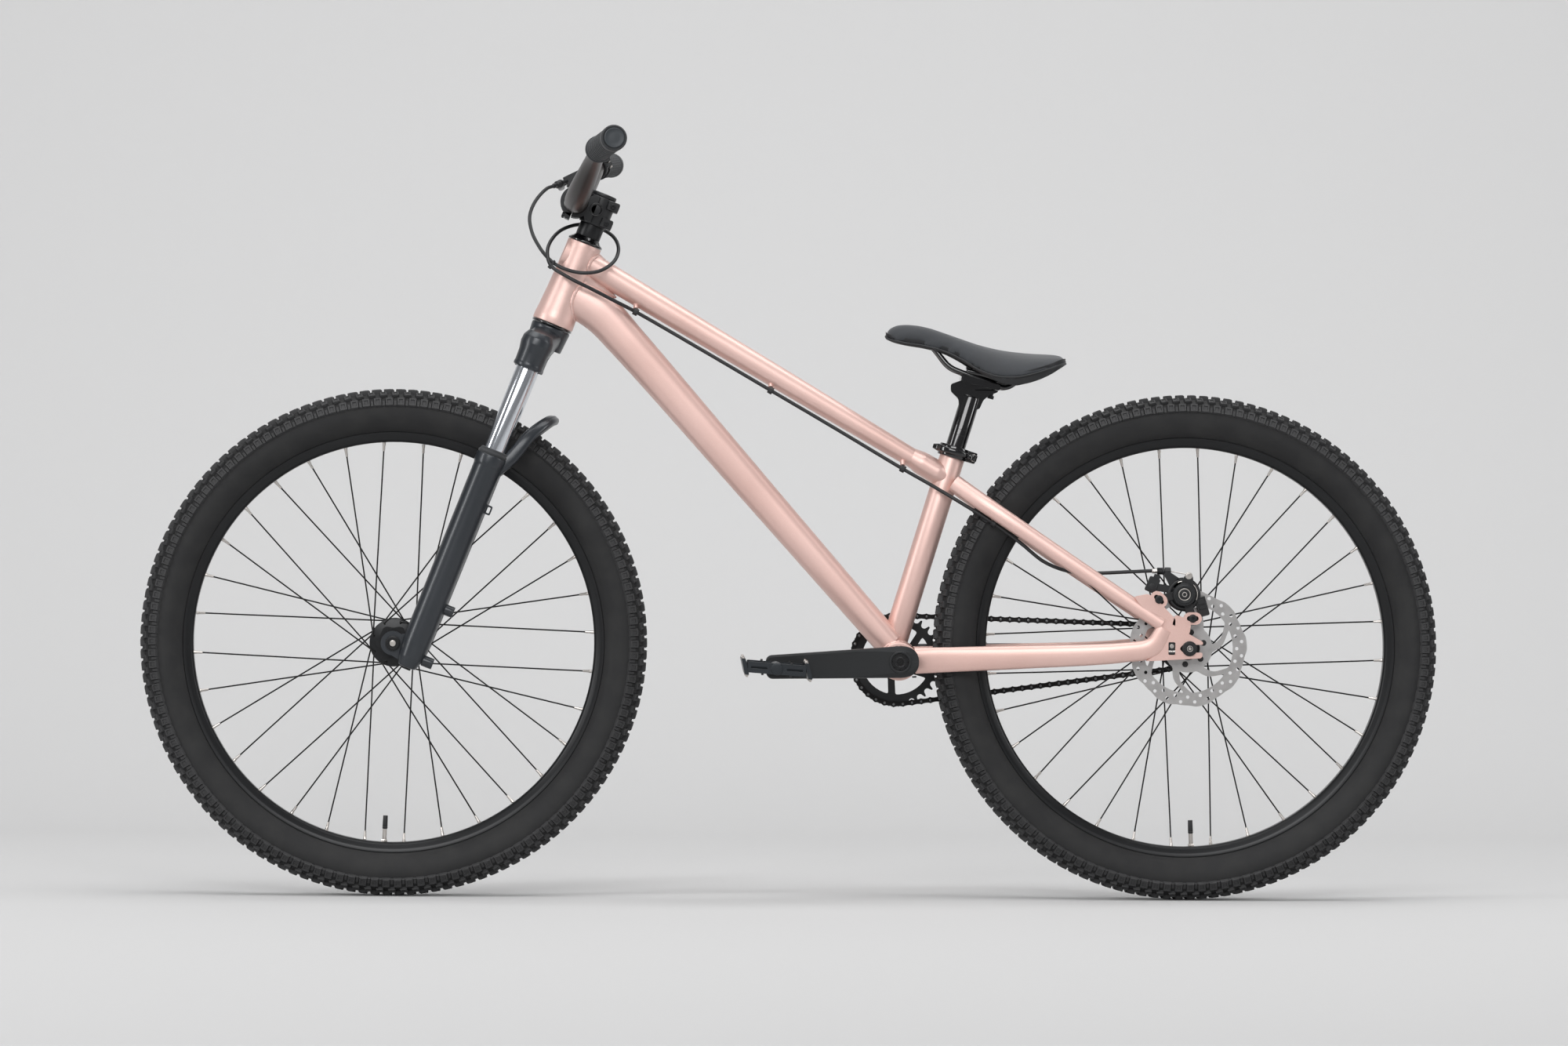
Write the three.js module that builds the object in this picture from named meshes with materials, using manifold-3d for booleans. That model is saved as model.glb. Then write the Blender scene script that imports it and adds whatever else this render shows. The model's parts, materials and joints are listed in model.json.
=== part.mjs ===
import * as THREE from 'three';
import { mergeVertices } from 'three/addons/utils/BufferGeometryUtils.js';
import Module from 'manifold-3d';

const wasm = await Module();
wasm.setup();

// Dirt jump bike, millimetres. X runs to the rear, Y to the drive side, Z up.
// The origin is on the ground, half way between the axles.

// Driving dimensions

const wheelbase = 1078;
const tyreRadius = 344.5;
const clearance = 0.3;
const runningGap = 0.5;
const overrun = 3;

// The bottom bracket is placed from the rear wheel: a gap ahead of its tyre, a drop below its axle
const bracketGap = 47.3;
const bracketDrop = 21;
const bottomBracket = {
  x: wheelbase / 2 - tyreRadius - bracketGap, z: tyreRadius - bracketDrop, shellRadius: 26,
  shellBore: 17.8, shellHalf: 36.5,
};
const head = { leanDeg: 21.57, height: 118, topRadius: 23.8, bottomRadius: 28.6, lipHeight: 9, bore: 20 };
const seat = {
  setback: 12.6, leanDeg: 16.96, tubeRadius: 17.3, bore: 13.9, topHeight: 303, bottomHeight: 27,
};

// Tube ends are given from the head tube's foot, the bottom bracket or the rear axle
const topTube = {
  headX: -5.3, headZ: 97.6, midShare: 0.5636, seatX: -4.1, seatDrop: 41.3,
  headHalf: 17.2, midHalf: 15.4, seatHalf: 12.6, headWidth: 18, midWidth: 16, seatWidth: 15,
};
const downTube = {
  headX: 3.4, headZ: 48.1, kneeX: 52.1, kneeZ: 39.4, bendShare: 0.1, bendLift: 2.2, lowShare: 0.5562,
  lowLift: 1.1, endX: -8.2, endZ: 19,
  headHalf: 29, kneeHalf: 28, bendHalf: 26, lowHalf: 22.4, endHalf: 19.5, headWidth: 22, kneeWidth: 24.5,
  bendWidth: 25, lowWidth: 22, endWidth: 27,
};
const seatStay = {
  topX: 12.9, topDrop: 45.6, topY: 22, archX: -266.2, archZ: 185.9, archY: 44, midX: -177, midZ: 125.5,
  midY: 55, endX: -37, endZ: 32.3, endY: 70.5,
  topHalf: 12, topWidth: 9, midHalf: 11, midWidth: 8.5, endHalf: 9.5, endWidth: 6.5,
};
const chainStay = {
  frontX: 15.8, frontZ: 1, frontY: 29, yokeX: 52.8, yokeZ: 2.5, yokeY: 38.4, midX: -239, midZ: -14,
  midY: 50, rearX: -89, rearZ: -5.9, rearY: 68,
  bendX: -50, bendZ: 1.5, tipX: -34, tipZ: 26.5, endY: 70.5,
  frontHalf: 18.5, yokeHalf: 17.2, midHalf: 16.4, rearHalf: 13.6, tipHalf: 11, frontWidth: 8,
  yokeWidth: 5.4, midWidth: 8, rearWidth: 7, tipWidth: 6.5,
};
const dropout = {
  innerY: 67.5, thickness: 7, slotHalf: 5.3, slotBack: 14, windowX: 24, windowHalfX: 4.6, windowHalfZ: 8.6,
  reach: 17.5, depth: 60, top: 33, bottom: 17.6, prong: 13, tipZ: 8,
};
const brakeTab = { upperX: -41.9, upperZ: 66.4, lowerX: 4.1, lowerZ: 40.8, radius: 9.5, hole: 3.2 };
const cableBoss = { reachY: 12, reachZ: 15, radius: 3.2, ring: 5.6, ringLength: 6 };

const hub = { flangeRadius: 32.5, flangeHoles: 29, flangeHalf: 1.8, barrel: 15, endRadius: 9.5, bore: 5.4 };
const frontHub = { width: 100, leftFlange: 31, rightFlange: 34, discFace: 40, discRadius: 24 };
const rearHub = {
  width: 135, leftFlange: 35, rightFlange: 33, discFace: 51, discRadius: 25, threadRadius: 16.7,
  threadStart: 40, threadEnd: 56,
};
const spokes = {
  perSide: 16, crosses: 3, radius: 1.4, nippleRadius: 2.6, nippleLength: 13, flare: 2.7, rimOffset: 4,
  frontTurnDeg: 3.2, rearTurnDeg: 7.9,
};
const rim = {
  innerDepth: 72.5, innerHalf: 9, outerDepth: 59, outerHalf: 15, lipWall: 2, wellDepth: 64.1,
  wellHalf: 11.6,
};
const tyre = {
  beadDepth: 63.5, beadHalf: 11, lipDepth: 58.2, lipHalf: 12.4, sideDepth: 42.5, sideHalf: 28.4,
  shoulderDepth: 13.5, shoulderHalf: 29.2, crownDrop: 4, crownHalf: 17, wall: 4.2, treadWall: 8,
};
const valve = { radius: 3, capRadius: 3.6, stem: 18, height: 35 };

const axle = {
  frontRadius: 4.9, frontHead: 10, frontHeadLength: 4.5, rearRadius: 4.9, rearHead: 8.6,
  rearHeadLength: 5.5, washer: 10.2, washerLength: 1.8,
};
const adjuster = { radius: 4.1, length: 10, depth: 5.4 };

const drive = {
  pitch: 12.7, ringTeeth: 30, cogTeeth: 14, links: 84, line: 48, rollerRadius: 3.6, toothHalf: 1.2,
  toothTip: 3.1, seatGap: 0.6,
};
const chain = { plateInner: 1.75, plateOuter: 3.6, plateHalf: 4 };
const chainRing = { half: 1.3, bandDepth: 10, hubRadius: 22, arms: 5, armHalf: 4, bossRadius: 19 };
const cog = { bodyRadius: 22.2, bodyHalf: 6.5, bore: 17.1 };

const crank = {
  length: 170, tiltDeg: 2.5, spindle: 12, bigRadius: 21.5, smallRadius: 16, innerBig: 51.4, outerBig: 70,
  innerSmall: 62, outerSmall: 76, cap: 11.6, capLength: 2.6, hexFlat: 4,
};
const bbCup = { radius: 21.6, reach: 45.6 };
const pedal = {
  axleRadius: 4.8, bearing: 8.4, halfLength: 46, halfWidth: 48, halfThick: 7.6, rail: 8, start: 80,
  bearingGap: 0.4, tiltDeg: 4, waist: 5,
};

const wheelRoom = 137.1;
const axleDrop = tyreRadius + wheelRoom;
const footDrop = 23.4;
const boreRise = 19.6;
const fork = {
  offset: 8.3, legY: 64.5, stanchion: 15, stanchionTop: -34, stanchionBottom: -376, socketBottom: -69,
  lowersTop: -196, lowersBottom: -axleDrop - footDrop,
  legRadius: 19.6, collarRadius: 21, collarLength: 14, boreFloor: boreRise - axleDrop, axleOffset: 37.7,
  dropBoss: 16.5, dropThickness: 11.5,
};
const crown = {
  top: -4, boss: 27.2, neck: 17, depth: 30, armHalf: 21, socketRadius: 20.4, socketTop: -19, waistHalf: 17,
  wall: 2.2, steerer: 14.3, steererTop: 185,
};
const archBar = {
  rootDrop: 21, rootX: 9, midX: 29, topX: 50, topZ: -121, rootHalf: 12, midHalf: 8.5, topHalf: 8,
  thickness: 6,
};
const mountTab = { upperRise: 68.6, lowerDrop: 6.4, length: 12, radius: 7.5, innerY: 3 };
const guideLoop = { z: -266.7, length: 8, height: 13, wall: 2 };
const headset = { ringRadius: 28.4, coverRadius: 24.4, coverHeight: 9, spacerRadius: 17, spacerTop: 145.4 };
const stem = {
  height: 166, reach: 32, clampHalf: 24, barRadius: 15.9, clampWall: 5.6, steererWall: 5.4, bodyHalf: 20,
  capRadius: 17.5, capHeight: 5.5, windowHalf: 8, boltRadius: 3.4, pinchReach: 27, boltY: 19, slit: 1.2,
};
const bar = {
  half: 376, gripStart: 248, bend: 62, riseStart: 150, gripX: -27, gripZ: 232, endX: -11.5, endZ: 248,
  radius: 11.1,
};
const grip = { radius: 15.6, rib: 16.6, flange: 18, bore: 12.1, ribs: 4, endWall: 2.2, flangeLength: 4 };
const lever = {
  perchStart: 224, perchEnd: 243, ringRadius: 15.4, aimDeg: 227.4, pivotY: 234, pivotReach: 26,
  bodyReach: 51, bodyHalf: 10.5, bodyTall: 8,
  slotHalf: 4.2, barrel: 4.6, pin: 2.6, eye: 5.4, bladeHalf: 3.4, bladeReach: 58, bladeLength: 88,
};

const post = { radius: 13.6, bottom: 160, top: 374, neck: 12 };

// The rails, their clamp and the saddle are given from the top of the post
const rails = {
  radius: 3.5, y: 22, noseX: -58.7, noseZ: 77.8, noseY: 9, frontX: -29.7, frontZ: 43.8, clampX: -11.7,
  clampZ: 35.3,
  backX: 48.3, backZ: 16.3, tailX: 82.3, tailZ: 42.8, tailY: 30,
};
const clampHead = {
  x: 13.3, z: 24.8, half: 28, height: 17, width: 28, leanDeg: 15, screw: 3.2, screwX: 20, screwLength: 15,
};
const saddle = {
  noseX: -113.7, length: 243, topZ: 100.8, fall: 40, halfWidth: 69, drop: 47, thickness: 22, edgeShare: 0.4,
};
const collarGrip = 13;
const collarRise = 3;
const collar = {
  bottom: seat.topHeight - collarGrip, top: seat.topHeight + collarRise, radius: 21.2, earX: 31, earHalfY: 12, earHalfX: 7, slit: 2.4, bolt: 3.1,
  boltReach: 15,
};
const quickLever = {
  pivotX: 27, pivotY: -17.6, pinHalf: 4.8, bladeHalf: 2.2, height: 8.5, wrap: 25.6, tipX: -33, tipY: -13,
};

const caliper = {
  x: -7.5, z: 73.3, bodyRadius: 23, innerRadius: 17, outerFace: 66.5, innerFace: 37, slotHalf: 2.2,
  knobRadius: 15.4, knobFace: 77.6, neck: 8.6, bridgeHalf: 17, bridgeTop: 22, armHalf: 5.2, armInner: 61,
  stopX: -37, stopZ: 104.6, stopRadius: 5.2, stopHalf: 12,
};
const pull = { ring: 13.4, inner: 68, outer: 72, clampX: 6, clampZ: 25.5, clampRadius: 5.4, width: 5.4 };
const rotor = {
  radius: 80, wave: 2.4, lobes: 9, y: 52, half: 0.9, bandInner: 64, hubRadius: 30, hubBore: 22.6, arms: 6,
  armHalf: 3.2, sweepDeg: 32, slotHalf: 1.7, slotLong: 3.4, slots: 15,
};

const cableRadius = 2.5;

// Colours

function paint(colour, roughness, metalness) {
  return new THREE.MeshStandardMaterial({ color: colour, roughness, metalness });
}
const pearlPink = paint(0xe3b4a8, 0.38, 0.35);
const satinBlueGrey = paint(0x23282f, 0.42, 0.25);
const chromePlate = paint(0xe4e4e6, 0.08, 1);
const blackSatin = paint(0x131315, 0.45, 0.3);
const blackGloss = paint(0x08080a, 0.15, 0.4);
const blackBrown = paint(0x1a1211, 0.3, 0.5);
const blackRubber = paint(0x1b1b1c, 0.85, 0);
const tyreRubber = paint(0x262627, 0.9, 0);
const blackPlastic = paint(0x17181a, 0.6, 0);
const brushedSteel = paint(0xb9babb, 0.35, 0.9);
const saddleCover = paint(0x22262c, 0.8, 0);

// Solids: geometry in, manifold out

function solid(geometry) {
  geometry.deleteAttribute('normal');
  geometry.deleteAttribute('uv');
  const merged = mergeVertices(geometry, 1e-4);
  const vertProperties = new Float32Array(merged.attributes.position.array);
  const triVerts = new Uint32Array(merged.index.array);
  return new wasm.Manifold(new wasm.Mesh({ numProp: 3, vertProperties, triVerts }));
}

function meshOf(name, body, material) {
  const made = body.getMesh();
  const geometry = new THREE.BufferGeometry();
  geometry.setAttribute('position', new THREE.BufferAttribute(new Float32Array(made.vertProperties), 3));
  geometry.setIndex(new THREE.BufferAttribute(new Uint32Array(made.triVerts), 1));
  geometry.computeVertexNormals();
  const mesh = new THREE.Mesh(geometry, material);
  mesh.name = name;
  return mesh;
}

function joined(bodies) {
  return bodies.reduce((whole, next) => whole.add(next));
}

function cutBy(body, cutters) {
  return cutters.reduce((whole, next) => whole.subtract(next), body);
}

function moved(body, x, y, z) {
  return body.translate([x, y, z]);
}

// Plain shapes, placed by their centre

function block(lengthX, lengthY, lengthZ, x = 0, y = 0, z = 0) {
  return moved(solid(new THREE.BoxGeometry(lengthX, lengthY, lengthZ)), x, y, z);
}

function rodY(radius, from, to, sides = 16, x = 0, z = 0) {
  const geometry = new THREE.CylinderGeometry(radius, radius, to - from, sides);
  return moved(solid(geometry), x, (from + to) / 2, z);
}

function rodZ(radius, from, to, sides = 16, x = 0, y = 0) {
  const geometry = new THREE.CylinderGeometry(radius, radius, to - from, sides).rotateX(Math.PI / 2);
  return moved(solid(geometry), x, y, (from + to) / 2);
}

function rodX(radius, from, to, sides = 16, y = 0, z = 0) {
  const geometry = new THREE.CylinderGeometry(radius, radius, to - from, sides).rotateZ(Math.PI / 2);
  return moved(solid(geometry), (from + to) / 2, y, z);
}

function rodBetween(a, b, radius, sides = 12) {
  const axis = new THREE.Vector3().subVectors(b, a);
  const geometry = new THREE.CylinderGeometry(radius, radius, axis.length(), sides);
  geometry.applyQuaternion(
    new THREE.Quaternion().setFromUnitVectors(new THREE.Vector3(0, 1, 0), axis.normalize()),
  );
  geometry.translate((a.x + b.x) / 2, (a.y + b.y) / 2, (a.z + b.z) / 2);
  return solid(geometry);
}

// Profiles turned round an axis: points are [radius, station]

function latheOf(profile, sides) {
  const points = profile.map(([radius, station]) => new THREE.Vector2(radius, station));
  const outward = THREE.ShapeUtils.isClockWise(points) ? points.reverse() : points;
  return new THREE.LatheGeometry([...outward, outward[0]], sides);
}

function turnedY(profile, sides) {
  return solid(latheOf(profile, sides));
}

function turnedZ(profile, sides) {
  return turnedY(profile, sides).rotate([90, 0, 0]);
}

function turnedAlong(profile, sides, from, to) {
  const axis = new THREE.Vector3().subVectors(to, from).normalize();
  const turn = new THREE.Quaternion().setFromUnitVectors(new THREE.Vector3(0, 1, 0), axis);
  return solid(latheOf(profile, sides).applyQuaternion(turn).translate(from.x, from.y, from.z));
}

// Outlines in the XZ plane drawn out along Y, with holes

function plateY(outline, holes, from, to) {
  const flat = outline.map(([x, z]) => new THREE.Vector2(x, -z));
  const shape = new THREE.Shape(THREE.ShapeUtils.isClockWise(flat) ? flat.reverse() : flat);
  for (const hole of holes) {
    shape.holes.push(new THREE.Path(hole.map(([x, z]) => new THREE.Vector2(x, -z))));
  }
  const geometry = new THREE.ExtrudeGeometry(shape, { depth: to - from, bevelEnabled: false });
  return moved(solid(geometry).rotate([-90, 0, 0]), 0, from, 0);
}

// Rings strung along a route and closed at both ends.
// Each station holds a centre, a lateral and an upward half size, and a fullness.

function ringPoint(angle, fullness) {
  const c = Math.cos(angle);
  const s = Math.sin(angle);
  const power = 2 / fullness;
  return [Math.sign(c) * Math.abs(c) ** power, Math.sign(s) * Math.abs(s) ** power];
}

function loft(stations, sides, side = new THREE.Vector3(0, 1, 0)) {
  const position = [];
  const index = [];
  stations.forEach((station, i) => {
    const before = stations[Math.max(i - 1, 0)].centre;
    const after = stations[Math.min(i + 1, stations.length - 1)].centre;
    const along = station.along ?? new THREE.Vector3().subVectors(after, before).normalize();
    const lateral = new THREE.Vector3().copy(side).addScaledVector(along, -side.dot(along)).normalize();
    const up = new THREE.Vector3().crossVectors(along, lateral);
    for (let k = 0; k < sides; k += 1) {
      const [c, s] = ringPoint((2 * Math.PI * (k + 0.5)) / sides, station.full ?? 2);
      const point = new THREE.Vector3().copy(station.centre);
      point.addScaledVector(lateral, c * station.wide).addScaledVector(up, s * station.tall);
      position.push(point.x, point.y, point.z);
    }
  });
  for (let i = 0; i + 1 < stations.length; i += 1) {
    for (let k = 0; k < sides; k += 1) {
      const a = i * sides + k;
      const b = i * sides + ((k + 1) % sides);
      index.push(a, b, b + sides, a, b + sides, a + sides);
    }
  }
  const last = (stations.length - 1) * sides;
  for (let k = 1; k + 1 < sides; k += 1) {
    index.push(0, k + 1, k, last, last + k, last + k + 1);
  }
  const geometry = new THREE.BufferGeometry();
  geometry.setAttribute('position', new THREE.Float32BufferAttribute(position, 3));
  geometry.setIndex(index);
  return solid(geometry);
}

function curveStations(points, sizes, count) {
  const curve = new THREE.CatmullRomCurve3(points, false, 'centripetal');
  return Array.from({ length: count + 1 }, (unused, i) => {
    const share = i / count;
    const place = share * (sizes.length - 1);
    const low = Math.min(Math.floor(place), sizes.length - 2);
    const mix = (key) => THREE.MathUtils.lerp(sizes[low][key], sizes[low + 1][key], place - low);
    return {
      centre: curve.getPoint(share), along: curve.getTangent(share), wide: mix('wide'), tall: mix('tall'),
      full: mix('full'),
    };
  });
}

function at(x, y, z) {
  return new THREE.Vector3(x, y, z);
}

function arcPoints(x, z, radius, fromDeg, toDeg, steps) {
  return Array.from({ length: steps + 1 }, (unused, i) => {
    const angle = THREE.MathUtils.degToRad(fromDeg + ((toDeg - fromDeg) * i) / steps);
    return [x + radius * Math.cos(angle), z + radius * Math.sin(angle)];
  });
}

// Groups: each has its own frame, and cutters move between frames with it

const bike = new THREE.Group();

function frameAt(x, z, leanDeg) {
  const group = new THREE.Group();
  group.position.set(x, 0, z);
  group.rotation.y = THREE.MathUtils.degToRad(leanDeg);
  bike.add(group);
  return group;
}

function turnedPoint(point, leanDeg) {
  return point.applyAxisAngle(at(0, 1, 0), THREE.MathUtils.degToRad(leanDeg));
}

const frontGroup = frameAt(-wheelbase / 2, tyreRadius, 0);
const rearGroup = frameAt(wheelbase / 2, tyreRadius, 0);
const crankGroup = frameAt(bottomBracket.x, bottomBracket.z, 0);
const headPlace = turnedPoint(at(fork.axleOffset, 0, axleDrop), head.leanDeg).add(frontGroup.position);
const headGroup = frameAt(headPlace.x, headPlace.z, head.leanDeg);
const seatGroup = frameAt(bottomBracket.x - seat.setback, bottomBracket.z, seat.leanDeg);
const postPlace = turnedPoint(at(0, 0, post.top), seat.leanDeg).add(seatGroup.position);
const saddleGroup = frameAt(postPlace.x, postPlace.z, 0);

function outOf(group, body) {
  const leanDeg = THREE.MathUtils.radToDeg(group.rotation.y);
  return body.rotate([0, leanDeg, 0]).translate([group.position.x, 0, group.position.z]);
}

function into(group, body) {
  const leanDeg = THREE.MathUtils.radToDeg(group.rotation.y);
  return body.translate([-group.position.x, 0, -group.position.z]).rotate([0, -leanDeg, 0]);
}

function pointInto(group, point) {
  return point.clone().sub(group.position).applyAxisAngle(at(0, 1, 0), -group.rotation.y);
}

function pointOf(group, x, y, z) {
  return at(x, y, z).applyAxisAngle(at(0, 1, 0), group.rotation.y).add(group.position);
}

// A point beside a line in the side view: a share of the way along it, lifted square to it, y to the side

function besideLine(start, end, share, y, lift) {
  const along = end.clone().sub(start);
  const square = at(-along.z, 0, along.x).normalize();
  return start.clone().addScaledVector(along, share).addScaledVector(square, lift).setY(y);
}

function mirroredY(body) {
  return body.mirror([0, 1, 0]);
}

function addTo(group, name, body, material) {
  group.add(meshOf(name, body, material));
}

// Brake cable route from the lever to the calliper. The loops at the front are shares of the head tube's
// height, then it runs beside the top tube and the left seat stay, and ends in shares of the calliper's.

const loopShares = [
  [-0.6216, 1.6610, 1.5462], [-0.6772, 1.5424, 1.4881], [-0.7391, 1.2712, 1.3012],
  [-0.7303, 0.9153, 1.0907], [-0.6248, 0.5424, 0.9106], [-0.4802, 0.1864, 0.7783],
  [-0.3591, -0.0678, 0.7004], [-0.2307, -0.2034, 0.6498], [-0.0413, -0.3136, 0.6398],
  [0.1280, -0.3390, 0.6781], [0.2847, -0.3051, 0.7717], [0.3871, -0.1864, 0.9292],
  [0.3816, 0, 1.0900], [0.2786, 0.1780, 1.2020], [0.1316, 0.2797, 1.2397],
  [-0.0266, 0.3051, 1.2309], [-0.1643, 0.2712, 1.1836], [-0.3089, 0.1695, 1.0573],
  [-0.3734, 0.0339, 0.9035], [-0.3665, -0.0847, 0.7553], [-0.2658, -0.2034, 0.6162],
  [-0.0091, -0.3220, 0.5601], [0.2721, -0.3051, 0.5381], [0.5548, -0.2373, 0.5132],
];
const topRunShares = [
  [0.1870, -1.0625, -1.5075], [0.3683, -1, -1.3865], [0.5505, -1, -1.3267],
  [0.7306, -1.0625, -1.2745], [0.9083, -1.3750, -1.2790], [0.9927, -1.6875, -1.2166],
];
const stayRunShares = [
  [-0.1208, -0.75, -1.4416], [0.0421, -0.8409, -1.2912], [0.2041, -0.9091, -1.4469],
  [0.3559, -0.9318, -1.7205], [0.4788, -0.9091, -0.9795],
];
const endShares = [[-5.4288, -1.7826, 4.3977], [-3.5656, -2.1739, 4.4863], [-2.2175, -2.6087, 4.5622]];
const guidedPoints = { topTube: [24, 26, 28], seatStay: 31 };

function besideTopTube([share, side, lift]) {
  const [start, , end] = topTubePoints();
  return besideLine(start, end, share, side * topTube.midWidth, lift * topTube.midHalf);
}

function besideSeatStay([share, side, lift]) {
  const start = pointOf(rearGroup, seatStay.archX, 0, seatStay.archZ);
  const end = pointOf(rearGroup, seatStay.endX, 0, seatStay.endZ);
  return besideLine(start, end, share, side * seatStay.archY, lift * seatStay.midHalf);
}

const cablePoints = [
  ...loopShares.map((shares) => pointOf(headGroup, ...shares.map((share) => share * head.height))),
  ...topRunShares.map(besideTopTube),
  ...stayRunShares.map(besideSeatStay),
  ...endShares.map((shares) => pointOf(rearGroup, ...shares.map((share) => share * caliper.bodyRadius))),
];
const cableRoute = new THREE.CatmullRomCurve3(cablePoints, false, 'centripetal');

function cableAlong(radius) {
  const sides = 6;
  const ring = Array.from({ length: sides }, (unused, k) => {
    const angle = (2 * Math.PI * k) / sides;
    return new THREE.Vector2(radius * Math.cos(angle), radius * Math.sin(angle));
  });
  const settings = { steps: 64, bevelEnabled: false, extrudePath: cableRoute };
  return solid(new THREE.ExtrudeGeometry(new THREE.Shape(ring), settings));
}

const cable = cableAlong(cableRadius);
const cableSpace = cableAlong(cableRadius + clearance);

// Frame tubes. Each takes a growth, so that its neighbour can be cut to it.

function headTubeBody(grow) {
  const wall = grow ? 0 : head.bore;
  return turnedZ([
    [wall, -grow], [head.bottomRadius + grow, -grow], [head.bottomRadius + grow, head.lipHeight],
    [head.topRadius + grow, head.height - head.lipHeight], [head.topRadius + grow, head.height + grow],
    [wall, head.height + grow],
  ], 16);
}

function topTubePoints() {
  const start = pointOf(headGroup, topTube.headX, 0, topTube.headZ);
  const end = pointOf(seatGroup, topTube.seatX, 0, seat.topHeight - topTube.seatDrop);
  return [start, besideLine(start, end, topTube.midShare, 0, 0), end];
}

function topTubeBody(grow) {
  const sizes = [
    { wide: topTube.headWidth + grow, tall: topTube.headHalf + grow, full: 2.2 },
    { wide: topTube.midWidth + grow, tall: topTube.midHalf + grow, full: 2.3 },
    { wide: topTube.seatWidth + grow, tall: topTube.seatHalf + grow, full: 2.3 },
  ];
  return loft(curveStations(topTubePoints(), sizes, 3), 14);
}

function downTubeBody(grow) {
  const d = downTube;
  const knee = pointOf(headGroup, d.kneeX, 0, d.kneeZ);
  const end = pointOf(crankGroup, d.endX, 0, d.endZ);
  const bend = besideLine(knee, end, d.bendShare, 0, d.bendLift);
  const low = besideLine(knee, end, d.lowShare, 0, d.lowLift);
  const points = [pointOf(headGroup, d.headX, 0, d.headZ), knee, bend, low, end];
  const sizes = [
    { wide: downTube.headWidth + grow, tall: downTube.headHalf + grow, full: 2.4 },
    { wide: downTube.kneeWidth + grow, tall: downTube.kneeHalf + grow, full: 2.6 },
    { wide: downTube.bendWidth + grow, tall: downTube.bendHalf + grow, full: 2.8 },
    { wide: downTube.lowWidth + grow, tall: downTube.lowHalf + grow, full: 2.8 },
    { wide: downTube.endWidth + grow, tall: downTube.endHalf + grow, full: 2.6 },
  ];
  return loft(curveStations(points, sizes, 11), 14);
}

function seatTubeBody(grow) {
  return rodZ(
    seat.tubeRadius + grow, seat.bottomHeight - (grow ? seat.bottomHeight : 0), seat.topHeight + grow, 20,
  );
}

function shellBody(grow) {
  return rodY(
    bottomBracket.shellRadius + grow, -bottomBracket.shellHalf - grow, bottomBracket.shellHalf + grow, 16,
  );
}

function seatStayBody(grow) {
  const s = seatStay;
  const points = [
    pointOf(seatGroup, s.topX, -s.topY, seat.topHeight - s.topDrop),
    pointOf(rearGroup, s.archX, -s.archY, s.archZ),
    pointOf(rearGroup, s.midX, -s.midY, s.midZ), pointOf(rearGroup, s.endX, -s.endY, s.endZ),
  ];
  const sizes = [
    { wide: seatStay.topWidth + grow, tall: seatStay.topHalf + grow, full: 2.3 },
    { wide: seatStay.midWidth + grow, tall: seatStay.midHalf + grow, full: 2.3 },
    { wide: seatStay.endWidth + grow, tall: seatStay.endHalf + grow, full: 2.3 },
  ];
  return loft(curveStations(points, sizes, 7), 10);
}

function chainStayBody(grow) {
  const c = chainStay;
  const points = [
    pointOf(crankGroup, c.frontX, -c.frontY, c.frontZ), pointOf(crankGroup, c.yokeX, -c.yokeY, c.yokeZ),
    pointOf(rearGroup, c.midX, -c.midY, c.midZ), pointOf(rearGroup, c.rearX, -c.rearY, c.rearZ),
    pointOf(rearGroup, c.bendX, -c.endY, c.bendZ), pointOf(rearGroup, c.tipX, -c.endY, c.tipZ),
  ];
  const sizes = [
    { wide: chainStay.frontWidth + grow, tall: chainStay.frontHalf + grow, full: 2.6 },
    { wide: chainStay.yokeWidth + grow, tall: chainStay.yokeHalf + grow, full: 2.8 },
    { wide: chainStay.midWidth + grow, tall: chainStay.midHalf + grow, full: 2.4 },
    { wide: chainStay.rearWidth + grow, tall: chainStay.rearHalf + grow, full: 2.4 },
    { wide: chainStay.tipWidth + grow, tall: chainStay.rearHalf + grow, full: 2.4 },
    { wide: chainStay.tipWidth + grow, tall: chainStay.tipHalf + grow, full: 2.4 },
  ];
  return loft(curveStations(points, sizes, 12), 10);
}

// A welded cable boss under a tube, with the ring that holds the housing

function cableGuide(index, lift) {
  const spot = cablePoints[index];
  const tangent = cableRoute.getTangent(index / (cablePoints.length - 1));
  const half = tangent.clone().multiplyScalar(cableBoss.ringLength / 2);
  const ring = rodBetween(spot.clone().sub(half), spot.clone().add(half), cableBoss.ring, 6);
  const past = tangent.clone().multiplyScalar(cableBoss.ringLength / 2 + overrun);
  const bore = rodBetween(spot.clone().sub(past), spot.clone().add(past), cableRadius + 3 * runningGap, 6);
  const stalk = rodBetween(spot, spot.clone().add(lift), cableBoss.radius, 4);
  return ring.add(stalk).subtract(bore);
}

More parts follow.
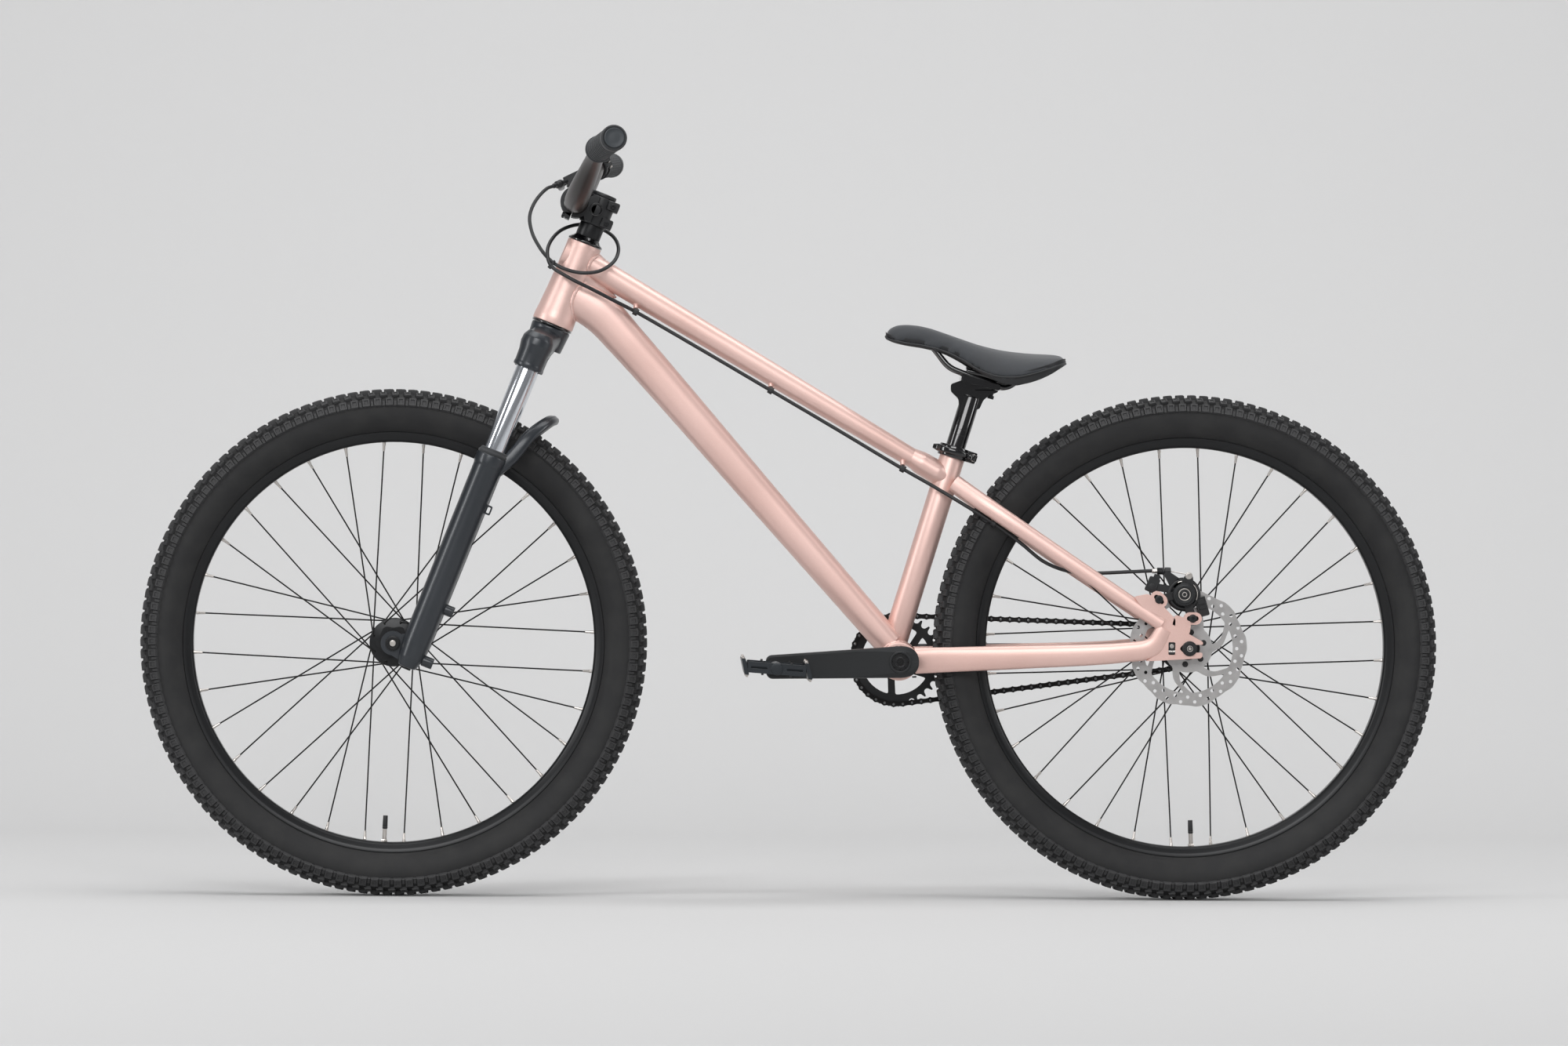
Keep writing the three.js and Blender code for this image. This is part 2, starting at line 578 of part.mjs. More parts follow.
function buildFrame() {
  const headSpace = outOf(headGroup, headTubeBody(clearance));
  const topSpace = topTubeBody(clearance);
  const seatSpace = outOf(seatGroup, seatTubeBody(clearance));
  const shellSpace = outOf(crankGroup, shellBody(clearance));
  addTo(headGroup, 'head_tube', headTubeBody(0), pearlPink);

  const underTube = at(0, cableBoss.reachY, cableBoss.reachZ);
  const guides = guidedPoints.topTube.map((index) => cableGuide(index, underTube));
  addTo(bike, 'top_tube', joined([cutBy(topTubeBody(0), [headSpace, seatSpace]), ...guides]), pearlPink);
  addTo(bike, 'down_tube', cutBy(downTubeBody(0), [headSpace, topSpace, seatSpace, shellSpace]), pearlPink);

  const bore = rodZ(seat.bore, seat.bottomHeight + overrun, seat.topHeight + overrun, 20);
  const seatTube = cutBy(seatTubeBody(0), [bore, into(seatGroup, shellSpace)]);
  addTo(seatGroup, 'seat_tube', seatTube, pearlPink);

  const shellHole = rodY(
    bottomBracket.shellBore, -bottomBracket.shellHalf - overrun, bottomBracket.shellHalf + overrun, 16,
  );
  addTo(crankGroup, 'bottom_bracket_shell', shellBody(0).subtract(shellHole), pearlPink);

  const stayGuide = cableGuide(guidedPoints.seatStay, at(0, 0, cableBoss.reachZ));
  const staySpace = seatStayBody(clearance);
  const plate = outOf(rearGroup, dropoutPlate(true));
  const plateSpace = outOf(rearGroup, dropoutSpace());
  const rightPlate = mirroredY(outOf(rearGroup, dropoutPlate(false)));
  const leftStay = cutBy(seatStayBody(0), [seatSpace, topSpace, plateSpace]);
  addTo(bike, 'seatstay_left', leftStay.add(stayGuide), pearlPink);
  addTo(bike, 'seatstay_right', mirroredY(leftStay), pearlPink);
  const cupSpace = outOf(
    crankGroup, rodY(bbCup.radius + clearance, -bbCup.reach - overrun, bottomBracket.shellHalf, 16),
  );
  const chainCuts = [shellSpace, cupSpace, downTubeBody(clearance), seatSpace, staySpace, plateSpace];
  addTo(bike, 'chainstay_left', cutBy(chainStayBody(0), chainCuts), pearlPink);
  addTo(bike, 'chainstay_right', mirroredY(cutBy(chainStayBody(0), chainCuts)), pearlPink);
  addTo(bike, 'dropout_left', plate, pearlPink);
  addTo(bike, 'dropout_right', rightPlate, pearlPink);
}

// Rear dropouts: a slot open to the rear, a window for the chain adjuster, brake tabs on the left

function dropoutOutline() {
  const d = dropout;
  return [
    [-d.depth, -d.bottom], [d.reach - overrun, -d.prong], [d.reach, -d.slotHalf],
    [-d.slotBack + d.slotHalf, -d.slotHalf], [-d.slotBack, 0],
    [-d.slotBack + d.slotHalf, d.slotHalf], [d.reach, d.slotHalf], [d.reach + overrun, d.tipZ],
    [-d.windowX, d.top], [-d.windowX - d.slotHalf, d.top + d.slotHalf],
    [-d.windowX - d.slotBack, d.top - d.slotHalf], [-d.windowX - d.slotBack, -d.slotHalf],
  ];
}

function dropoutPlate(withTabs) {
  const d = dropout;
  const t = brakeTab;
  const from = -d.innerY - d.thickness;
  const windowHole = [
    [-d.windowX - d.windowHalfX, -d.windowHalfZ], [-d.windowX + d.windowHalfX, -d.windowHalfZ],
    [-d.windowX + d.windowHalfX, d.windowHalfZ], [-d.windowX - d.windowHalfX, d.windowHalfZ],
  ];
  const plate = plateY(dropoutOutline(), [windowHole], from, -d.innerY);
  if (!withTabs) {
    return plate;
  }
  const upper = plateY([
    ...arcPoints(t.upperX, t.upperZ, t.radius, -30, 150, 7),
    [-d.windowX - d.slotBack - d.depth / 4, d.top + t.radius],
    [-d.windowX - d.slotBack, d.top - d.slotHalf], [-d.windowX, d.top - overrun],
  ], [], from, -d.innerY);
  const lower = plateY([
    ...arcPoints(t.lowerX, t.lowerZ, t.radius, -60, 130, 7), [-d.windowX + overrun, d.top],
    [-overrun, d.slotHalf + t.radius],
  ], [], from, -d.innerY);
  const hole = (x, z) => rodY(t.hole, from - overrun, -d.innerY + overrun, 8, x, z);
  const holes = [hole(t.upperX, t.upperZ), hole(t.lowerX, t.lowerZ)];
  return cutBy(joined([plate, upper, lower]), holes);
}

function dropoutSpace() {
  const d = dropout;
  const grown = plateY([
    [-d.depth - clearance, -d.bottom - clearance], [d.reach, -d.bottom - clearance],
    [d.reach + d.slotHalf, d.tipZ],
    [-d.windowX, d.top + d.slotHalf + clearance], [-d.windowX - d.slotHalf, d.top + d.slotHalf + clearance],
    [-d.windowX - d.slotBack - clearance, d.top - d.slotHalf + clearance],
    [-d.windowX - d.slotBack - clearance, -d.slotHalf + clearance],
  ], [], -d.innerY - d.thickness - clearance, -d.innerY + clearance);
  return grown.add(dropoutPlate(true));
}

// Wheels: tyre, rim, hub with its crossed spokes, valve

const wheelSides = 32;
const rimInside = tyreRadius - rim.innerDepth;

function tyreBody() {
  const t = tyre;
  const half = [
    [tyreRadius - t.beadDepth, t.beadHalf], [tyreRadius - t.lipDepth, t.lipHalf],
    [tyreRadius - t.sideDepth, t.sideHalf], [tyreRadius - t.shoulderDepth, t.shoulderHalf],
    [tyreRadius - t.crownDrop, t.crownHalf],
  ];
  const inner = [
    [tyreRadius - t.treadWall, 0], [tyreRadius - t.sideDepth, t.sideHalf - t.wall],
    [tyreRadius - t.beadDepth, t.beadHalf - t.wall],
  ];
  const left = half.map(([radius, y]) => [radius, -y]);
  const innerLeft = inner.slice(1).map(([radius, y]) => [radius, -y]).reverse();
  return turnedY([...half, [tyreRadius, 0], ...left.reverse(), ...innerLeft, ...inner], wheelSides);
}

function rimBody() {
  const r = rim;
  const half = [
    [rimInside, r.innerHalf], [tyreRadius - r.outerDepth, r.outerHalf],
    [tyreRadius - r.outerDepth, r.outerHalf - r.lipWall], [tyreRadius - r.wellDepth, r.wellHalf],
  ];
  return turnedY([...half, ...half.map(([radius, y]) => [radius, -y]).reverse()], wheelSides);
}

function spokePoint(radius, angleDeg, y) {
  const angle = THREE.MathUtils.degToRad(angleDeg);
  return at(radius * Math.cos(angle), y, radius * Math.sin(angle));
}

// The rim's inside is flat between its facet corners, so a spoke ends at the facet it meets

function facetRadius(radius, angleDeg) {
  const half = 180 / wheelSides;
  const past = THREE.MathUtils.euclideanModulo(angleDeg, 2 * half) - half;
  return (radius * Math.cos(THREE.MathUtils.degToRad(half))) / Math.cos(THREE.MathUtils.degToRad(past));
}

function spokeBody(hubAngle, rimAngle, hubY, rimY) {
  const foot = spokePoint(hub.flangeHoles, hubAngle, hubY);
  const tip = spokePoint(facetRadius(rimInside, rimAngle) - 2 * clearance, rimAngle, rimY);
  const along = new THREE.Vector3().subVectors(tip, foot).normalize();
  const neck = tip.clone().addScaledVector(along, -spokes.nippleLength);
  const sizes = [[foot, spokes.radius], [neck, spokes.radius], [tip, spokes.nippleRadius]];
  return loft(sizes.map(([centre, radius]) => ({ centre, along, wide: radius, tall: radius })), 3);
}

const spokeStep = 360 / spokes.perSide;

function lacing(leftY, rightY, turnDeg) {
  const reach = spokes.crosses * spokeStep;
  const all = [];
  for (let k = 0; k < spokes.perSide; k += 1) {
    const way = k % 2 === 0 ? 1 : -1;
    const flare = way * spokes.flare;
    const leftAngle = turnDeg + spokeStep * k;
    const rightAngle = leftAngle + spokeStep / 2;
    all.push(spokeBody(leftAngle, leftAngle + way * reach, leftY + flare, -spokes.rimOffset));
    all.push(spokeBody(rightAngle, rightAngle + way * reach, rightY + flare, spokes.rimOffset));
  }
  return all;
}

function hubBody(profile, leftY, rightY, turnDeg) {
  const shell = turnedY(profile, 12);
  return joined([shell, ...lacing(leftY, rightY, turnDeg)]);
}

function flangeProfile(y) {
  const h = hub;
  return [
    [h.barrel, y - h.flangeHalf - overrun], [h.flangeRadius, y - h.flangeHalf],
    [h.flangeRadius, y + h.flangeHalf], [h.barrel, y + h.flangeHalf + overrun],
  ];
}

// The valve stands a quarter of a spoke step before the lowest spoke

function valveBody(turnDeg) {
  const angle = THREE.MathUtils.degToRad(turnDeg - 90 - spokeStep / 4);
  const foot = rimInside - clearance - overrun / 2;
  const tip = foot - valve.height;
  const line = (radius) => at(radius * Math.cos(angle), 0, radius * Math.sin(angle));
  const stem = rodBetween(line(foot), line(tip), valve.radius, 8);
  return stem.add(rodBetween(line(tip + valve.stem), line(tip), valve.capRadius, 8));
}

function addWheel(group, name, hubSolid, turnDeg) {
  addTo(group, `${name}_tyre`, tyreBody(), tyreRubber);
  addTo(group, `${name}_rim`, rimBody(), blackSatin);
  addTo(group, `${name}_hub_and_spokes`, hubSolid, blackSatin);
  addTo(group, `${name}_valve`, valveBody(turnDeg), blackPlastic);
}

function buildFrontWheel() {
  const f = frontHub;
  const end = f.width / 2 - clearance;
  const profile = [
    [hub.bore, -end], [hub.endRadius, -end], [hub.endRadius, -f.discFace - overrun],
    [f.discRadius, -f.discFace], ...flangeProfile(-f.leftFlange),
    ...flangeProfile(f.rightFlange), [hub.endRadius + overrun, f.discFace], [hub.endRadius, end],
    [hub.bore, end],
  ];
  const turnDeg = spokes.frontTurnDeg;
  addWheel(frontGroup, 'front', hubBody(profile, -f.leftFlange, f.rightFlange, turnDeg), turnDeg);
}

function buildRearWheel() {
  const r = rearHub;
  const end = r.width / 2 - clearance;
  const profile = [
    [hub.bore, -end], [hub.endRadius, -end], [hub.endRadius, -r.discFace], [r.discRadius, -r.discFace],
    [r.discRadius, -r.leftFlange - 2 * overrun],
    ...flangeProfile(-r.leftFlange), ...flangeProfile(r.rightFlange), [r.threadRadius, r.threadStart],
    [r.threadRadius, r.threadEnd],
    [hub.endRadius, r.threadEnd], [hub.endRadius, end], [hub.bore, end],
  ];
  const turnDeg = spokes.rearTurnDeg;
  addWheel(rearGroup, 'rear', hubBody(profile, -r.leftFlange, r.rightFlange, turnDeg), turnDeg);
  addTo(rearGroup, 'brake_rotor', rotorBody(), brushedSteel);
}

// Brake rotor: a wavy rim with slots, carried on swept arms

function rotorBody() {
  const r = rotor;
  const outline = [];
  const rimSteps = r.lobes * 4;
  for (let i = 0; i < rimSteps; i += 1) {
    const radius = r.radius - (i % 4 < 2 ? 0 : r.wave);
    outline.push(onCircle(radius, (360 * i) / rimSteps));
  }
  const holes = [Array.from({ length: 12 }, (unused, i) => onCircle(r.hubBore, 30 * i))];
  for (let arm = 0; arm < r.arms; arm += 1) {
    holes.push(rotorWindow(arm));
  }
  for (let i = 0; i < r.slots; i += 1) {
    holes.push(rotorSlot(i));
  }
  return plateY(outline, holes, -r.y - r.half, -r.y + r.half);
}

function onCircle(radius, angleDeg) {
  const angle = THREE.MathUtils.degToRad(angleDeg);
  return [radius * Math.cos(angle), radius * Math.sin(angle)];
}

function rotorWindow(arm) {
  const r = rotor;
  const start = (360 * arm) / r.arms;
  const pitchDeg = 360 / r.arms;
  const widthAt = (radius) => THREE.MathUtils.radToDeg(r.armHalf / radius);
  const outer = r.bandInner;
  const inner = r.hubRadius;
  const middle = (outer + inner) / 2;
  const steps = [0, 1 / 2, 1];
  const outerArc = steps.map(
    (share) => onCircle(
      outer, start + r.sweepDeg + THREE.MathUtils.lerp(widthAt(outer), pitchDeg - widthAt(outer), share),
    ),
  );
  const innerArc = steps.map(
    (share) => onCircle(
      inner, start + THREE.MathUtils.lerp(widthAt(inner), pitchDeg - widthAt(inner), share),
    ),
  );
  const lead = onCircle(middle, start + r.sweepDeg / 3 + widthAt(middle));
  const trail = onCircle(middle, start + r.sweepDeg / 3 + pitchDeg - widthAt(middle));
  return [...innerArc, trail, ...outerArc.reverse(), lead];
}

function rotorSlot(i) {
  const r = rotor;
  const radius = (r.bandInner + r.radius - r.wave) / 2 + (i % 2 === 0 ? 1 : -1) * r.slotLong * 0.4;
  const half = THREE.MathUtils.radToDeg(r.slotHalf / radius);
  const angle = (360 * (i + 1 / 2)) / r.slots;
  const inner = radius - r.slotLong / 2;
  const outer = radius + r.slotLong / 2;
  return [
    onCircle(inner, angle - half), onCircle(inner, angle + half), onCircle(outer, angle + half),
    onCircle(outer, angle - half),
  ];
}

// Chain drive: toothed rings, and a chain of pins strung round both

function pitchRadius(teeth) {
  return drive.pitch / 2 / Math.sin(Math.PI / teeth);
}

function toothedOutline(teeth) {
  const radius = pitchRadius(teeth);
  const seatRadius = drive.rollerRadius + drive.seatGap;
  const seatShare = 0.56;
  const tipOffset = drive.pitch / 2 - drive.toothHalf;
  const points = [];
  for (let k = 0; k < teeth; k += 1) {
    const centre = (360 * k) / teeth;
    points.push(offsetPoint(radius - seatRadius, -seatRadius * seatShare, centre));
    points.push(offsetPoint(radius - seatRadius, seatRadius * seatShare, centre));
    points.push(offsetPoint(radius + drive.toothTip, tipOffset, centre));
    points.push(offsetPoint(radius + drive.toothTip, -tipOffset, centre + 360 / teeth));
  }
  return points;
}

function offsetPoint(radial, across, angleDeg) {
  const angle = THREE.MathUtils.degToRad(angleDeg);
  return [
    radial * Math.cos(angle) - across * Math.sin(angle),
    radial * Math.sin(angle) + across * Math.cos(angle),
  ];
}

const axleSpan = Math.hypot(wheelbase / 2 - bottomBracket.x, tyreRadius - bottomBracket.z);
const axleRise = Math.atan2(tyreRadius - bottomBracket.z, wheelbase / 2 - bottomBracket.x);

// Places along the chain, in links from the front of the chain ring, in the plane of the two centres

function chainPlaces() {
  const big = pitchRadius(drive.ringTeeth);
  const small = pitchRadius(drive.cogTeeth);
  const lean = Math.asin((big - small) / axleSpan);
  const bigArc = Math.PI / 2 + lean;
  const smallArc = Math.PI / 2 - lean;
  const bigLinks = (bigArc * drive.ringTeeth) / (2 * Math.PI);
  const smallLinks = (smallArc * drive.cogTeeth) / (2 * Math.PI);
  const runLinks = drive.links / 2 - bigLinks - smallLinks;
  const start = [-big * Math.cos(bigArc), big * Math.sin(bigArc)];
  const stop = [axleSpan + small * Math.cos(smallArc), small * Math.sin(smallArc)];
  return (link) => {
    const mirror = link > drive.links / 2;
    const s = mirror ? drive.links - link : link;
    const side = mirror ? -1 : 1;
    if (s < bigLinks) {
      const angle = (s * 2 * Math.PI) / drive.ringTeeth;
      return [-big * Math.cos(angle), side * big * Math.sin(angle)];
    }
    if (s < bigLinks + runLinks) {
      const share = (s - bigLinks) / runLinks;
      return [
        THREE.MathUtils.lerp(start[0], stop[0], share),
        side * THREE.MathUtils.lerp(start[1], stop[1], share),
      ];
    }
    const angle = ((drive.links / 2 - s) * 2 * Math.PI) / drive.cogTeeth;
    return [axleSpan + small * Math.cos(angle), side * small * Math.sin(angle)];
  };
}

function chainBody() {
  const place = chainPlaces();
  const pins = Array.from({ length: drive.links }, (unused, i) => place(i));
  const outer = [];
  const inner = [];
  pins.forEach((pin, i) => {
    const before = pins[(i + drive.links - 1) % drive.links];
    const after = pins[(i + 1) % drive.links];
    const length = Math.hypot(after[0] - before[0], after[1] - before[1]);
    const normal = [-(after[1] - before[1]) / length, (after[0] - before[0]) / length];
    outer.push([pin[0] + normal[0] * chain.plateHalf, pin[1] + normal[1] * chain.plateHalf]);
    inner.push([pin[0] - normal[0] * chain.plateHalf, pin[1] - normal[1] * chain.plateHalf]);
  });
  const plates = [
    [chain.plateInner, chain.plateOuter], [-chain.plateOuter, -chain.plateInner],
  ].map(([from, to]) => plateY(outer, [inner], from, to));
  const hold = chain.plateInner + clearance;
  const rollers = pins.map(([x, z]) => rodY(drive.rollerRadius, -hold, hold, 3, x, z));
  return moved(
    joined([...plates, ...rollers]).rotate([0, -THREE.MathUtils.radToDeg(axleRise), 0]), 0, drive.line, 0,
  );
}

function chainRingBody() {
  const c = chainRing;
  const inner = pitchRadius(drive.ringTeeth) - c.bandDepth;
  const windows = Array.from({ length: c.arms }, (unused, arm) => ringWindow(arm, inner));
  const sides = 16;
  const facet = 360 / sides;
  const bore = Array.from({ length: sides }, (unused, i) => onCircle(crank.spindle + clearance, facet * i));
  const ring = plateY(toothedOutline(drive.ringTeeth), [...windows, bore], -c.half, c.half);
  const turn = -THREE.MathUtils.radToDeg(axleRise) + 180;
  return moved(ring.rotate([0, turn, 0]), 0, drive.line, 0);
}

function ringWindow(arm, outer) {
  const c = chainRing;
  const pitchDeg = 360 / c.arms;
  const start = pitchDeg * arm;
  const halfAt = (radius) => THREE.MathUtils.radToDeg(c.armHalf / radius);
  const arc = (radius, steps) => Array.from({ length: steps + 1 }, (unused, i) => {
    const share = i / steps;
    return onCircle(radius, start + THREE.MathUtils.lerp(halfAt(radius), pitchDeg - halfAt(radius), share));
  });
  return [...arc(c.hubRadius, 2), ...arc(outer, 4).reverse()];
}

function cogBody() {
  const teeth = plateY(toothedOutline(drive.cogTeeth), [], -chainRing.half, chainRing.half);
  const body = rodY(cog.bodyRadius, -cog.bodyHalf, cog.bodyHalf, 20);
  const bore = rodY(cog.bore, -cog.bodyHalf - overrun, cog.bodyHalf + overrun, 20);
  return moved(
    teeth.add(body).subtract(bore).rotate([0, -THREE.MathUtils.radToDeg(axleRise), 0]), 0, drive.line, 0,
  );
}

// Cranks and pedals

function crankArm() {
  const c = crank;
  const stations = [0, 1 / 4, 1 / 2, 3 / 4, 1].map((share) => {
    const ease = THREE.MathUtils.smoothstep(share, 0, 1);
    const inner = THREE.MathUtils.lerp(c.innerBig, c.innerSmall, ease);
    const outer = THREE.MathUtils.lerp(c.outerBig, c.outerSmall, ease);
    return {
      centre: at(c.length * share, (inner + outer) / 2, 0), wide: (outer - inner) / 2,
      tall: THREE.MathUtils.lerp(c.bigRadius, c.smallRadius, share), along: at(1, 0, 0), full: 3.2,
    };
  });
  const big = rodY(c.bigRadius, c.innerBig, c.outerBig, 16);
  const small = rodY(c.smallRadius, c.innerSmall, c.outerSmall, 12, c.length, 0);
  return joined([loft(stations, 10), big, small]);
}

function crankTurn(side) {
  return side > 0 ? -crank.tiltDeg : 180 - crank.tiltDeg;
}

function buildCranks() {
  const c = crank;
  const spindleEnd = c.outerBig - c.capLength - clearance;
  const axleHole = rodY(
    pedal.axleRadius + clearance, c.innerSmall - overrun, c.outerSmall + overrun, 10, c.length, 0,
  );
  const spindle = rodY(c.spindle, -spindleEnd, c.innerBig + overrun, 16);
  const right = crankArm().subtract(axleHole).rotate([0, crankTurn(1), 0]);
  const bossRing = rodY(
    chainRing.bossRadius, drive.line + chainRing.half + clearance, c.innerBig + overrun, 16,
  );
  addTo(crankGroup, 'crank_arm_right', joined([right, bossRing, spindle]), blackSatin);

  const spindleHole = rodY(c.spindle + clearance, c.innerBig - overrun, c.outerBig + overrun, 16);
  const slit = block(c.bigRadius, c.outerBig, 1.6 * clearance, -c.spindle - c.bigRadius / 2, c.outerBig, 0);
  const left = cutBy(crankArm(), [axleHole, spindleHole, slit]);
  addTo(crankGroup, 'crank_arm_left', mirroredY(left).rotate([0, crankTurn(-1), 0]), blackSatin);
  const cap = rodY(c.cap, -c.outerBig, -spindleEnd - clearance, 16).subtract(
    rodY(c.hexFlat, -c.outerBig - overrun, -spindleEnd - 2 * clearance - runningGap, 6),
  );
  addTo(crankGroup, 'crank_cap', cap, blackSatin);
  addTo(crankGroup, 'chain_ring', chainRingBody(), blackSatin);
  addTo(crankGroup, 'chain', chainBody(), blackSatin);

  const shellFace = bottomBracket.shellHalf + clearance;
  const cup = turnedY(
    [
      [c.spindle + clearance, shellFace], [bbCup.radius, shellFace], [bbCup.radius, bbCup.reach],
      [c.spindle + clearance, bbCup.reach],
    ],
    16,
  );
  addTo(crankGroup, 'bearing_cup_right', cup, blackSatin);
  addTo(crankGroup, 'bearing_cup_left', mirroredY(cup), blackSatin);
}

function pedalBody() {
  const p = pedal;
  const near = p.start;
  const far = near + 2 * p.halfWidth;
  const outline = [
    [-p.halfLength, -p.halfThick + p.waist], [-p.halfLength + p.rail, -p.halfThick],
    [p.halfLength - p.rail, -p.halfThick], [p.halfLength, -p.halfThick + p.waist],
    [p.halfLength, p.halfThick - p.waist], [p.halfLength - p.rail, p.halfThick],
    [-p.halfLength + p.rail, p.halfThick], [-p.halfLength, p.halfThick - p.waist],
  ];
  const middle = (near + far) / 2;
  const windowLength = p.halfLength - p.rail - p.bearing;
  const windowX = (p.halfLength - p.rail + p.bearing) / 2;
  const windowWidth = p.halfWidth - 1.5 * p.rail;
  const windowY = p.halfWidth / 2 - p.rail / 4;
  const windows = [-1, 1].flatMap(
    (x) => [-1, 1].map(
      (y) => block(windowLength, windowWidth, 4 * p.halfThick, x * windowX, middle + y * windowY, 0),
    ),
  );
  const bearing = rodY(p.bearing, near, far, 12);
  const bore = rodY(p.axleRadius + p.bearingGap, near - overrun, far - p.rail / 2, 12);
  return cutBy(joined([cutBy(plateY(outline, [], near, far), windows), bearing]), [bore]);
}

function pedalAxle() {
  const p = pedal;
  const flange = rodY(p.axleRadius + p.waist / 2, crank.outerSmall + clearance, p.start - clearance, 8);
  return flange.add(rodY(p.axleRadius, crank.innerSmall, p.start + 2 * p.halfWidth - p.rail, 8));
}

function buildPedals() {
  for (const side of [-1, 1]) {
    const word = side < 0 ? 'left' : 'right';
    const turn = THREE.MathUtils.degToRad(crankTurn(side));
    const x = bottomBracket.x + crank.length * Math.cos(turn);
    const z = bottomBracket.z - crank.length * Math.sin(turn);
    const group = frameAt(x, z, pedal.tiltDeg);
    const place = (body) => (side < 0 ? mirroredY(body) : body);
    addTo(group, `pedal_${word}`, place(pedalBody()), blackSatin);
    addTo(group, `pedal_axle_${word}`, place(pedalAxle()), brushedSteel);
  }
}

// Fork: crown with steerer, stanchions, one casting for both lower legs and their brace

function bothSides(body) {
  return [body, mirroredY(body)];
}

function crownBody() {
  const c = crown;
  const boss = turnedZ(
    [[0, c.top], [c.boss, c.top], [c.boss - c.wall, c.top - c.depth], [0, c.top - c.depth]], 16,
  );
  const places = [
    [-fork.legY, fork.socketBottom / 2 - c.wall, c.armHalf - c.wall],
    [-fork.legY / 2, -c.depth + c.wall, c.waistHalf], [0, -c.depth / 2 - c.wall, c.waistHalf * 0.7],
  ];
  const left = places.map(([y, z, tall]) => ({
    centre: at(-fork.offset * Math.abs(y / fork.legY), y, z), wide: c.armHalf, tall,
    along: at(0, 1, 0), full: 3,
  }));
  const right = places.slice(0, 2).reverse().map(([y, z, tall]) => ({
    centre: at(-fork.offset * Math.abs(y / fork.legY), -y, z), wide: c.armHalf, tall,
    along: at(0, 1, 0), full: 3,
  }));
  const arms = loft([...left, ...right], 12, new THREE.Vector3(1, 0, 0));
  const socket = turnedZ(
    [
      [0, fork.socketBottom], [c.socketRadius, fork.socketBottom],
      [c.socketRadius + c.wall, c.socketTop - c.depth / 2], [c.neck, c.socketTop], [0, c.socketTop],
    ],
    12,
  );
  const sockets = bothSides(moved(socket, -fork.offset, fork.legY, 0));
  const bores = bothSides(
    rodZ(
      fork.stanchion + clearance, fork.socketBottom - overrun, fork.stanchionTop + clearance, 12,
      -fork.offset, fork.legY,
    ),
  );
  const steerer = rodZ(c.steerer, c.top - overrun, c.steererTop, 16);
  return cutBy(joined([boss, arms, ...sockets, steerer]), bores);
}

function lowerLeg() {
  const f = fork;
  const bore = f.stanchion + runningGap;
  return moved(turnedZ([
    [bore, f.lowersTop], [f.collarRadius, f.lowersTop], [f.collarRadius, f.lowersTop - f.collarLength],
    [f.legRadius, f.lowersTop - f.collarLength - overrun],
    [f.legRadius - runningGap, (f.lowersBottom + f.boreFloor) / 2 + f.legRadius],
    [f.legRadius - overrun, f.lowersBottom + f.collarLength], [f.dropThickness, f.lowersBottom],
    [0, f.lowersBottom], [0, f.boreFloor], [bore, f.boreFloor],
  ], 12), -f.offset, f.legY, 0);
}

function forkDropout() {
  const f = fork;
  const inner = frontHub.width / 2;
  const outline = [
    ...arcPoints(-f.axleOffset, -axleDrop, f.dropBoss, 70, 285, 9),
    [-f.offset, f.lowersBottom + overrun], [-f.offset + f.dropThickness, -axleDrop + f.dropBoss],
    [-f.offset - f.stanchion / 2, -axleDrop + 2.6 * f.dropBoss],
  ];
  return plateY(outline, [], inner, inner + f.dropThickness);
}

function archBody() {
  const a = archBar;
  const rootZ = fork.lowersTop - a.rootDrop;
  const middleZ = (fork.lowersTop + a.topZ) / 2;
  const half = [
    at(a.rootX, fork.legY, rootZ), at((a.rootX + a.midX) / 2, fork.legY * 0.95, (rootZ + middleZ) / 2),
    at(a.midX, fork.legY * 0.84, middleZ + a.thickness),
    at(a.topX - a.thickness, fork.legY * 0.52, a.topZ - a.thickness), at(a.topX, 0, a.topZ),
  ];
  const points = [...half.map((point) => at(point.x, -point.y, point.z)), ...half.slice(0, -1).reverse()];
  const halfSizes = [a.rootHalf, a.rootHalf, a.midHalf, a.topHalf, a.topHalf];
  const sizes = [...halfSizes, ...halfSizes.slice(0, -1).reverse()].map(
    (wide) => ({ wide, tall: a.thickness, full: 2.6 }),
  );
  return loft(curveStations(points, sizes, 14), 8, new THREE.Vector3(1, 0, 0));
}

function lowersBody() {
  const f = fork;
  const m = mountTab;
  const legs = bothSides(lowerLeg());
  const drops = bothSides(forkDropout());
  const tabs = [m.upperRise - axleDrop, -axleDrop - m.lowerDrop].map(
    (z) => moved(
      rodX(m.radius, -f.offset, f.legRadius - f.offset + m.length, 10, -f.legY + m.innerY, 0), 0, 0, z,
    ),
  );
  const loopX = f.legRadius - f.offset;
  const loop = block(
    guideLoop.length * 2, guideLoop.wall * 2, guideLoop.height, loopX, -f.legY, guideLoop.z,
  );
  const loopHole = block(
    guideLoop.length - guideLoop.wall * 2, guideLoop.wall * 2 + overrun,
    guideLoop.height - guideLoop.wall * 2, loopX + guideLoop.length / 2, -f.legY, guideLoop.z,
  );
  const bores = bothSides(
    rodZ(f.stanchion + runningGap, f.boreFloor, f.lowersTop + 3 * f.collarLength, 12, -f.offset, f.legY),
  );
  const axleHole = rodY(
    axle.frontRadius + clearance, -f.legY - 2 * f.legRadius, f.legY + 2 * f.legRadius, 10, -f.axleOffset,
    -axleDrop,
  );
  return cutBy(joined([...legs, ...drops, archBody(), ...tabs, loop]), [loopHole, ...bores, axleHole]);
}

function frontAxle() {
  const reach = frontHub.width / 2 + fork.dropThickness + clearance;
  const shaft = rodY(axle.frontRadius, -reach - clearance, reach + clearance, 10);
  const ends = bothSides(rodY(axle.frontHead, reach, reach + axle.frontHeadLength, 12));
  return moved(joined([shaft, ...ends]), -fork.axleOffset, 0, -axleDrop);
}

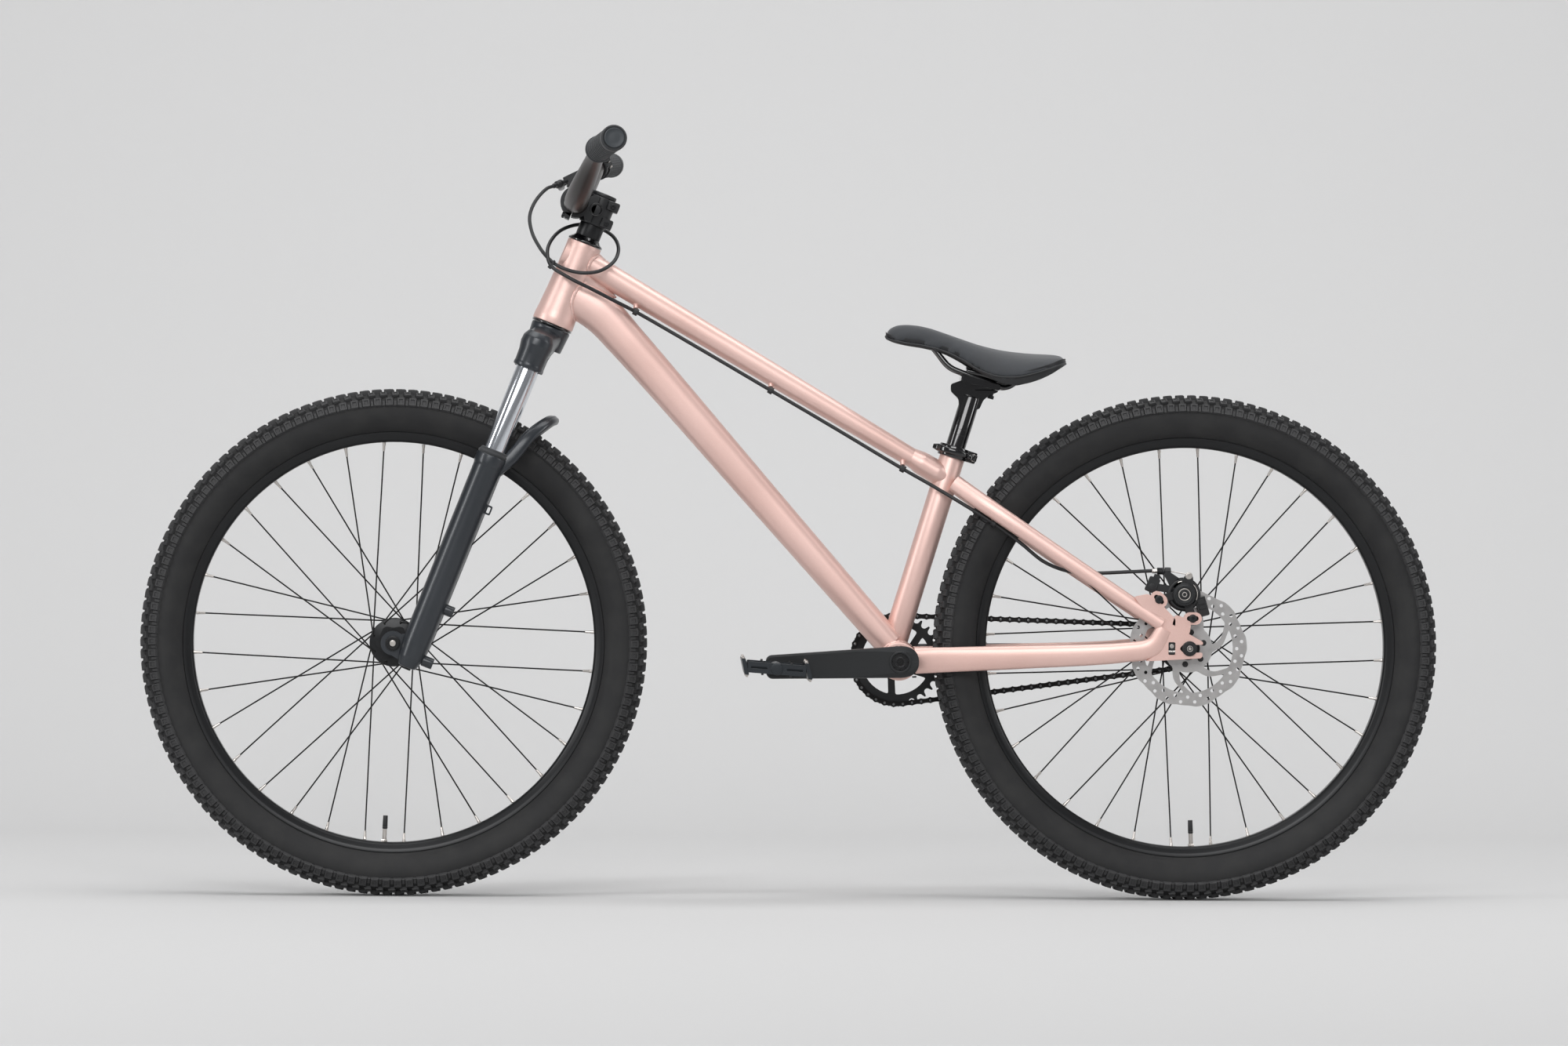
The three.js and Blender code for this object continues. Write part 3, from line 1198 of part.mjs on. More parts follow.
function buildFork() {
  addTo(headGroup, 'fork_crown_and_steerer', crownBody(), satinBlueGrey);
  const tube = rodZ(fork.stanchion, fork.stanchionBottom, fork.stanchionTop, 12, -fork.offset, fork.legY);
  addTo(headGroup, 'stanchion_right', tube, chromePlate);
  addTo(headGroup, 'stanchion_left', mirroredY(tube), chromePlate);
  addTo(headGroup, 'fork_lowers', lowersBody(), satinBlueGrey);
  addTo(headGroup, 'front_axle', frontAxle(), blackSatin);
  const h = headset;
  const lowerRing = turnedZ([
    [crown.steerer + runningGap, crown.top + clearance], [h.ringRadius, crown.top + clearance],
    [h.ringRadius, -clearance], [crown.steerer + runningGap, -clearance],
  ], 16);
  addTo(headGroup, 'headset_lower_ring', lowerRing, blackSatin);
  const seatZ = head.height + clearance;
  const inner = crown.steerer + clearance;
  const cover = turnedZ([
    [inner, seatZ], [h.coverRadius, seatZ], [h.coverRadius, seatZ + h.coverHeight / 4],
    [h.spacerRadius, seatZ + h.coverHeight], [inner, seatZ + h.coverHeight],
  ], 16);
  addTo(headGroup, 'headset_cover', cover, blackSatin);
  const spacerFoot = seatZ + h.coverHeight + clearance;
  const spacer = turnedZ(
    [
      [inner, spacerFoot], [h.spacerRadius, spacerFoot], [h.spacerRadius, h.spacerTop],
      [inner, h.spacerTop],
    ],
    16,
  );
  addTo(headGroup, 'headset_spacer', spacer, blackSatin);
}

// Stem, handlebar, grips and brake lever

function stemBody() {
  const s = stem;
  const low = headset.spacerTop + clearance;
  const high = crown.steererTop + clearance;
  const clamp = rodZ(crown.steerer + s.steererWall, low, high, 16);
  const barClamp = rodY(s.barRadius + s.clampWall, -s.clampHalf, s.clampHalf, 16, -s.reach, s.height);
  const bridge = block(s.reach, 2 * s.bodyHalf, high - low - 2 * s.slit, -s.reach / 2, 0, s.height);
  const lugX = crown.steerer + s.steererWall;
  const lugZ = (high - low) / 2 - s.boltRadius * 2;
  const lugs = [-1, 1].map(
    (way) => rodY(2 * s.boltRadius, -s.boltY, s.boltY, 8, lugX, s.height + way * lugZ),
  );
  const cuts = [
    rodZ(crown.steerer + clearance, low - overrun, high + overrun, 16),
    rodY(
      s.barRadius + 2 * clearance, -s.clampHalf - overrun, s.clampHalf + overrun, 16, -s.reach, s.height,
    ),
    rodY(s.windowHalf, -2 * s.bodyHalf, 2 * s.bodyHalf, 12, 0, s.height),
    block(s.pinchReach, s.slit, high, s.pinchReach / 2 + crown.steerer / 2, 0, s.height),
    block(s.reach, 4 * s.clampHalf, high, -s.reach - s.reach / 2 + s.slit / 2, 0, s.height),
  ];
  return cutBy(joined([clamp, barClamp, bridge, ...lugs]), cuts);
}

function faceplateBody() {
  const s = stem;
  const shell = rodY(s.barRadius + s.clampWall, -s.clampHalf, s.clampHalf, 16, -s.reach, s.height);
  const lugs = [-1, 1].map(
    (way) => block(
      s.clampWall + s.boltRadius, 2 * s.clampHalf, 2 * s.boltRadius, -s.reach - s.clampWall, 0,
      s.height + way * (s.barRadius + s.boltRadius),
    ),
  );
  const window = block(s.reach, s.clampHalf, s.barRadius, -s.reach - s.barRadius, 0, s.height);
  const bore = rodY(
    s.barRadius + 2 * clearance, -s.clampHalf - overrun, s.clampHalf + overrun, 16, -s.reach, s.height,
  );
  const rear = block(s.reach * 2, 4 * s.clampHalf, crown.steererTop, -s.slit / 2, 0, s.height);
  return cutBy(joined([shell, ...lugs]), [bore, rear, window]);
}

function barCentre(y) {
  const b = bar;
  const away = Math.abs(y);
  const rise = THREE.MathUtils.smoothstep(away, b.bend - 2 * stem.clampHalf / 3, b.gripStart + overrun);
  if (away <= b.gripStart) {
    return at(
      THREE.MathUtils.lerp(-stem.reach, b.gripX, rise), y, THREE.MathUtils.lerp(stem.height, b.gripZ, rise),
    );
  }
  const share = (away - b.gripStart) / (b.half - b.gripStart);
  return at(THREE.MathUtils.lerp(b.gripX, b.endX, share), y, THREE.MathUtils.lerp(b.gripZ, b.endZ, share));
}

function handlebarBody() {
  const placeShares = [
    0, 0.1, 0.17, 0.26, 0.36, 0.46, 0.55, 0.61, bar.gripStart / bar.half - 0.01,
    bar.gripStart / bar.half + 0.01, 1,
  ];
  const places = placeShares.slice(1).reverse().map((share) => -share).concat(placeShares);
  const stations = places.map((share) => {
    const y = share * bar.half;
    const thin = THREE.MathUtils.smoothstep(Math.abs(y), stem.clampHalf + overrun, bar.riseStart);
    const radius = THREE.MathUtils.lerp(stem.barRadius, bar.radius, thin);
    return { centre: barCentre(y), wide: radius, tall: radius };
  });
  return loft(stations, 10, new THREE.Vector3(1, 0, 0));
}

function gripBody() {
  const g = grip;
  const from = barCentre(bar.gripStart + overrun);
  const to = barCentre(bar.half);
  const reach = from.distanceTo(to);
  const pitch = (reach - 2 * g.flangeLength) / g.ribs;
  const outer = [[g.flange, 0], [g.flange, g.flangeLength]];
  for (let i = 0; i < g.ribs; i += 1) {
    const start = g.flangeLength + pitch * i;
    outer.push([g.radius, start + pitch / 4], [g.rib, start + (3 * pitch) / 4]);
  }
  const profile = [
    [g.bore, 0], ...outer, [g.flange, reach + clearance], [g.radius, reach + g.endWall + clearance],
    [0, reach + g.endWall + clearance], [0, reach + clearance], [g.bore, reach + clearance],
  ];
  return turnedAlong(profile, 10, from, to);
}

// The brake lever's own frame: out from the bar, along the bar, and across

function besideBar(body) {
  const foot = barCentre(lever.pivotY);
  return body.rotate([0, -lever.aimDeg, 0]).translate([foot.x, foot.y, foot.z]);
}

function seenFromBar(point) {
  return point.sub(barCentre(lever.pivotY)).applyAxisAngle(
    at(0, 1, 0), THREE.MathUtils.degToRad(lever.aimDeg),
  );
}

function perchBody() {
  const l = lever;
  const ring = rodBetween(barCentre(l.perchStart), barCentre(l.perchEnd), l.ringRadius, 12);
  const start = barCentre(l.perchStart).lerp(barCentre(l.perchEnd), -1);
  const finish = barCentre(l.perchEnd).lerp(barCentre(l.perchStart), -1);
  const bore = rodBetween(start, finish, bar.radius + 2 * clearance, 12);
  const middle = (bar.radius + l.bodyReach) / 2;
  const body = loft([
    { centre: at(bar.radius + clearance, 0, 0), wide: l.bodyHalf - overrun, tall: l.bodyTall, full: 3 },
    { centre: at(middle, -clearance, 0), wide: l.bodyHalf, tall: l.bodyTall, full: 3 },
    {
      centre: at(l.bodyReach, -clearance, 0), wide: l.bodyHalf - overrun, tall: l.bodyTall - overrun / 2,
      full: 3,
    },
  ], 12);
  const slotFloor = -l.eye - 2 * runningGap;
  const slot = block(
    l.bladeLength, l.bladeLength, 2 * l.slotHalf, l.pivotReach + slotFloor + l.bladeLength / 2,
    slotFloor + l.bladeLength / 2, 0,
  );
  const pin = rodZ(l.pin, -l.bodyTall + clearance, l.bodyTall - clearance, 8, l.pivotReach, 0);
  const housingEnd = seenFromBar(pointInto(headGroup, cableRoute.getPoint(0)));
  const housingAim = seenFromBar(
    pointInto(headGroup, cableRoute.getPoint(0).addScaledVector(cableRoute.getTangent(0), -1)),
  ).sub(housingEnd);
  const barrelLength = (slotFloor - housingEnd.y) / housingAim.y;
  const barrel = rodBetween(
    housingEnd.clone().addScaledVector(housingAim, runningGap),
    housingEnd.clone().addScaledVector(housingAim, barrelLength), l.barrel, 8,
  );
  return cutBy(joined([ring, besideBar(body.add(barrel).subtract(slot).add(pin))]), [bore]);
}

function leverBody() {
  const l = lever;
  const eye = rodZ(l.eye, -l.bladeHalf, l.bladeHalf, 10, l.pivotReach, 0);
  // share of the way out from the pivot, share of the length, fullness of the blade
  const bladeShares = [
    [0, 0, 1.3], [0.5, 0.02, 1.6], [0.78, 0.09, 1.5], [0.94, 0.22, 1.2], [1, 0.46, 1.2], [0.97, 0.74, 1.4],
    [0.9, 1, 1.2],
  ];
  const stations = bladeShares.map(([out, along, fuller]) => ({
    centre: at(THREE.MathUtils.lerp(l.pivotReach, l.bladeReach, out), l.bladeLength * along, 0),
    wide: l.bladeHalf, tall: l.bladeHalf * fuller, full: 2.6,
  }));
  const blade = loft(stations, 8, at(0, 0, 1));
  const bore = rodZ(l.pin + clearance, -l.bodyTall, l.bodyTall, 8, l.pivotReach, 0);
  return besideBar(eye.add(blade).subtract(bore));
}

function buildCockpit() {
  addTo(headGroup, 'stem', stemBody(), blackSatin);
  addTo(headGroup, 'stem_faceplate', faceplateBody(), blackSatin);
  const capFoot = crown.steererTop + 2 * clearance;
  addTo(headGroup, 'stem_cap', rodZ(stem.capRadius, capFoot, capFoot + stem.capHeight, 16), blackSatin);
  addTo(headGroup, 'handlebar', handlebarBody(), blackBrown);
  addTo(headGroup, 'grip_right', gripBody(), blackRubber);
  addTo(headGroup, 'grip_left', mirroredY(gripBody()), blackRubber);
  addTo(headGroup, 'brake_perch', perchBody(), blackSatin);
  addTo(headGroup, 'brake_lever', leverBody(), blackSatin);
  addTo(bike, 'brake_cable', cable, blackPlastic);
}

// Saddle, rails, post, collar and its quick lever

function railsBody(radius) {
  const r = rails;
  const half = [
    at(r.tailX, r.tailY, r.tailZ), at(r.backX, r.y, r.backZ), at(r.clampX, r.y, r.clampZ),
    at(r.frontX, r.y - r.radius, r.frontZ), at(r.noseX, r.noseY, r.noseZ),
  ];
  const route = new THREE.CatmullRomCurve3(
    [...half, ...half.map((point) => at(point.x, -point.y, point.z)).reverse()], false, 'centripetal',
  );
  const ring = Array.from({ length: 6 }, (unused, k) => new THREE.Vector2(...onCircle(radius, 60 * k)));
  return solid(
    new THREE.ExtrudeGeometry(
      new THREE.Shape(ring), { steps: 24, bevelEnabled: false, extrudePath: route },
    ),
  );
}

function saddleBody() {
  const s = saddle;
  // length, half width, fall of the top line and drop of the edge, as shares of the saddle's own sizes
  const stationShares = [
    [0, 0.13, 0.24, 0.2], [0.03, 0.2, 0.08, 0.34], [0.09, 0.26, 0, 0.45], [0.22, 0.3, 0.18, 0.47],
    [0.36, 0.4, 0.44, 0.56], [0.48, 0.58, 0.62, 0.72],
    [0.6, 0.82, 0.72, 0.88], [0.72, 0.98, 0.79, 0.98], [0.82, 1, 0.86, 0.93], [0.91, 0.92, 0.93, 0.66],
    [0.97, 0.68, 1.02, 0.36], [1, 0.42, 1.14, 0.16],
  ];
  const sides = 7;
  const rings = stationShares.map(([along, wideShare, fallShare, dropShare]) => {
    const x = s.noseX + s.length * along;
    const top = s.topZ - s.fall * fallShare;
    const drop = s.drop * dropShare;
    const thick = Math.min(s.thickness, drop * 0.8);
    const ring = [];
    for (let i = 0; i <= sides; i += 1) {
      const angle = Math.PI * (i / sides - 1 / 2);
      const low = (drop - thick * s.edgeShare) * (1 - Math.cos(angle));
      ring.push([x, s.halfWidth * wideShare * Math.sin(angle), top - low]);
    }
    for (let i = sides; i >= 0; i -= 1) {
      const angle = Math.PI * (i / sides - 1 / 2);
      const low = (drop - thick) * (1 - Math.cos(angle));
      ring.push(
        [x, (s.halfWidth * wideShare - thick * s.edgeShare / 2) * Math.sin(angle), top - thick - low],
      );
    }
    return ring;
  });
  return skin(rings);
}

// A closed skin over rings that have the same number of points

function skin(rings) {
  const count = rings[0].length;
  const index = [];
  for (let i = 0; i + 1 < rings.length; i += 1) {
    for (let k = 0; k < count; k += 1) {
      const a = i * count + k;
      const b = i * count + ((k + 1) % count);
      index.push(a, a + count, b + count, a, b + count, b);
    }
  }
  const last = (rings.length - 1) * count;
  const half = count / 2;
  for (let k = 0; k + 1 < half; k += 1) {
    const a = k;
    const b = k + 1;
    const c = count - 2 - k;
    const d = count - 1 - k;
    index.push(a, b, c, a, c, d);
    index.push(last + a, last + c, last + b, last + a, last + d, last + c);
  }
  const geometry = new THREE.BufferGeometry();
  geometry.setAttribute('position', new THREE.Float32BufferAttribute(rings.flat(2), 3));
  geometry.setIndex(index);
  return solid(geometry);
}

function buildSeat() {
  const h = clampHead;
  const tube = rodZ(post.radius, post.bottom, post.top, 16);
  const clampSpot = pointInto(seatGroup, pointOf(saddleGroup, h.x, 0, h.z));
  const neck = rodBetween(at(0, 0, post.top - post.neck), clampSpot, post.radius - clearance, 16);
  const headBlock = block(2 * h.half, 2 * h.width, h.height);
  const cut = block(4 * h.half, 2 * (rails.y - 2 * rails.radius), h.height, 0, 0, (h.height * 3) / 4);
  const screws = [-1, 1].map((way) => rodZ(h.screw, -h.screwLength, 0, 8, way * h.screwX, 0));
  const clamp = joined([
    headBlock, ...screws,
  ]).subtract(cut).rotate([0, h.leanDeg, 0]).translate([h.x, 0, h.z]);
  const upper = outOf(saddleGroup, clamp.subtract(railsBody(rails.radius + clearance)));
  addTo(seatGroup, 'seatpost', joined([tube, neck, into(seatGroup, upper)]), blackGloss);
  addTo(saddleGroup, 'saddle_rails', railsBody(rails.radius), blackSatin);
  addTo(saddleGroup, 'saddle', saddleBody().subtract(railsBody(rails.radius + clearance)), saddleCover);

  const c = collar;
  const ring = rodZ(c.radius, c.bottom, c.top, 20);
  const ears = block(
    c.earHalfX * 2, c.earHalfY * 2, c.top - c.bottom, c.earX - c.earHalfX, 0, (c.top + c.bottom) / 2,
  );
  const hole = rodZ(seat.tubeRadius + clearance, c.bottom - overrun, c.top + overrun, 20);
  const slit = block(c.earX, c.slit, 2 * c.top, c.earX / 2 + seat.tubeRadius / 2, 0, c.top);
  const bolt = rodY(c.bolt, -c.earHalfY, c.boltReach, 8, c.earX - c.earHalfX, (c.top + c.bottom) / 2);
  addTo(seatGroup, 'seat_collar', cutBy(ring.add(ears), [hole, slit]).add(bolt), blackSatin);
  addTo(seatGroup, 'quick_lever', quickLeverBody(), blackSatin);
}

function quickLeverBody() {
  const q = quickLever;
  const z = (collar.top + collar.bottom) / 2;
  const low = z - q.height / 2;
  const high = z + q.height / 2;
  const pivot = rodZ(q.pinHalf, low, high, 10, q.pivotX, q.pivotY);
  const angles = [320, 300, 280, 260, 240, 220, 205].map((angleDeg) => onCircle(q.wrap, angleDeg));
  const points = [[q.pivotX, q.pivotY], ...angles, [q.tipX, q.tipY + q.pinHalf]];
  const stations = points.map(
    ([x, y]) => ({ centre: at(x, y, z), wide: q.height / 2, tall: q.bladeHalf, full: 3 }),
  );
  return pivot.add(loft(stations, 8, new THREE.Vector3(0, 0, 1)));
}

// Rear axle, chain adjusters, calliper and its arm

function buildRearFittings() {
  const reach = dropout.innerY + dropout.thickness + clearance;
  const shaftReach = reach + axle.washerLength + axle.rearHeadLength / 2;
  const shaft = rodY(axle.rearRadius, -shaftReach, shaftReach, 10);
  const washers = bothSides(rodY(axle.washer, reach, reach + axle.washerLength, 12));
  const nuts = bothSides(
    rodY(axle.rearHead, reach + axle.washerLength / 2, reach + axle.washerLength + axle.rearHeadLength, 6),
  );
  addTo(rearGroup, 'rear_axle', joined([shaft, ...washers, ...nuts]), blackSatin);
  const slide = rodX(
    adjuster.radius, -dropout.windowX - adjuster.depth / 2, -dropout.windowX + adjuster.depth / 2, 8,
    dropout.innerY + dropout.thickness / 2, 0,
  );
  const screw = block(
    adjuster.depth, dropout.thickness, 2 * dropout.windowHalfZ - 2 * clearance, -dropout.windowX,
    dropout.innerY + dropout.thickness / 2, 0,
  );
  const piece = slide.add(screw);
  addTo(rearGroup, 'chain_adjuster_right', piece, blackSatin);
  addTo(rearGroup, 'chain_adjuster_left', mirroredY(piece), blackSatin);
  addTo(rearGroup, 'freewheel', cogBody(), blackSatin);
  addTo(rearGroup, 'brake_calliper', caliperBody(), blackSatin);
  addTo(rearGroup, 'brake_arm', pullArmBody(), blackSatin);
}

function caliperBody() {
  const c = caliper;
  const t = brakeTab;
  const slotOuter = -rotor.y - c.slotHalf;
  const slotInner = -rotor.y + c.slotHalf;
  const outer = rodY(c.bodyRadius, -c.outerFace, slotOuter, 16, c.x, c.z);
  const inner = rodY(c.innerRadius, slotInner, -c.innerFace, 16, c.x, c.z);
  const span = c.bridgeHalf;
  const lowEdge = rotor.radius + c.slotHalf;
  const bridge = plateY(
    [
      [c.x - span, lowEdge], [c.x + span, lowEdge], [c.x + span / 2, c.z + c.bridgeTop],
      [c.x - span / 2, c.z + c.bridgeTop],
    ],
    [], -c.outerFace, -c.innerFace,
  );
  const rotorSpace = rodY(rotor.radius + c.slotHalf, slotOuter, slotInner, 32);
  const knob = rodY(c.knobRadius, -c.knobFace, -pull.outer - clearance, 16, c.x, c.z);
  const neck = rodY(c.neck, -pull.outer - 2 * clearance, -c.outerFace + clearance, 12, c.x, c.z);
  const foot = -dropout.innerY + clearance;
  const mount = (x, z) => rodY(t.radius - runningGap, foot, -c.armInner, 12, x, z);
  const upperBar = plateY(
    [
      [t.upperX, t.upperZ + c.armHalf], [t.upperX, t.upperZ - c.armHalf], [c.x, c.z - c.armHalf],
      [c.x, c.z + c.armHalf],
    ],
    [], foot, -c.armInner,
  );
  const lowerBar = plateY(
    [
      [t.lowerX - c.armHalf, t.lowerZ], [t.lowerX + c.armHalf, t.lowerZ], [c.x + c.bodyRadius / 2, c.z],
      [c.x, c.z],
    ],
    [], foot, -c.armInner,
  );
  const bolts = [[t.upperX, t.upperZ], [t.lowerX, t.lowerZ]].flatMap(([x, z]) => [
    rodY(t.hole - clearance, -dropout.innerY - dropout.thickness - 2 * clearance, -c.armInner, 8, x, z),
    rodY(
      t.hole + overrun / 2, -dropout.innerY - dropout.thickness - t.hole - clearance,
      -dropout.innerY - dropout.thickness - clearance, 8, x, z,
    ),
  ]);
  const stop = rodX(c.stopRadius, c.stopX - c.stopHalf, c.stopX + c.stopHalf, 10, -c.armInner, c.stopZ);
  const stopArm = plateY([
    [c.stopX + c.stopHalf - c.armHalf, c.stopZ + overrun], [c.stopX + c.armHalf / 2, c.stopZ - overrun],
    [c.x - c.bodyRadius / 2, c.z], [c.x, c.z + c.bridgeTop],
  ], [], -c.outerFace, -c.armInner + overrun);
  const body = cutBy(joined([outer, inner, bridge]), [rotorSpace]);
  return cutBy(
    joined(
      [
        body, knob, neck, mount(t.upperX, t.upperZ), mount(t.lowerX, t.lowerZ), upperBar, lowerBar,
        ...bolts, stop, stopArm,
      ],
    ),
    [into(rearGroup, cableSpace)],
  );
}

function pullArmBody() {
  const c = caliper;
  const p = pull;
  const ring = rodY(p.ring, -p.outer, -p.inner, 16, c.x, c.z);
  const arm = plateY(
    [
      [c.x - p.width, c.z], [c.x + p.ring - 2 * runningGap, c.z], [c.x + p.clampX + p.width, c.z + p.clampZ],
      [c.x + p.clampX - p.width, c.z + p.clampZ],
    ],
    [], -p.outer, -p.inner,
  );
  const clampEnd = rodY(p.clampRadius, -p.outer, -p.inner, 10, c.x + p.clampX, c.z + p.clampZ);
  return joined([ring, arm, clampEnd]).subtract(
    rodY(c.neck + runningGap, -p.outer - overrun, -p.inner + overrun, 12, c.x, c.z),
  );
}

buildFrame();
buildFork();
buildFrontWheel();
buildRearWheel();
buildCranks();
buildPedals();
buildCockpit();
buildSeat();
buildRearFittings();

export default bike;
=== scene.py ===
import bpy
import json
import math
import numpy as np
from mathutils import Matrix, Vector
from mathutils.geometry import tessellate_polygon

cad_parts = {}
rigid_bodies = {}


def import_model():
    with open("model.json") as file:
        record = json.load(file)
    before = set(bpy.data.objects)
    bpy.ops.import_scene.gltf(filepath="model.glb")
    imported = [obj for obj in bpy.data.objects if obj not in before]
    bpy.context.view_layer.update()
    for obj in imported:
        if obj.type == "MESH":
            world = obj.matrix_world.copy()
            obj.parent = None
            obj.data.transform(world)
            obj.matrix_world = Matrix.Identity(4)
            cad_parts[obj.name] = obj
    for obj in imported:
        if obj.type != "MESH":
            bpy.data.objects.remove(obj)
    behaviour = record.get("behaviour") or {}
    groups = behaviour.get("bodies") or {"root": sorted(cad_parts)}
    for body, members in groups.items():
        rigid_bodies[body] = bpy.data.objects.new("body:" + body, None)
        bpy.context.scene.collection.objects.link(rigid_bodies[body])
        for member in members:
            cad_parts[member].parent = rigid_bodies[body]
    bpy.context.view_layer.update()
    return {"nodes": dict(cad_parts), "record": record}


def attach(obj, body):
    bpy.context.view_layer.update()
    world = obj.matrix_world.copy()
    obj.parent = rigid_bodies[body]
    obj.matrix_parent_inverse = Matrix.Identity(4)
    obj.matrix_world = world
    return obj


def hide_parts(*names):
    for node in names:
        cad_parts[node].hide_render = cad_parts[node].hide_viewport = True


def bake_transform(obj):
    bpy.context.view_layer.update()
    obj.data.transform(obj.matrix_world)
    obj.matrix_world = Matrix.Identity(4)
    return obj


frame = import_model()
print("CAD frame loaded")

# Dirt jump bike. Every length below is in millimetres in the CAD frame, and meshes are scaled to metres.
millimetre = 0.001

# The radius that stands for a point on the axis in a turned profile
pole = 0.01

# The bike's own places, as the CAD has them
bike = {"wheelbase": 1078.0, "wheelRadius": 344.5, "bottomBracket": (147.2, 0.0, 323.5)}
headLine = {"x": -326.886, "z": 778.513, "lean": 21.57}
seatLine = {"x": 134.6, "z": 323.5, "lean": 16.96}
rearAxle, frontAxle = (np.array([way * bike["wheelbase"] / 2, 0, bike["wheelRadius"]]) for way in (1, -1))
bothWays = (("left", -1), ("right", 1))


# Shapes as arrays: a part is (points, quads, triangles)

def at(x, y, z):
    # a point or a step from its three values
    return np.array([x, y, z], float)


def unit(vectors):
    # each vector over its own length
    return vectors / np.linalg.norm(vectors, axis=-1, keepdims=True)


def smooth(value, low=0.0, high=1.0):
    # the share t of the way from low to high, eased at both ends: t t (3 - 2 t)
    share = np.clip((value - low) / (high - low), 0, 1)
    return share * share * (3 - 2 * share)


def outward(part):
    # the sum of a . (b x c) over the triangles is six times the volume; where it is negative the faces are turned
    points, quads, tris = part
    every = np.vstack([quads[:, [0, 1, 2]], quads[:, [0, 2, 3]], tris])
    a, b, c = (points[every[:, i]] - points.mean(0) for i in range(3))
    if np.einsum("ij,ij", a, np.cross(b, c)) < 0:
        return points, quads[:, ::-1], tris[:, ::-1]
    return part


def gridPart(points, loopRows=False, capped=True):
    # a skin over rings of points: one quad to a cell, and a fan from each open end to its middle
    rows, sides = points.shape[:2]
    here = np.arange(rows * sides).reshape(rows, sides)
    beside = np.roll(here, -1, 1)
    cells = np.stack([here, beside, np.roll(beside, -1, 0), np.roll(here, -1, 0)], -1)
    quads = cells[: rows if loopRows else rows - 1].reshape(-1, 4)
    flat = points.reshape(-1, 3)
    tris = np.zeros((0, 3), int)
    if capped and not loopRows:
        middle = np.full(sides, rows * sides)
        flat = np.vstack([flat, points[[0, -1]].mean(1)])
        tris = np.vstack(
            [np.stack([beside[0], here[0], middle], -1), np.stack([here[-1], beside[-1], middle + 1], -1)]
        )
    return outward((flat, quads, tris))


def joined(*parts):
    # parts stacked into one, each one's face numbers moved on by the points before it
    steps = np.cumsum([0] + [len(p[0]) for p in parts[:-1]])
    points = np.vstack([p[0] for p in parts])
    quads = np.vstack([p[1] + s for p, s in zip(parts, steps)])
    tris = np.vstack([p[2] + s for p, s in zip(parts, steps)])
    return points, quads, tris


def copies(part, turns, moves):
    # the same part many times over: point p of copy n is turn[n] p + move[n]
    points, quads, tris = part
    steps = (np.arange(len(moves)) * len(points))[:, None, None]
    every = np.einsum("nij,pj->npi", turns, points) + np.asarray(moves)[:, None]
    return every.reshape(-1, 3), (quads + steps).reshape(-1, 4), (tris + steps).reshape(-1, 3)


def repeated(part, moves):
    # copies that aren't turned, only moved
    return copies(part, np.broadcast_to(np.eye(3), (len(moves), 3, 3)), moves)


def moved(part, x=0.0, y=0.0, z=0.0):
    # every point p becomes p + (x, y, z)
    return part[0] + at(x, y, z), part[1], part[2]


def turnAbout(axis, degrees):
    # the matrix of a turn about one axis by an angle in degrees
    return np.array(Matrix.Rotation(math.radians(degrees), 3, axis))


def turned(part, axis, degrees):
    # every point p becomes the turn times p
    return part[0] @ turnAbout(axis, degrees).T, part[1], part[2]


def mirrored(part):
    # y becomes -y, and the faces are turned back out
    return part[0] * at(1, -1, 1), part[1][:, ::-1], part[2][:, ::-1]


def bothSides(part):
    # the part and its mirror image across the bike's middle plane
    return joined(part, mirrored(part))


def inLine(part, line):
    # from a leaning line's own frame to the bike's: turned about Y by the lean, then moved to its foot
    return moved(turned(part, "Y", line["lean"]), line["x"], 0, line["z"])


def onHead(part):
    # from the steering's own frame, z up its axis, to the bike's
    return inLine(part, headLine)


def onSeat(part):
    # from the seat tube's own frame, z up its axis, to the bike's
    return inLine(part, seatLine)


def ringAngles(sides, phase=0.0):
    # equal steps round a full turn, in radians, started at a phase in degrees
    return np.radians(np.arange(sides) * 360 / sides + phase)


def lathePart(profile, sides, axis="Y", closed=True):
    # radius r and station s carried round the axis: r cos t and r sin t across it, s along it
    profile = np.asarray(profile, float)
    angle = ringAngles(sides)
    radius, station = profile[:, :1], profile[:, 1:] + 0 * angle
    across, up = radius * np.cos(angle), radius * np.sin(angle)
    order = {"Y": (across, station, up), "Z": (across, up, station), "X": (station, across, up)}[axis]
    return gridPart(np.stack(order, -1), loopRows=closed)


def rounded(corners, size, steps=3, closed=True):
    # each corner is a curve (1-t)^2 a + 2t(1-t) corner + t^2 b between points a and b on its two edges
    corners = np.asarray(corners, float)
    toBefore, toAfter = np.roll(corners, 1, 0) - corners, np.roll(corners, -1, 0) - corners
    before, after = (np.linalg.norm(v, axis=1, keepdims=True) + 1e-9 for v in (toBefore, toAfter))
    reach = np.minimum(
        np.broadcast_to(np.asarray(size, float).reshape(-1, 1), before.shape), 0.48 * np.minimum(before, after),
    )
    a, b = corners + toBefore / before * reach, corners + toAfter / after * reach
    t = np.linspace(0, 1, steps + 1)[None, :, None]
    curve = (1 - t) ** 2 * a[:, None] + 2 * t * (1 - t) * corners[:, None] + t * t * b[:, None]
    if closed:
        return curve.reshape(-1, corners.shape[1])
    return np.vstack([corners[:1], curve[1:-1].reshape(-1, corners.shape[1]), corners[-1:]])


def turnedPart(corners, soft, steps, sides, axis="Y", closed=True):
    # a turned shape whose profile has its corners rounded first
    return lathePart(rounded(corners, soft, steps, closed), sides, axis, closed)


def discPart(radius, low, high, sides, edge):
    # a short round bar along y whose two rims are rounded by edge
    corners = [(pole, low), (radius, low), (radius, high), (pole, high)]
    return turnedPart(corners, edge, 3, sides, closed=False)


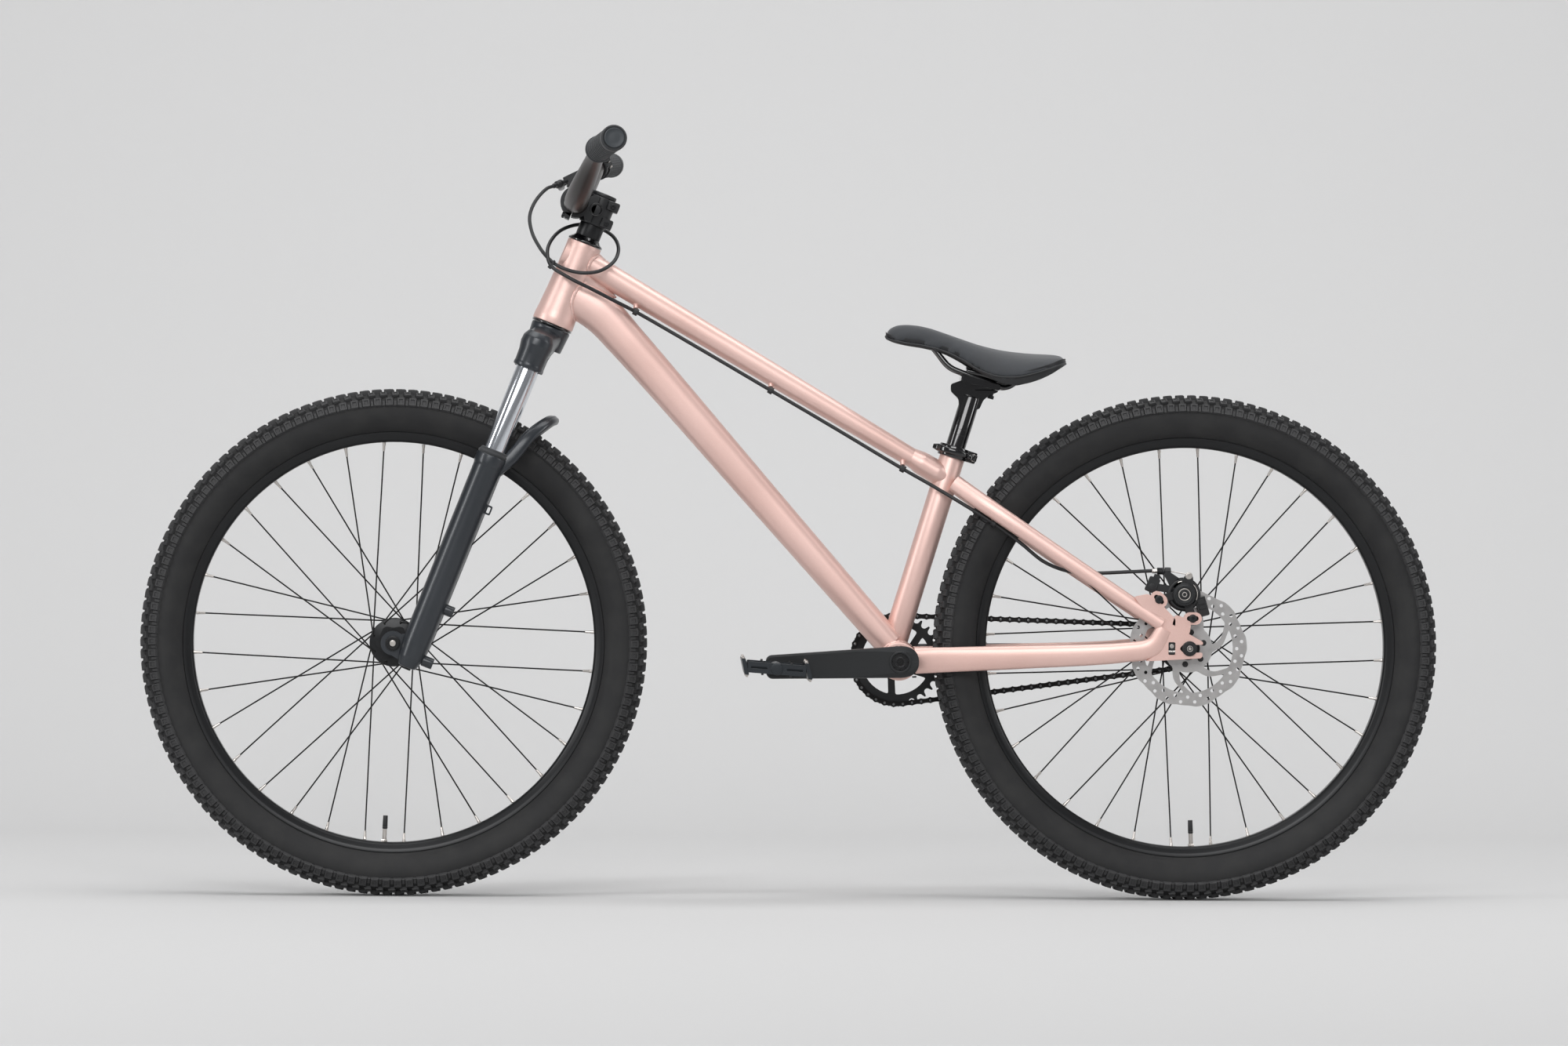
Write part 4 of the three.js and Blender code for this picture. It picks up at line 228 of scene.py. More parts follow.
def ringPart(inner, outer, low, high, sides=48, edge=0.5, axis="Y", steps=3):
    # a ring whose section is a rectangle with its corners rounded by edge
    return turnedPart([(inner, low), (outer, low), (outer, high), (inner, high)], edge, steps, sides, axis)


def circle(radius, sides, phase=0.0):
    # radius * cosine and radius * sine at equal steps
    angle = ringAngles(sides, phase)
    return np.stack([radius * np.cos(angle), radius * np.sin(angle)], -1)


def arcPoints(x, z, radius, start, end, steps):
    # places from one angle to another round (x, z): x + radius * cosine, z + radius * sine
    angle = np.radians(np.linspace(start, end, steps + 1))
    return [(x + radius * c, z + radius * s) for c, s in zip(np.cos(angle), np.sin(angle))]


def box(halfX, halfZ):
    # the four corners of a rectangle about the origin
    return [(-halfX, -halfZ), (halfX, -halfZ), (halfX, halfZ), (-halfX, halfZ)]


def platePart(outline, low, high, holes=(), soft=0.0, steps=3):
    # an outline in x and z, its corners rounded by soft, drawn along y from low to high, with holes
    outline = rounded(outline, soft, steps) if np.any(soft) else outline
    loops = [np.asarray(loop, float) for loop in [outline, *holes]]
    flat = np.vstack(loops)
    count = len(flat)
    cover = np.array(tessellate_polygon([[Vector((x, z, 0)) for x, z in loop] for loop in loops]))
    points = np.vstack([np.column_stack([flat[:, 0], np.full(count, y), flat[:, 1]]) for y in (low, high)])
    quads, start = [], 0
    for loop in loops:
        here = start + np.arange(len(loop))
        after = start + (np.arange(len(loop)) + 1) % len(loop)
        quads.append(np.stack([here, after, after + count, here + count], -1))
        start += len(loop)
    a, b, c = (flat[cover[:, i]] for i in range(3))
    area = (b[:, 0] - a[:, 0]) * (c[:, 1] - a[:, 1]) - (b[:, 1] - a[:, 1]) * (c[:, 0] - a[:, 0])
    cover = np.where(area[:, None] > 0, cover, cover[:, ::-1])
    signed = [0.5 * np.sum(l[:, 0] * np.roll(l[:, 1], -1) - np.roll(l[:, 0], -1) * l[:, 1]) for l in loops]
    walls = [q[:, ::-1] if (s > 0) == (i == 0) else q for i, (q, s) in enumerate(zip(quads, signed))]
    return points, np.vstack(walls), np.vstack([cover, cover[:, ::-1] + count])


def through(points, count):
    # a centripetal Catmull-Rom curve: from p to q, with slopes m and n,
    # each span is the cubic p + m t + (-3p + 3q - 2m - n) t^2 + (2p - 2q + m + n) t^3
    points = np.asarray(points, float)
    ends = np.vstack([2 * points[0] - points[1], points, 2 * points[-1] - points[-2]])
    place = np.linspace(0, len(points) - 1, count + 1)
    low = np.minimum(place.astype(int), len(points) - 2)
    share = (place - low)[:, None]
    p0, p1, p2, p3 = (ends[low + i] for i in range(4))
    d0, d1, d2 = (
        np.maximum(np.linalg.norm(b - a, axis=1, keepdims=True) ** 0.5, 1e-4)
        for a, b in ((p0, p1), (p1, p2), (p2, p3))
    )
    m = ((p1 - p0) / d0 - (p2 - p0) / (d0 + d1) + (p2 - p1) / d1) * d1
    n = ((p2 - p1) / d1 - (p3 - p1) / (d1 + d2) + (p3 - p2) / d2) * d1
    return p1 + m * share + (-3 * p1 + 3 * p2 - 2 * m - n) * share**2 + (2 * p1 - 2 * p2 + m + n) * share**3


def stretched(values, count):
    # a few sizes spread evenly over the stations of a path
    values = np.asarray(values, float)
    return np.interp(np.linspace(0, len(values) - 1, count + 1), np.arange(len(values)), values)


def sweepRings(path, wide, tall, full=2.0, sides=32, side=(0, 1, 0)):
    # at each station a ring c^(2/f) * wide to the side and s^(2/f) * tall upwards, square to the path
    path = np.asarray(path, float)
    along = unit(np.gradient(path, axis=0))
    side = np.asarray(side, float)
    lateral = unit(side - along * (along @ side)[:, None])
    up = np.cross(along, lateral)
    angle = ringAngles(sides, 180 / sides)
    wide, tall, full = (np.broadcast_to(np.asarray(v, float), (len(path),))[:, None] for v in (wide, tall, full))
    c = np.sign(np.cos(angle)) * np.abs(np.cos(angle)) ** (2 / full) * wide
    s = np.sign(np.sin(angle)) * np.abs(np.sin(angle)) ** (2 / full) * tall
    return path[:, None] + c[:, :, None] * lateral[:, None] + s[:, :, None] * up[:, None]


def sweepPart(path, wide, tall, full=2.0, sides=32, side=(0, 1, 0)):
    # the skin over the rings of a sweep, with both ends closed
    return gridPart(sweepRings(path, wide, tall, full, sides, side))


def curvedPart(points, wide, tall, full, sides, side=(0, 1, 0), count=40):
    # a sweep along a smooth curve through a few points, its few sizes spread over the stations
    return sweepPart(through(points, count), stretched(wide, count), stretched(tall, count), full, sides, side)


def barAcross(x, z, half, radius, sides=32):
    # a round bar along y through (x, z), half its length to each side
    return sweepPart([(x, y, z) for y in np.linspace(-half, half, 9)], radius, radius, 2.0, sides, (1, 0, 0))


def rodPart(start, end, radius, endRadius=None, sides=12, edge=0.0):
    # a straight round bar between two points, its ends eased by edge
    start, end = np.asarray(start, float), np.asarray(end, float)
    length = np.linalg.norm(end - start)
    last = radius if endRadius is None else endRadius
    stops = np.array(
        [0, edge * 0.3, edge, length - edge, length - edge * 0.3, length]
    ) if edge else np.array([0, length])
    radii = np.interp(stops, [0, length], [radius, last])
    if edge:
        radii[[0, -1]] -= edge
        radii[[1, -2]] -= edge * 0.3
    helper = (0, 0, 1) if abs(end[2] - start[2]) < 0.9 * length else (1, 0, 0)
    direction = (end - start) / length
    lateral = unit(np.cross(direction, helper))
    up = np.cross(direction, lateral)
    angle = ringAngles(sides)
    ring = np.cos(angle)[:, None] * lateral + np.sin(angle)[:, None] * up
    return gridPart((start + direction * stops[:, None])[:, None] + radii[:, None, None] * ring[None])


def sleeve(start, end, inner, outer, sides=32, edge=0.5):
    # a short pipe between two points
    length = float(np.linalg.norm(end - start))
    direction = (end - start) / length
    lateral = unit(np.cross((0, 1, 0) if abs(direction[1]) < 0.9 else (1, 0, 0), direction))
    turns = np.stack([lateral, np.cross(direction, lateral), direction], -1)[None]
    return copies(ringPart(inner, outer, 0, length, sides, edge, "Z"), turns, start[None])


def roundedBox(x, y, z, edge, centre=(0, 0, 0), steps=3):
    # a block with its upright corners and both rims rounded, along y
    outline = rounded(box(x, z), edge * 1.5, steps)
    inset = outline * (1 - edge * 0.6 / max(x, z))
    levels = ((inset, -y), (outline, -y + edge * 0.6), (outline, y - edge * 0.6), (inset, y))
    return moved(gridPart(np.array([np.insert(shape, 1, level, 1) for shape, level in levels])), *centre)


def boxes(rows):
    # one part from a few rounded blocks, a row of sizes each
    return joined(*(roundedBox(*row) for row in rows))


def rings(rows):
    # one part from a few rings on one axis, a row of sizes each
    return joined(*(ringPart(*row) for row in rows))


def boltPart(radius, height, socket, sides=24):
    # a cap head standing on y = 0 and rising to -y, with a hexagon sunk in its top
    rim = rounded([(radius, 0), (radius, -height), (socket * 1.25, -height)], 0.35, 3, closed=False)
    angle = ringAngles(sides)
    outer = np.stack([rim[:, :1] * np.cos(angle), rim[:, 1:] + 0 * angle, rim[:, :1] * np.sin(angle)], -1)
    sixth = (np.degrees(angle) % 60) - 30
    flat = socket * math.cos(math.radians(30)) / np.cos(np.radians(sixth))
    inner = np.stack(
        [
            np.stack([flat * np.cos(angle), np.full(sides, y), flat * np.sin(angle)], -1)
            for y in (-height, -height * 0.35)
        ]
    )
    return gridPart(np.concatenate([outer, inner]))


def piece(name, part, body, finish, stands="", sharp=38.0, ease=(), slot=""):
    # one object from a part, smooth but for edges sharper than the given angle; ease rounds those by a width in steps
    points, quads, tris = part
    mesh = bpy.data.meshes.new(name)
    mesh.vertices.add(len(points))
    mesh.vertices.foreach_set("co", (points * millimetre).astype(np.float32).ravel())
    corners = np.concatenate([quads.ravel(), tris.ravel()]).astype(np.int32)
    mesh.loops.add(len(corners))
    mesh.loops.foreach_set("vertex_index", corners)
    starts = np.concatenate([np.arange(len(quads)) * 4, len(quads) * 4 + np.arange(len(tris)) * 3]).astype(np.int32)
    mesh.polygons.add(len(starts))
    mesh.polygons.foreach_set("loop_start", starts)
    mesh.update(calc_edges=True)
    mesh.validate()
    mesh.polygons.foreach_set("use_smooth", np.ones(len(mesh.polygons), bool))
    mesh.set_sharp_from_angle(angle=math.radians(sharp))
    mesh.materials.append(finishes[finish])
    made = bpy.data.objects.new(name, mesh)
    bpy.context.scene.collection.objects.link(made)
    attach(made, body)
    slot or usualSlot.get(finish, "black_satin")
    if stands:
        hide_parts(stands)
    if ease:
        bevel = made.modifiers.new("rounded edges", "BEVEL")
        bevel.width, bevel.segments = ease[0] * millimetre, ease[1]
        bevel.limit_method = "ANGLE"
        bevel.angle_limit = math.radians(sharp)
    return made


# Materials

def linear(shade):
    # a web colour's three values as the renderer's linear ones
    values = [int(shade[i:i + 2], 16) / 255 for i in (0, 2, 4)]
    return tuple(v / 12.92 if v < 0.04045 else ((v + 0.055) / 1.055) ** 2.4 for v in values) + (1.0,)


class Wire:
    # a socket of a material that can stand in a sum; node() adds any other node and returns its output
    def __init__(self, tree, socket=None):
        self.tree = tree
        self.socket = socket

    def node(self, kind, settings=None, inputs=None, output=0):
        made = self.tree.nodes.new(kind)
        for key, value in (settings or {}).items():
            if key == "stops":
                for i, (place, shade) in enumerate(value):
                    stop = made.color_ramp.elements[i] if i < 2 else made.color_ramp.elements.new(place)
                    stop.position = place
                    stop.color = shade if len(shade) == 4 else (*shade, 1)
            else:
                setattr(made, key, value)
        for key, value in (inputs or {}).items():
            if isinstance(value, Wire):
                self.tree.links.new(value.socket, made.inputs[key])
            else:
                made.inputs[key].default_value = value
        return Wire(self.tree, made.outputs[output])

    def maths(self, operation, first, second=0.0):
        return self.node("ShaderNodeMath", {"operation": operation}, {0: first, 1: second})

    def __add__(self, other): return self.maths("ADD", self, other)
    def __radd__(self, other): return self.maths("ADD", other, self)
    def __sub__(self, other): return self.maths("SUBTRACT", self, other)
    def __rsub__(self, other): return self.maths("SUBTRACT", other, self)
    def __mul__(self, other): return self.maths("MULTIPLY", self, other)
    def __rmul__(self, other): return self.maths("MULTIPLY", other, self)
    def __truediv__(self, other): return self.maths("DIVIDE", self, other)
    def __pow__(self, other): return self.maths("POWER", self, other)

    def span(self, low, high):
        return self.node("ShaderNodeMapRange", {}, {"Value": self, "From Min": low, "From Max": high})

    def blend(self, first, second):
        return self.node("ShaderNodeMix", {"data_type": "RGBA"}, {0: self, 6: first, 7: second}, 2)

    def noise(self, place, scale, detail=2.0):
        return self.node("ShaderNodeTexNoise", {}, {"Vector": place, "Scale": scale, "Detail": detail})


def material(name, paint, metallic=0.0, coat=0.0, coatRoughness=0.1, specular=0.5, sheen=0.0):
    # paint(wire, place) gives the wires that vary: colour, roughness and height, with the height's depth in metres
    made = bpy.data.materials.new(name)
    made.use_nodes = True
    shader = made.node_tree.nodes["Principled BSDF"]
    steady = {
        "Metallic": metallic, "Coat Weight": coat, "Coat Roughness": coatRoughness,
        "Specular IOR Level": specular, "Sheen Weight": sheen,
    }
    for socket, value in steady.items():
        shader.inputs[socket].default_value = value
    start = Wire(made.node_tree)
    place = start.node("ShaderNodeTexCoord", {}, {}, "Object")
    found = paint(start, place)
    links = made.node_tree.links
    links.new(found["colour"].socket, shader.inputs["Base Color"])
    links.new(found["roughness"].socket, shader.inputs["Roughness"])
    if "height" in found:
        bump = start.node(
            "ShaderNodeBump", {}, {"Strength": 1.0, "Distance": found["depth"], "Height": found["height"]},
        )
        links.new(bump.socket, shader.inputs["Normal"])
    return made


def plainFinish(name, light, dark, grain, rough, roughSpread, depth, **settings):
    # two close shades mixed by a broad cloud, with a fine grain that lifts the surface and varies its roughness
    def paint(start, place):
        cloud = start.noise(place, 7.0, 3.0)
        fine = start.noise(place, grain, 2.0)
        return {
            "colour": cloud.span(0.35, 0.65).blend(linear(dark), linear(light)),
            "roughness": fine * roughSpread + (rough - roughSpread / 2) + (cloud - 0.5) * roughSpread,
            **({"height": fine, "depth": depth} if depth else {}),
        }
    return material(name, paint, **settings)


pearl = {
    "light": "e2bfb6", "dark": "dab4aa", "flake": "f5e2dc", "flakeScale": 5200.0, "roughness": 0.44, "metallic": 0.6,
    "coat": 0.3, "orangePeel": 0.00003,
}


def pearlPaint(start, place):
    # a pale base under a broad cloud, with flakes where a cell's random value to the sixth is high
    cloud = start.noise(place, 5.0, 3.0)
    flakes = start.node("ShaderNodeTexVoronoi", {}, {"Vector": place, "Scale": pearl["flakeScale"]}, 1)
    bright = flakes.node("ShaderNodeSeparateColor", {}, {0: flakes}) ** 6.0
    base = cloud.span(0.35, 0.65).blend(linear(pearl["dark"]), linear(pearl["light"]))
    peel = start.noise(place, 900.0, 2.0)
    return {
        "colour": (bright * 0.5).blend(base, linear(pearl["flake"])),
        "roughness": peel * 0.05 + (pearl["roughness"] - 0.025),
        "height": peel, "depth": pearl["orangePeel"],
    }


tyreLook = {"wall": "222223", "dust": "2b2b2b", "fine": 2600.0, "roughness": 0.62, "bump": 0.00012}


def tyrePaint(start, place):
    # rubber with a broad cloud of dust and a fine grain
    cloud = start.noise(place, 30.0, 4.0)
    fine = start.noise(place, tyreLook["fine"], 2.0)
    return {
        "colour": cloud.span(0.4, 0.75).blend(linear(tyreLook["wall"]), linear(tyreLook["dust"])),
        "roughness": fine * 0.12 + (cloud * 0.1 + (tyreLook["roughness"] - 0.11)),
        "height": fine, "depth": tyreLook["bump"],
    }


brushed = {"light": "c9c7c6", "dark": "a9a7a6", "lines": 2600.0, "roughness": 0.34, "bump": 0.00003}


def brushedPaint(start, place):
    # brushing follows circles round the rear axle: noise read by the distance from it
    parts = start.node("ShaderNodeSeparateXYZ", {}, {0: place})
    height = start.node("ShaderNodeSeparateXYZ", {}, {0: place}, "Z") - rearAxle[2] * millimetre
    across = parts - rearAxle[0] * millimetre
    reach = (across * across + height * height) ** 0.5
    lines = start.noise(start.node("ShaderNodeCombineXYZ", {}, {0: reach}), brushed["lines"], 1.0)
    cloud = start.noise(place, 60.0, 3.0)
    return {
        "colour": (lines * 0.5 + cloud * 0.5).span(0.3, 0.7).blend(linear(brushed["dark"]), linear(brushed["light"])),
        "roughness": lines * 0.12 + (brushed["roughness"] - 0.06),
        "height": lines, "depth": brushed["bump"],
    }


# thread is the cover's own colour; shade is painted shade for the hollows of the weave
saddleCloth = {"thread": "3c3f43", "shade": "292b2e", "pitch": 0.0013, "bump": 0.00018, "roughness": 0.82}


def saddlePaint(start, place):
    # woven cover: two sine waves along and across multiply into a small basket pattern; the colour is painted shade
    # where the weave is low, in its hollows, and a broad cloud adds random tone
    x = start.node("ShaderNodeSeparateXYZ", {}, {0: place})
    y = start.node("ShaderNodeSeparateXYZ", {}, {0: place}, "Y")
    turns = 2 * math.pi / saddleCloth["pitch"]
    waveX = start.maths("SINE", x * turns)
    waveY = start.maths("SINE", y * turns)
    weave = waveX * waveY * 0.5 + 0.5
    cloud = start.noise(place, 40.0, 4.0)
    return {
        # painted shade: darker where the weave is low, the same height that lifts the surface
        "colour": (weave * 0.45 + cloud * 0.6).span(0.2, 0.9).blend(
            linear(saddleCloth["shade"]), linear(saddleCloth["thread"]),
        ),
        "roughness": cloud * 0.1 + (saddleCloth["roughness"] - 0.05),
        "height": weave, "depth": saddleCloth["bump"],
    }


finishes = {
    "frame": material(
        "pearl pink paint", pearlPaint, metallic=pearl["metallic"], coat=pearl["coat"], coatRoughness=0.34,
    ),
    "fork": plainFinish(
        "satin blue grey paint", "2b2f34", "272b30", 2200.0, 0.34, 0.08, 0.00003, metallic=0.25, coat=0.25,
        coatRoughness=0.2,
    ),
    "chrome": plainFinish("polished chrome", "dfe3e8", "d6dae0", 4000.0, 0.12, 0.03, 0.0, metallic=1.0),
    "anodised": plainFinish(
        "black anodised metal", "17181a", "121315", 2600.0, 0.36, 0.1, 0.00003, metallic=0.5, coat=0.15,
        coatRoughness=0.3,
    ),
    "gloss": plainFinish(
        "gloss black paint", "0b0b0d", "09090b", 1800.0, 0.14, 0.06, 0.00001, metallic=0.2, coat=0.8,
        coatRoughness=0.05,
    ),
    "satin": plainFinish(
        "satin black paint", "1a1b1d", "151618", 2400.0, 0.42, 0.1, 0.00004, metallic=0.15, coat=0.1,
        coatRoughness=0.3,
    ),
    "bar": plainFinish(
        "black brown gloss paint", "1f1512", "18100e", 1800.0, 0.34, 0.06, 0.00002, metallic=0.25, coat=0.2,
        coatRoughness=0.3,
    ),
    "grip": plainFinish("soft grip rubber", "2e3033", "27292b", 3000.0, 0.72, 0.12, 0.00012, sheen=0.1),
    "cap": plainFinish("grip end plastic", "30353a", "2b3034", 2600.0, 0.5, 0.1, 0.00005),
    "tyre": material("tyre rubber", tyrePaint, specular=0.3),
    "knob": plainFinish("worn tread rubber", "333334", "2b2b2c", 2200.0, 0.6, 0.12, 0.00014, specular=0.4),
    "plastic": plainFinish("black plastic", "1c1d1f", "17181a", 2600.0, 0.45, 0.12, 0.00005),
    "steel": plainFinish("bright steel", "d2cdc8", "bdb8b3", 3000.0, 0.28, 0.1, 0.00002, metallic=1.0),
    "rotor": material("brushed rotor steel", brushedPaint, metallic=1.0),
    "chain": plainFinish("black chain steel", "2b2a2a", "1d1c1c", 2600.0, 0.34, 0.16, 0.00004, metallic=0.85),
    "cloth": material("woven saddle cover", saddlePaint, sheen=0.25),
    "spoke": plainFinish("black spoke wire", "151515", "101010", 2600.0, 0.36, 0.1, 0.00002, metallic=0.5),
    "crank": plainFinish(
        "satin black forged metal", "191b1d", "151719", 2400.0, 0.4, 0.1, 0.00004, metallic=0.25, coat=0.1,
        coatRoughness=0.3,
    ),
    "pedal": plainFinish("black grey cast metal", "2c3034", "24272b", 2400.0, 0.36, 0.12, 0.00004, metallic=0.5),
    "pin": plainFinish("grey chain pin steel", "7d7f80", "5c5e5f", 2600.0, 0.3, 0.1, 0.00002, metallic=0.9),
    "piping": plainFinish("black seam piping", "1b1d20", "151719", 2600.0, 0.6, 0.1, 0.00008, sheen=0.1),
    "thread": plainFinish("dark sewing thread", "2a2d32", "212428", 3200.0, 0.75, 0.1, 0.00006),
}
usualSlot = {
    "frame": "frame_paint", "fork": "fork_paint", "chrome": "chrome", "bar": "bar_paint", "grip": "grip_rubber",
    "cap": "grip_rubber", "tyre": "tyre", "knob": "tyre", "rotor": "steel", "cloth": "saddle_cover",
    "piping": "saddle_cover", "thread": "saddle_cover",
}
print("materials made")


# Floor, light and camera

view = {
    "eye": (-0.2824, -9.0, 0.5639), "aim": (-0.0095, 0.0, 0.5103), "roll": 0.426, "fieldWidth": 2.137, "sensor": 36.0,
}
stage = {
    "shade": "c7c7c7", "roughness": 0.9, "specular": 0.1,
    "front": -12.0, "back": 3.2, "curve": 1.6, "height": 9.0, "halfWidth": 14.0,
}
world = {"light": (0.9, 0.9, 0.92, 1), "strength": 0.3, "seen": (0.68, 0.68, 0.69, 1)}


def buildCamera():
    # the lens is the sensor's width times the distance over the width of the field at the bike
    eye, aim = Vector(view["eye"]), Vector(view["aim"])
    camera = bpy.data.objects.new("camera", bpy.data.cameras.new("camera"))
    bpy.context.scene.collection.objects.link(camera)
    camera.data.sensor_width = view["sensor"]
    camera.data.lens = view["sensor"] * (aim - eye).length / view["fieldWidth"]
    camera.location = eye
    turn = (aim - eye).to_track_quat("-Z", "Y").to_matrix() @ Matrix.Rotation(math.radians(view["roll"]), 3, "Z")
    camera.rotation_euler = turn.to_euler()
    camera.data.clip_start, camera.data.clip_end = 0.1, 60.0
    bpy.context.scene.camera = camera


def buildStage():
    # a paper sweep: flat floor, a quarter circle at the back, then an upright wall
    s = stage
    t = np.radians(np.linspace(0, 90, 40))
    curveY = s["back"] - s["curve"] + s["curve"] * np.sin(t)
    curveZ = s["curve"] * (1 - np.cos(t))
    y = np.concatenate([[s["front"]], curveY, [s["back"]]])
    z = np.concatenate([[0.0], curveZ, [s["height"]]])
    points = [(x, yy, zz) for x in (-s["halfWidth"], s["halfWidth"]) for yy, zz in zip(y, z)]
    rows = len(y)
    mesh = bpy.data.meshes.new("backdrop")
    mesh.from_pydata(points, [], [(i, i + rows, i + rows + 1, i + 1) for i in range(rows - 1)])
    mesh.polygons.foreach_set("use_smooth", np.ones(rows - 1, bool))
    backdrop = bpy.data.objects.new("backdrop", mesh)
    bpy.context.scene.collection.objects.link(backdrop)
    paper = bpy.data.materials.new("pale paper")
    paper.use_nodes = True
    shader = paper.node_tree.nodes["Principled BSDF"]
    shader.inputs["Base Color"].default_value = linear(s["shade"])
    shader.inputs["Roughness"].default_value = s["roughness"]
    shader.inputs["Specular IOR Level"].default_value = s["specular"]
    # the paper has one side: from behind it is clear, so that the bike is seen from there too
    start = Wire(paper.node_tree)
    clear = start.node("ShaderNodeBsdfTransparent")
    behind = start.node("ShaderNodeNewGeometry", {}, {}, "Backfacing")
    oneSide = start.node(
        "ShaderNodeMixShader", {}, {0: behind, 1: Wire(paper.node_tree, shader.outputs[0]), 2: clear},
    )
    paper.node_tree.links.new(oneSide.socket, paper.node_tree.nodes["Material Output"].inputs["Surface"])
    mesh.materials.append(paper)


lights = {
    "front softbox": {"place": (-1.0, -7.4, 3.9), "aim": (0.0, 0.0, 0.35), "size": (5.2, 2.6), "power": 285.0},
    "overhead": {"place": (0.2, -0.6, 4.2), "aim": (0.0, 0.1, 0.0), "size": (4.4, 2.2), "power": 105.0},
    "left strip": {"place": (-4.4, -2.0, 1.9), "aim": (0.0, 0.0, 0.6), "size": (0.7, 2.8), "power": 60.0},
    "right strip": {"place": (4.4, -1.4, 1.8), "aim": (0.0, 0.0, 0.6), "size": (0.7, 2.8), "power": 45.0},
    "back wash": {"place": (0.0, 0.8, 4.6), "aim": (0.0, 3.2, 1.2), "size": (6.0, 1.2), "power": 50.0},
}


def buildLights():
    # each lamp is turned from its place to its aim
    for name, light in lights.items():
        lamp = bpy.data.lights.new(name, "AREA")
        lamp.shape = "RECTANGLE"
        lamp.size, lamp.size_y = light["size"]
        lamp.energy = light["power"]
        made = bpy.data.objects.new(name, lamp)
        bpy.context.scene.collection.objects.link(made)
        made.location = light["place"]
        made.rotation_euler = (Vector(light["aim"]) - Vector(light["place"])).to_track_quat("-Z", "Y").to_euler()
    studio = bpy.data.worlds.new("studio")
    bpy.context.scene.world = studio
    studio.use_nodes = True
    nodes = studio.node_tree.nodes
    nodes["Background"].inputs["Color"].default_value = world["light"]
    nodes["Background"].inputs["Strength"].default_value = world["strength"]
    # a camera ray that passes the paper meets a grey of the paper's own tone
    sky = Wire(studio.node_tree, nodes["Background"].outputs[0])
    seen = sky.node("ShaderNodeBackground", {}, {"Color": world["seen"], "Strength": 1.0})
    byCamera = sky.node("ShaderNodeLightPath", {}, {}, "Is Camera Ray")
    shown = sky.node("ShaderNodeMixShader", {}, {0: byCamera, 1: sky, 2: seen})
    studio.node_tree.links.new(shown.socket, nodes["World Output"].inputs["Surface"])


buildCamera()
buildStage()
buildLights()
bpy.context.scene.view_settings.view_transform = "Standard"
print("camera, stage and lights set")


# Wheels

tyreSize = {
    "section": [
        (281.6, 10.2), (284.2, 12.2), (287.5, 15.6), (294.0, 21.6), (303.0, 26.2), (313.0, 28.0), (322.0, 27.0),
        (330.0, 23.6), (335.6, 17.4), (338.6, 9.4), (339.6, 0),
    ],
    "wall": 3.2, "innerSpan": (281.6, 337.0), "steps": 256, "knobs": 130,
}
knobSizes = {"sunk": 2.4, "ease": 0.8, "foot": 0.5}
# Each kind of knob: its block as (length, width, height, sipe), then its row on the right half as
# (radius, place across, lean, step on, skew)
knobRows = [
    {"block": (10.4, 12.0, 4.4, 1.0), "row": (325.4, 25.6, 62, 0.0, 0.0)},
    {"block": (4.6, 8.0, 2.6, 0.0), "row": (324.0, 26.2, 64, 0.5, 0.0)},
    {"block": (9.4, 8.0, 4.6, 0.9), "row": (334.6, 18.2, 36, 0.5, 8)},
    {"block": (10.4, 8.6, 4.9, 0.9), "row": (338.8, 7.4, 8, 0.0, 10), "leftStep": 0.12},
]
middleBar = {"block": (3.4, 6.0, 1.4, 0.0), "sunk": 2.0, "ease": 0.4, "row": (338.9, 0.0, 0, 0.25)}
rimSize = {
    "corners": [
        (272.0, 7.6), (274.6, 10.6), (281.0, 14.0), (286.0, 15.2), (286.0, 12.6), (281.6, 11.4), (279.6, 8.6),
    ],
    "steps": 192, "round": 1.2,
}
spokeSize = {
    "perSide": 16, "crosses": 3, "radius": 1.02, "holes": 29.0, "flare": 2.6, "rimOffset": 4.0, "rimReach": 272.4,
    "head": [(-1.2, 0.7), (-1.0, 2.1), (0.4, 2.1), (1.2, 1.02)],
}
# The nipple's profile as (distance back from the rim, radius)
nipple = {"length": 12.0, "profile": [(12.0, 1.44), (11.4, 1.72), (4.4, 1.84), (3.6, 2.24), (0, 2.36)]}
hubs = {
    "front": {
        "turn": 3.2, "left": -31.0, "right": 34.0, "barrel": 14.0,
        "ends": (
            [(5.4, -49.7), (9.5, -49.7), (9.5, -40.0), (17.0, -40.0), (17.0, -35.0)],
            [(14.5, 40.0), (9.5, 41.0), (9.5, 49.7), (5.4, 49.7)],
        ),
    },
    "rear": {
        "turn": 7.9, "left": -35.0, "right": 33.0, "barrel": 15.0,
        "ends": (
            [(5.4, -67.2), (9.5, -67.2), (9.5, -51.0), (25.0, -51.0), (25.0, -40.0)],
            [(16.7, 40.0), (16.7, 56.0), (9.5, 56.0), (9.5, 67.2), (5.4, 67.2)],
        ),
    },
}
flange = {"radius": 32.5, "half": 1.8, "step": 4.0, "shoulder": 2.0, "fall": 9.0}
discMount = {"radius": 24.0, "scallop": 3.6, "lobes": 6, "points": 96, "low": -41.0, "high": -37.0}


def tyreCasing():
    # the outer section is carried round the axle, and an inner skin a wall's thickness inside closes it
    half = through([(r, y, 0) for r, y in tyreSize["section"]], 40)[:, :2]
    outer = np.vstack([half, half[-2::-1] * (1, -1)])
    slope = unit(np.gradient(outer, axis=0))
    inner = (outer + np.column_stack([-slope[:, 1], slope[:, 0]]) * -tyreSize["wall"])[::-2]
    inner[:, 0] = np.clip(inner[:, 0], *tyreSize["innerSpan"])
    return lathePart(np.vstack([outer, inner]), tyreSize["steps"])


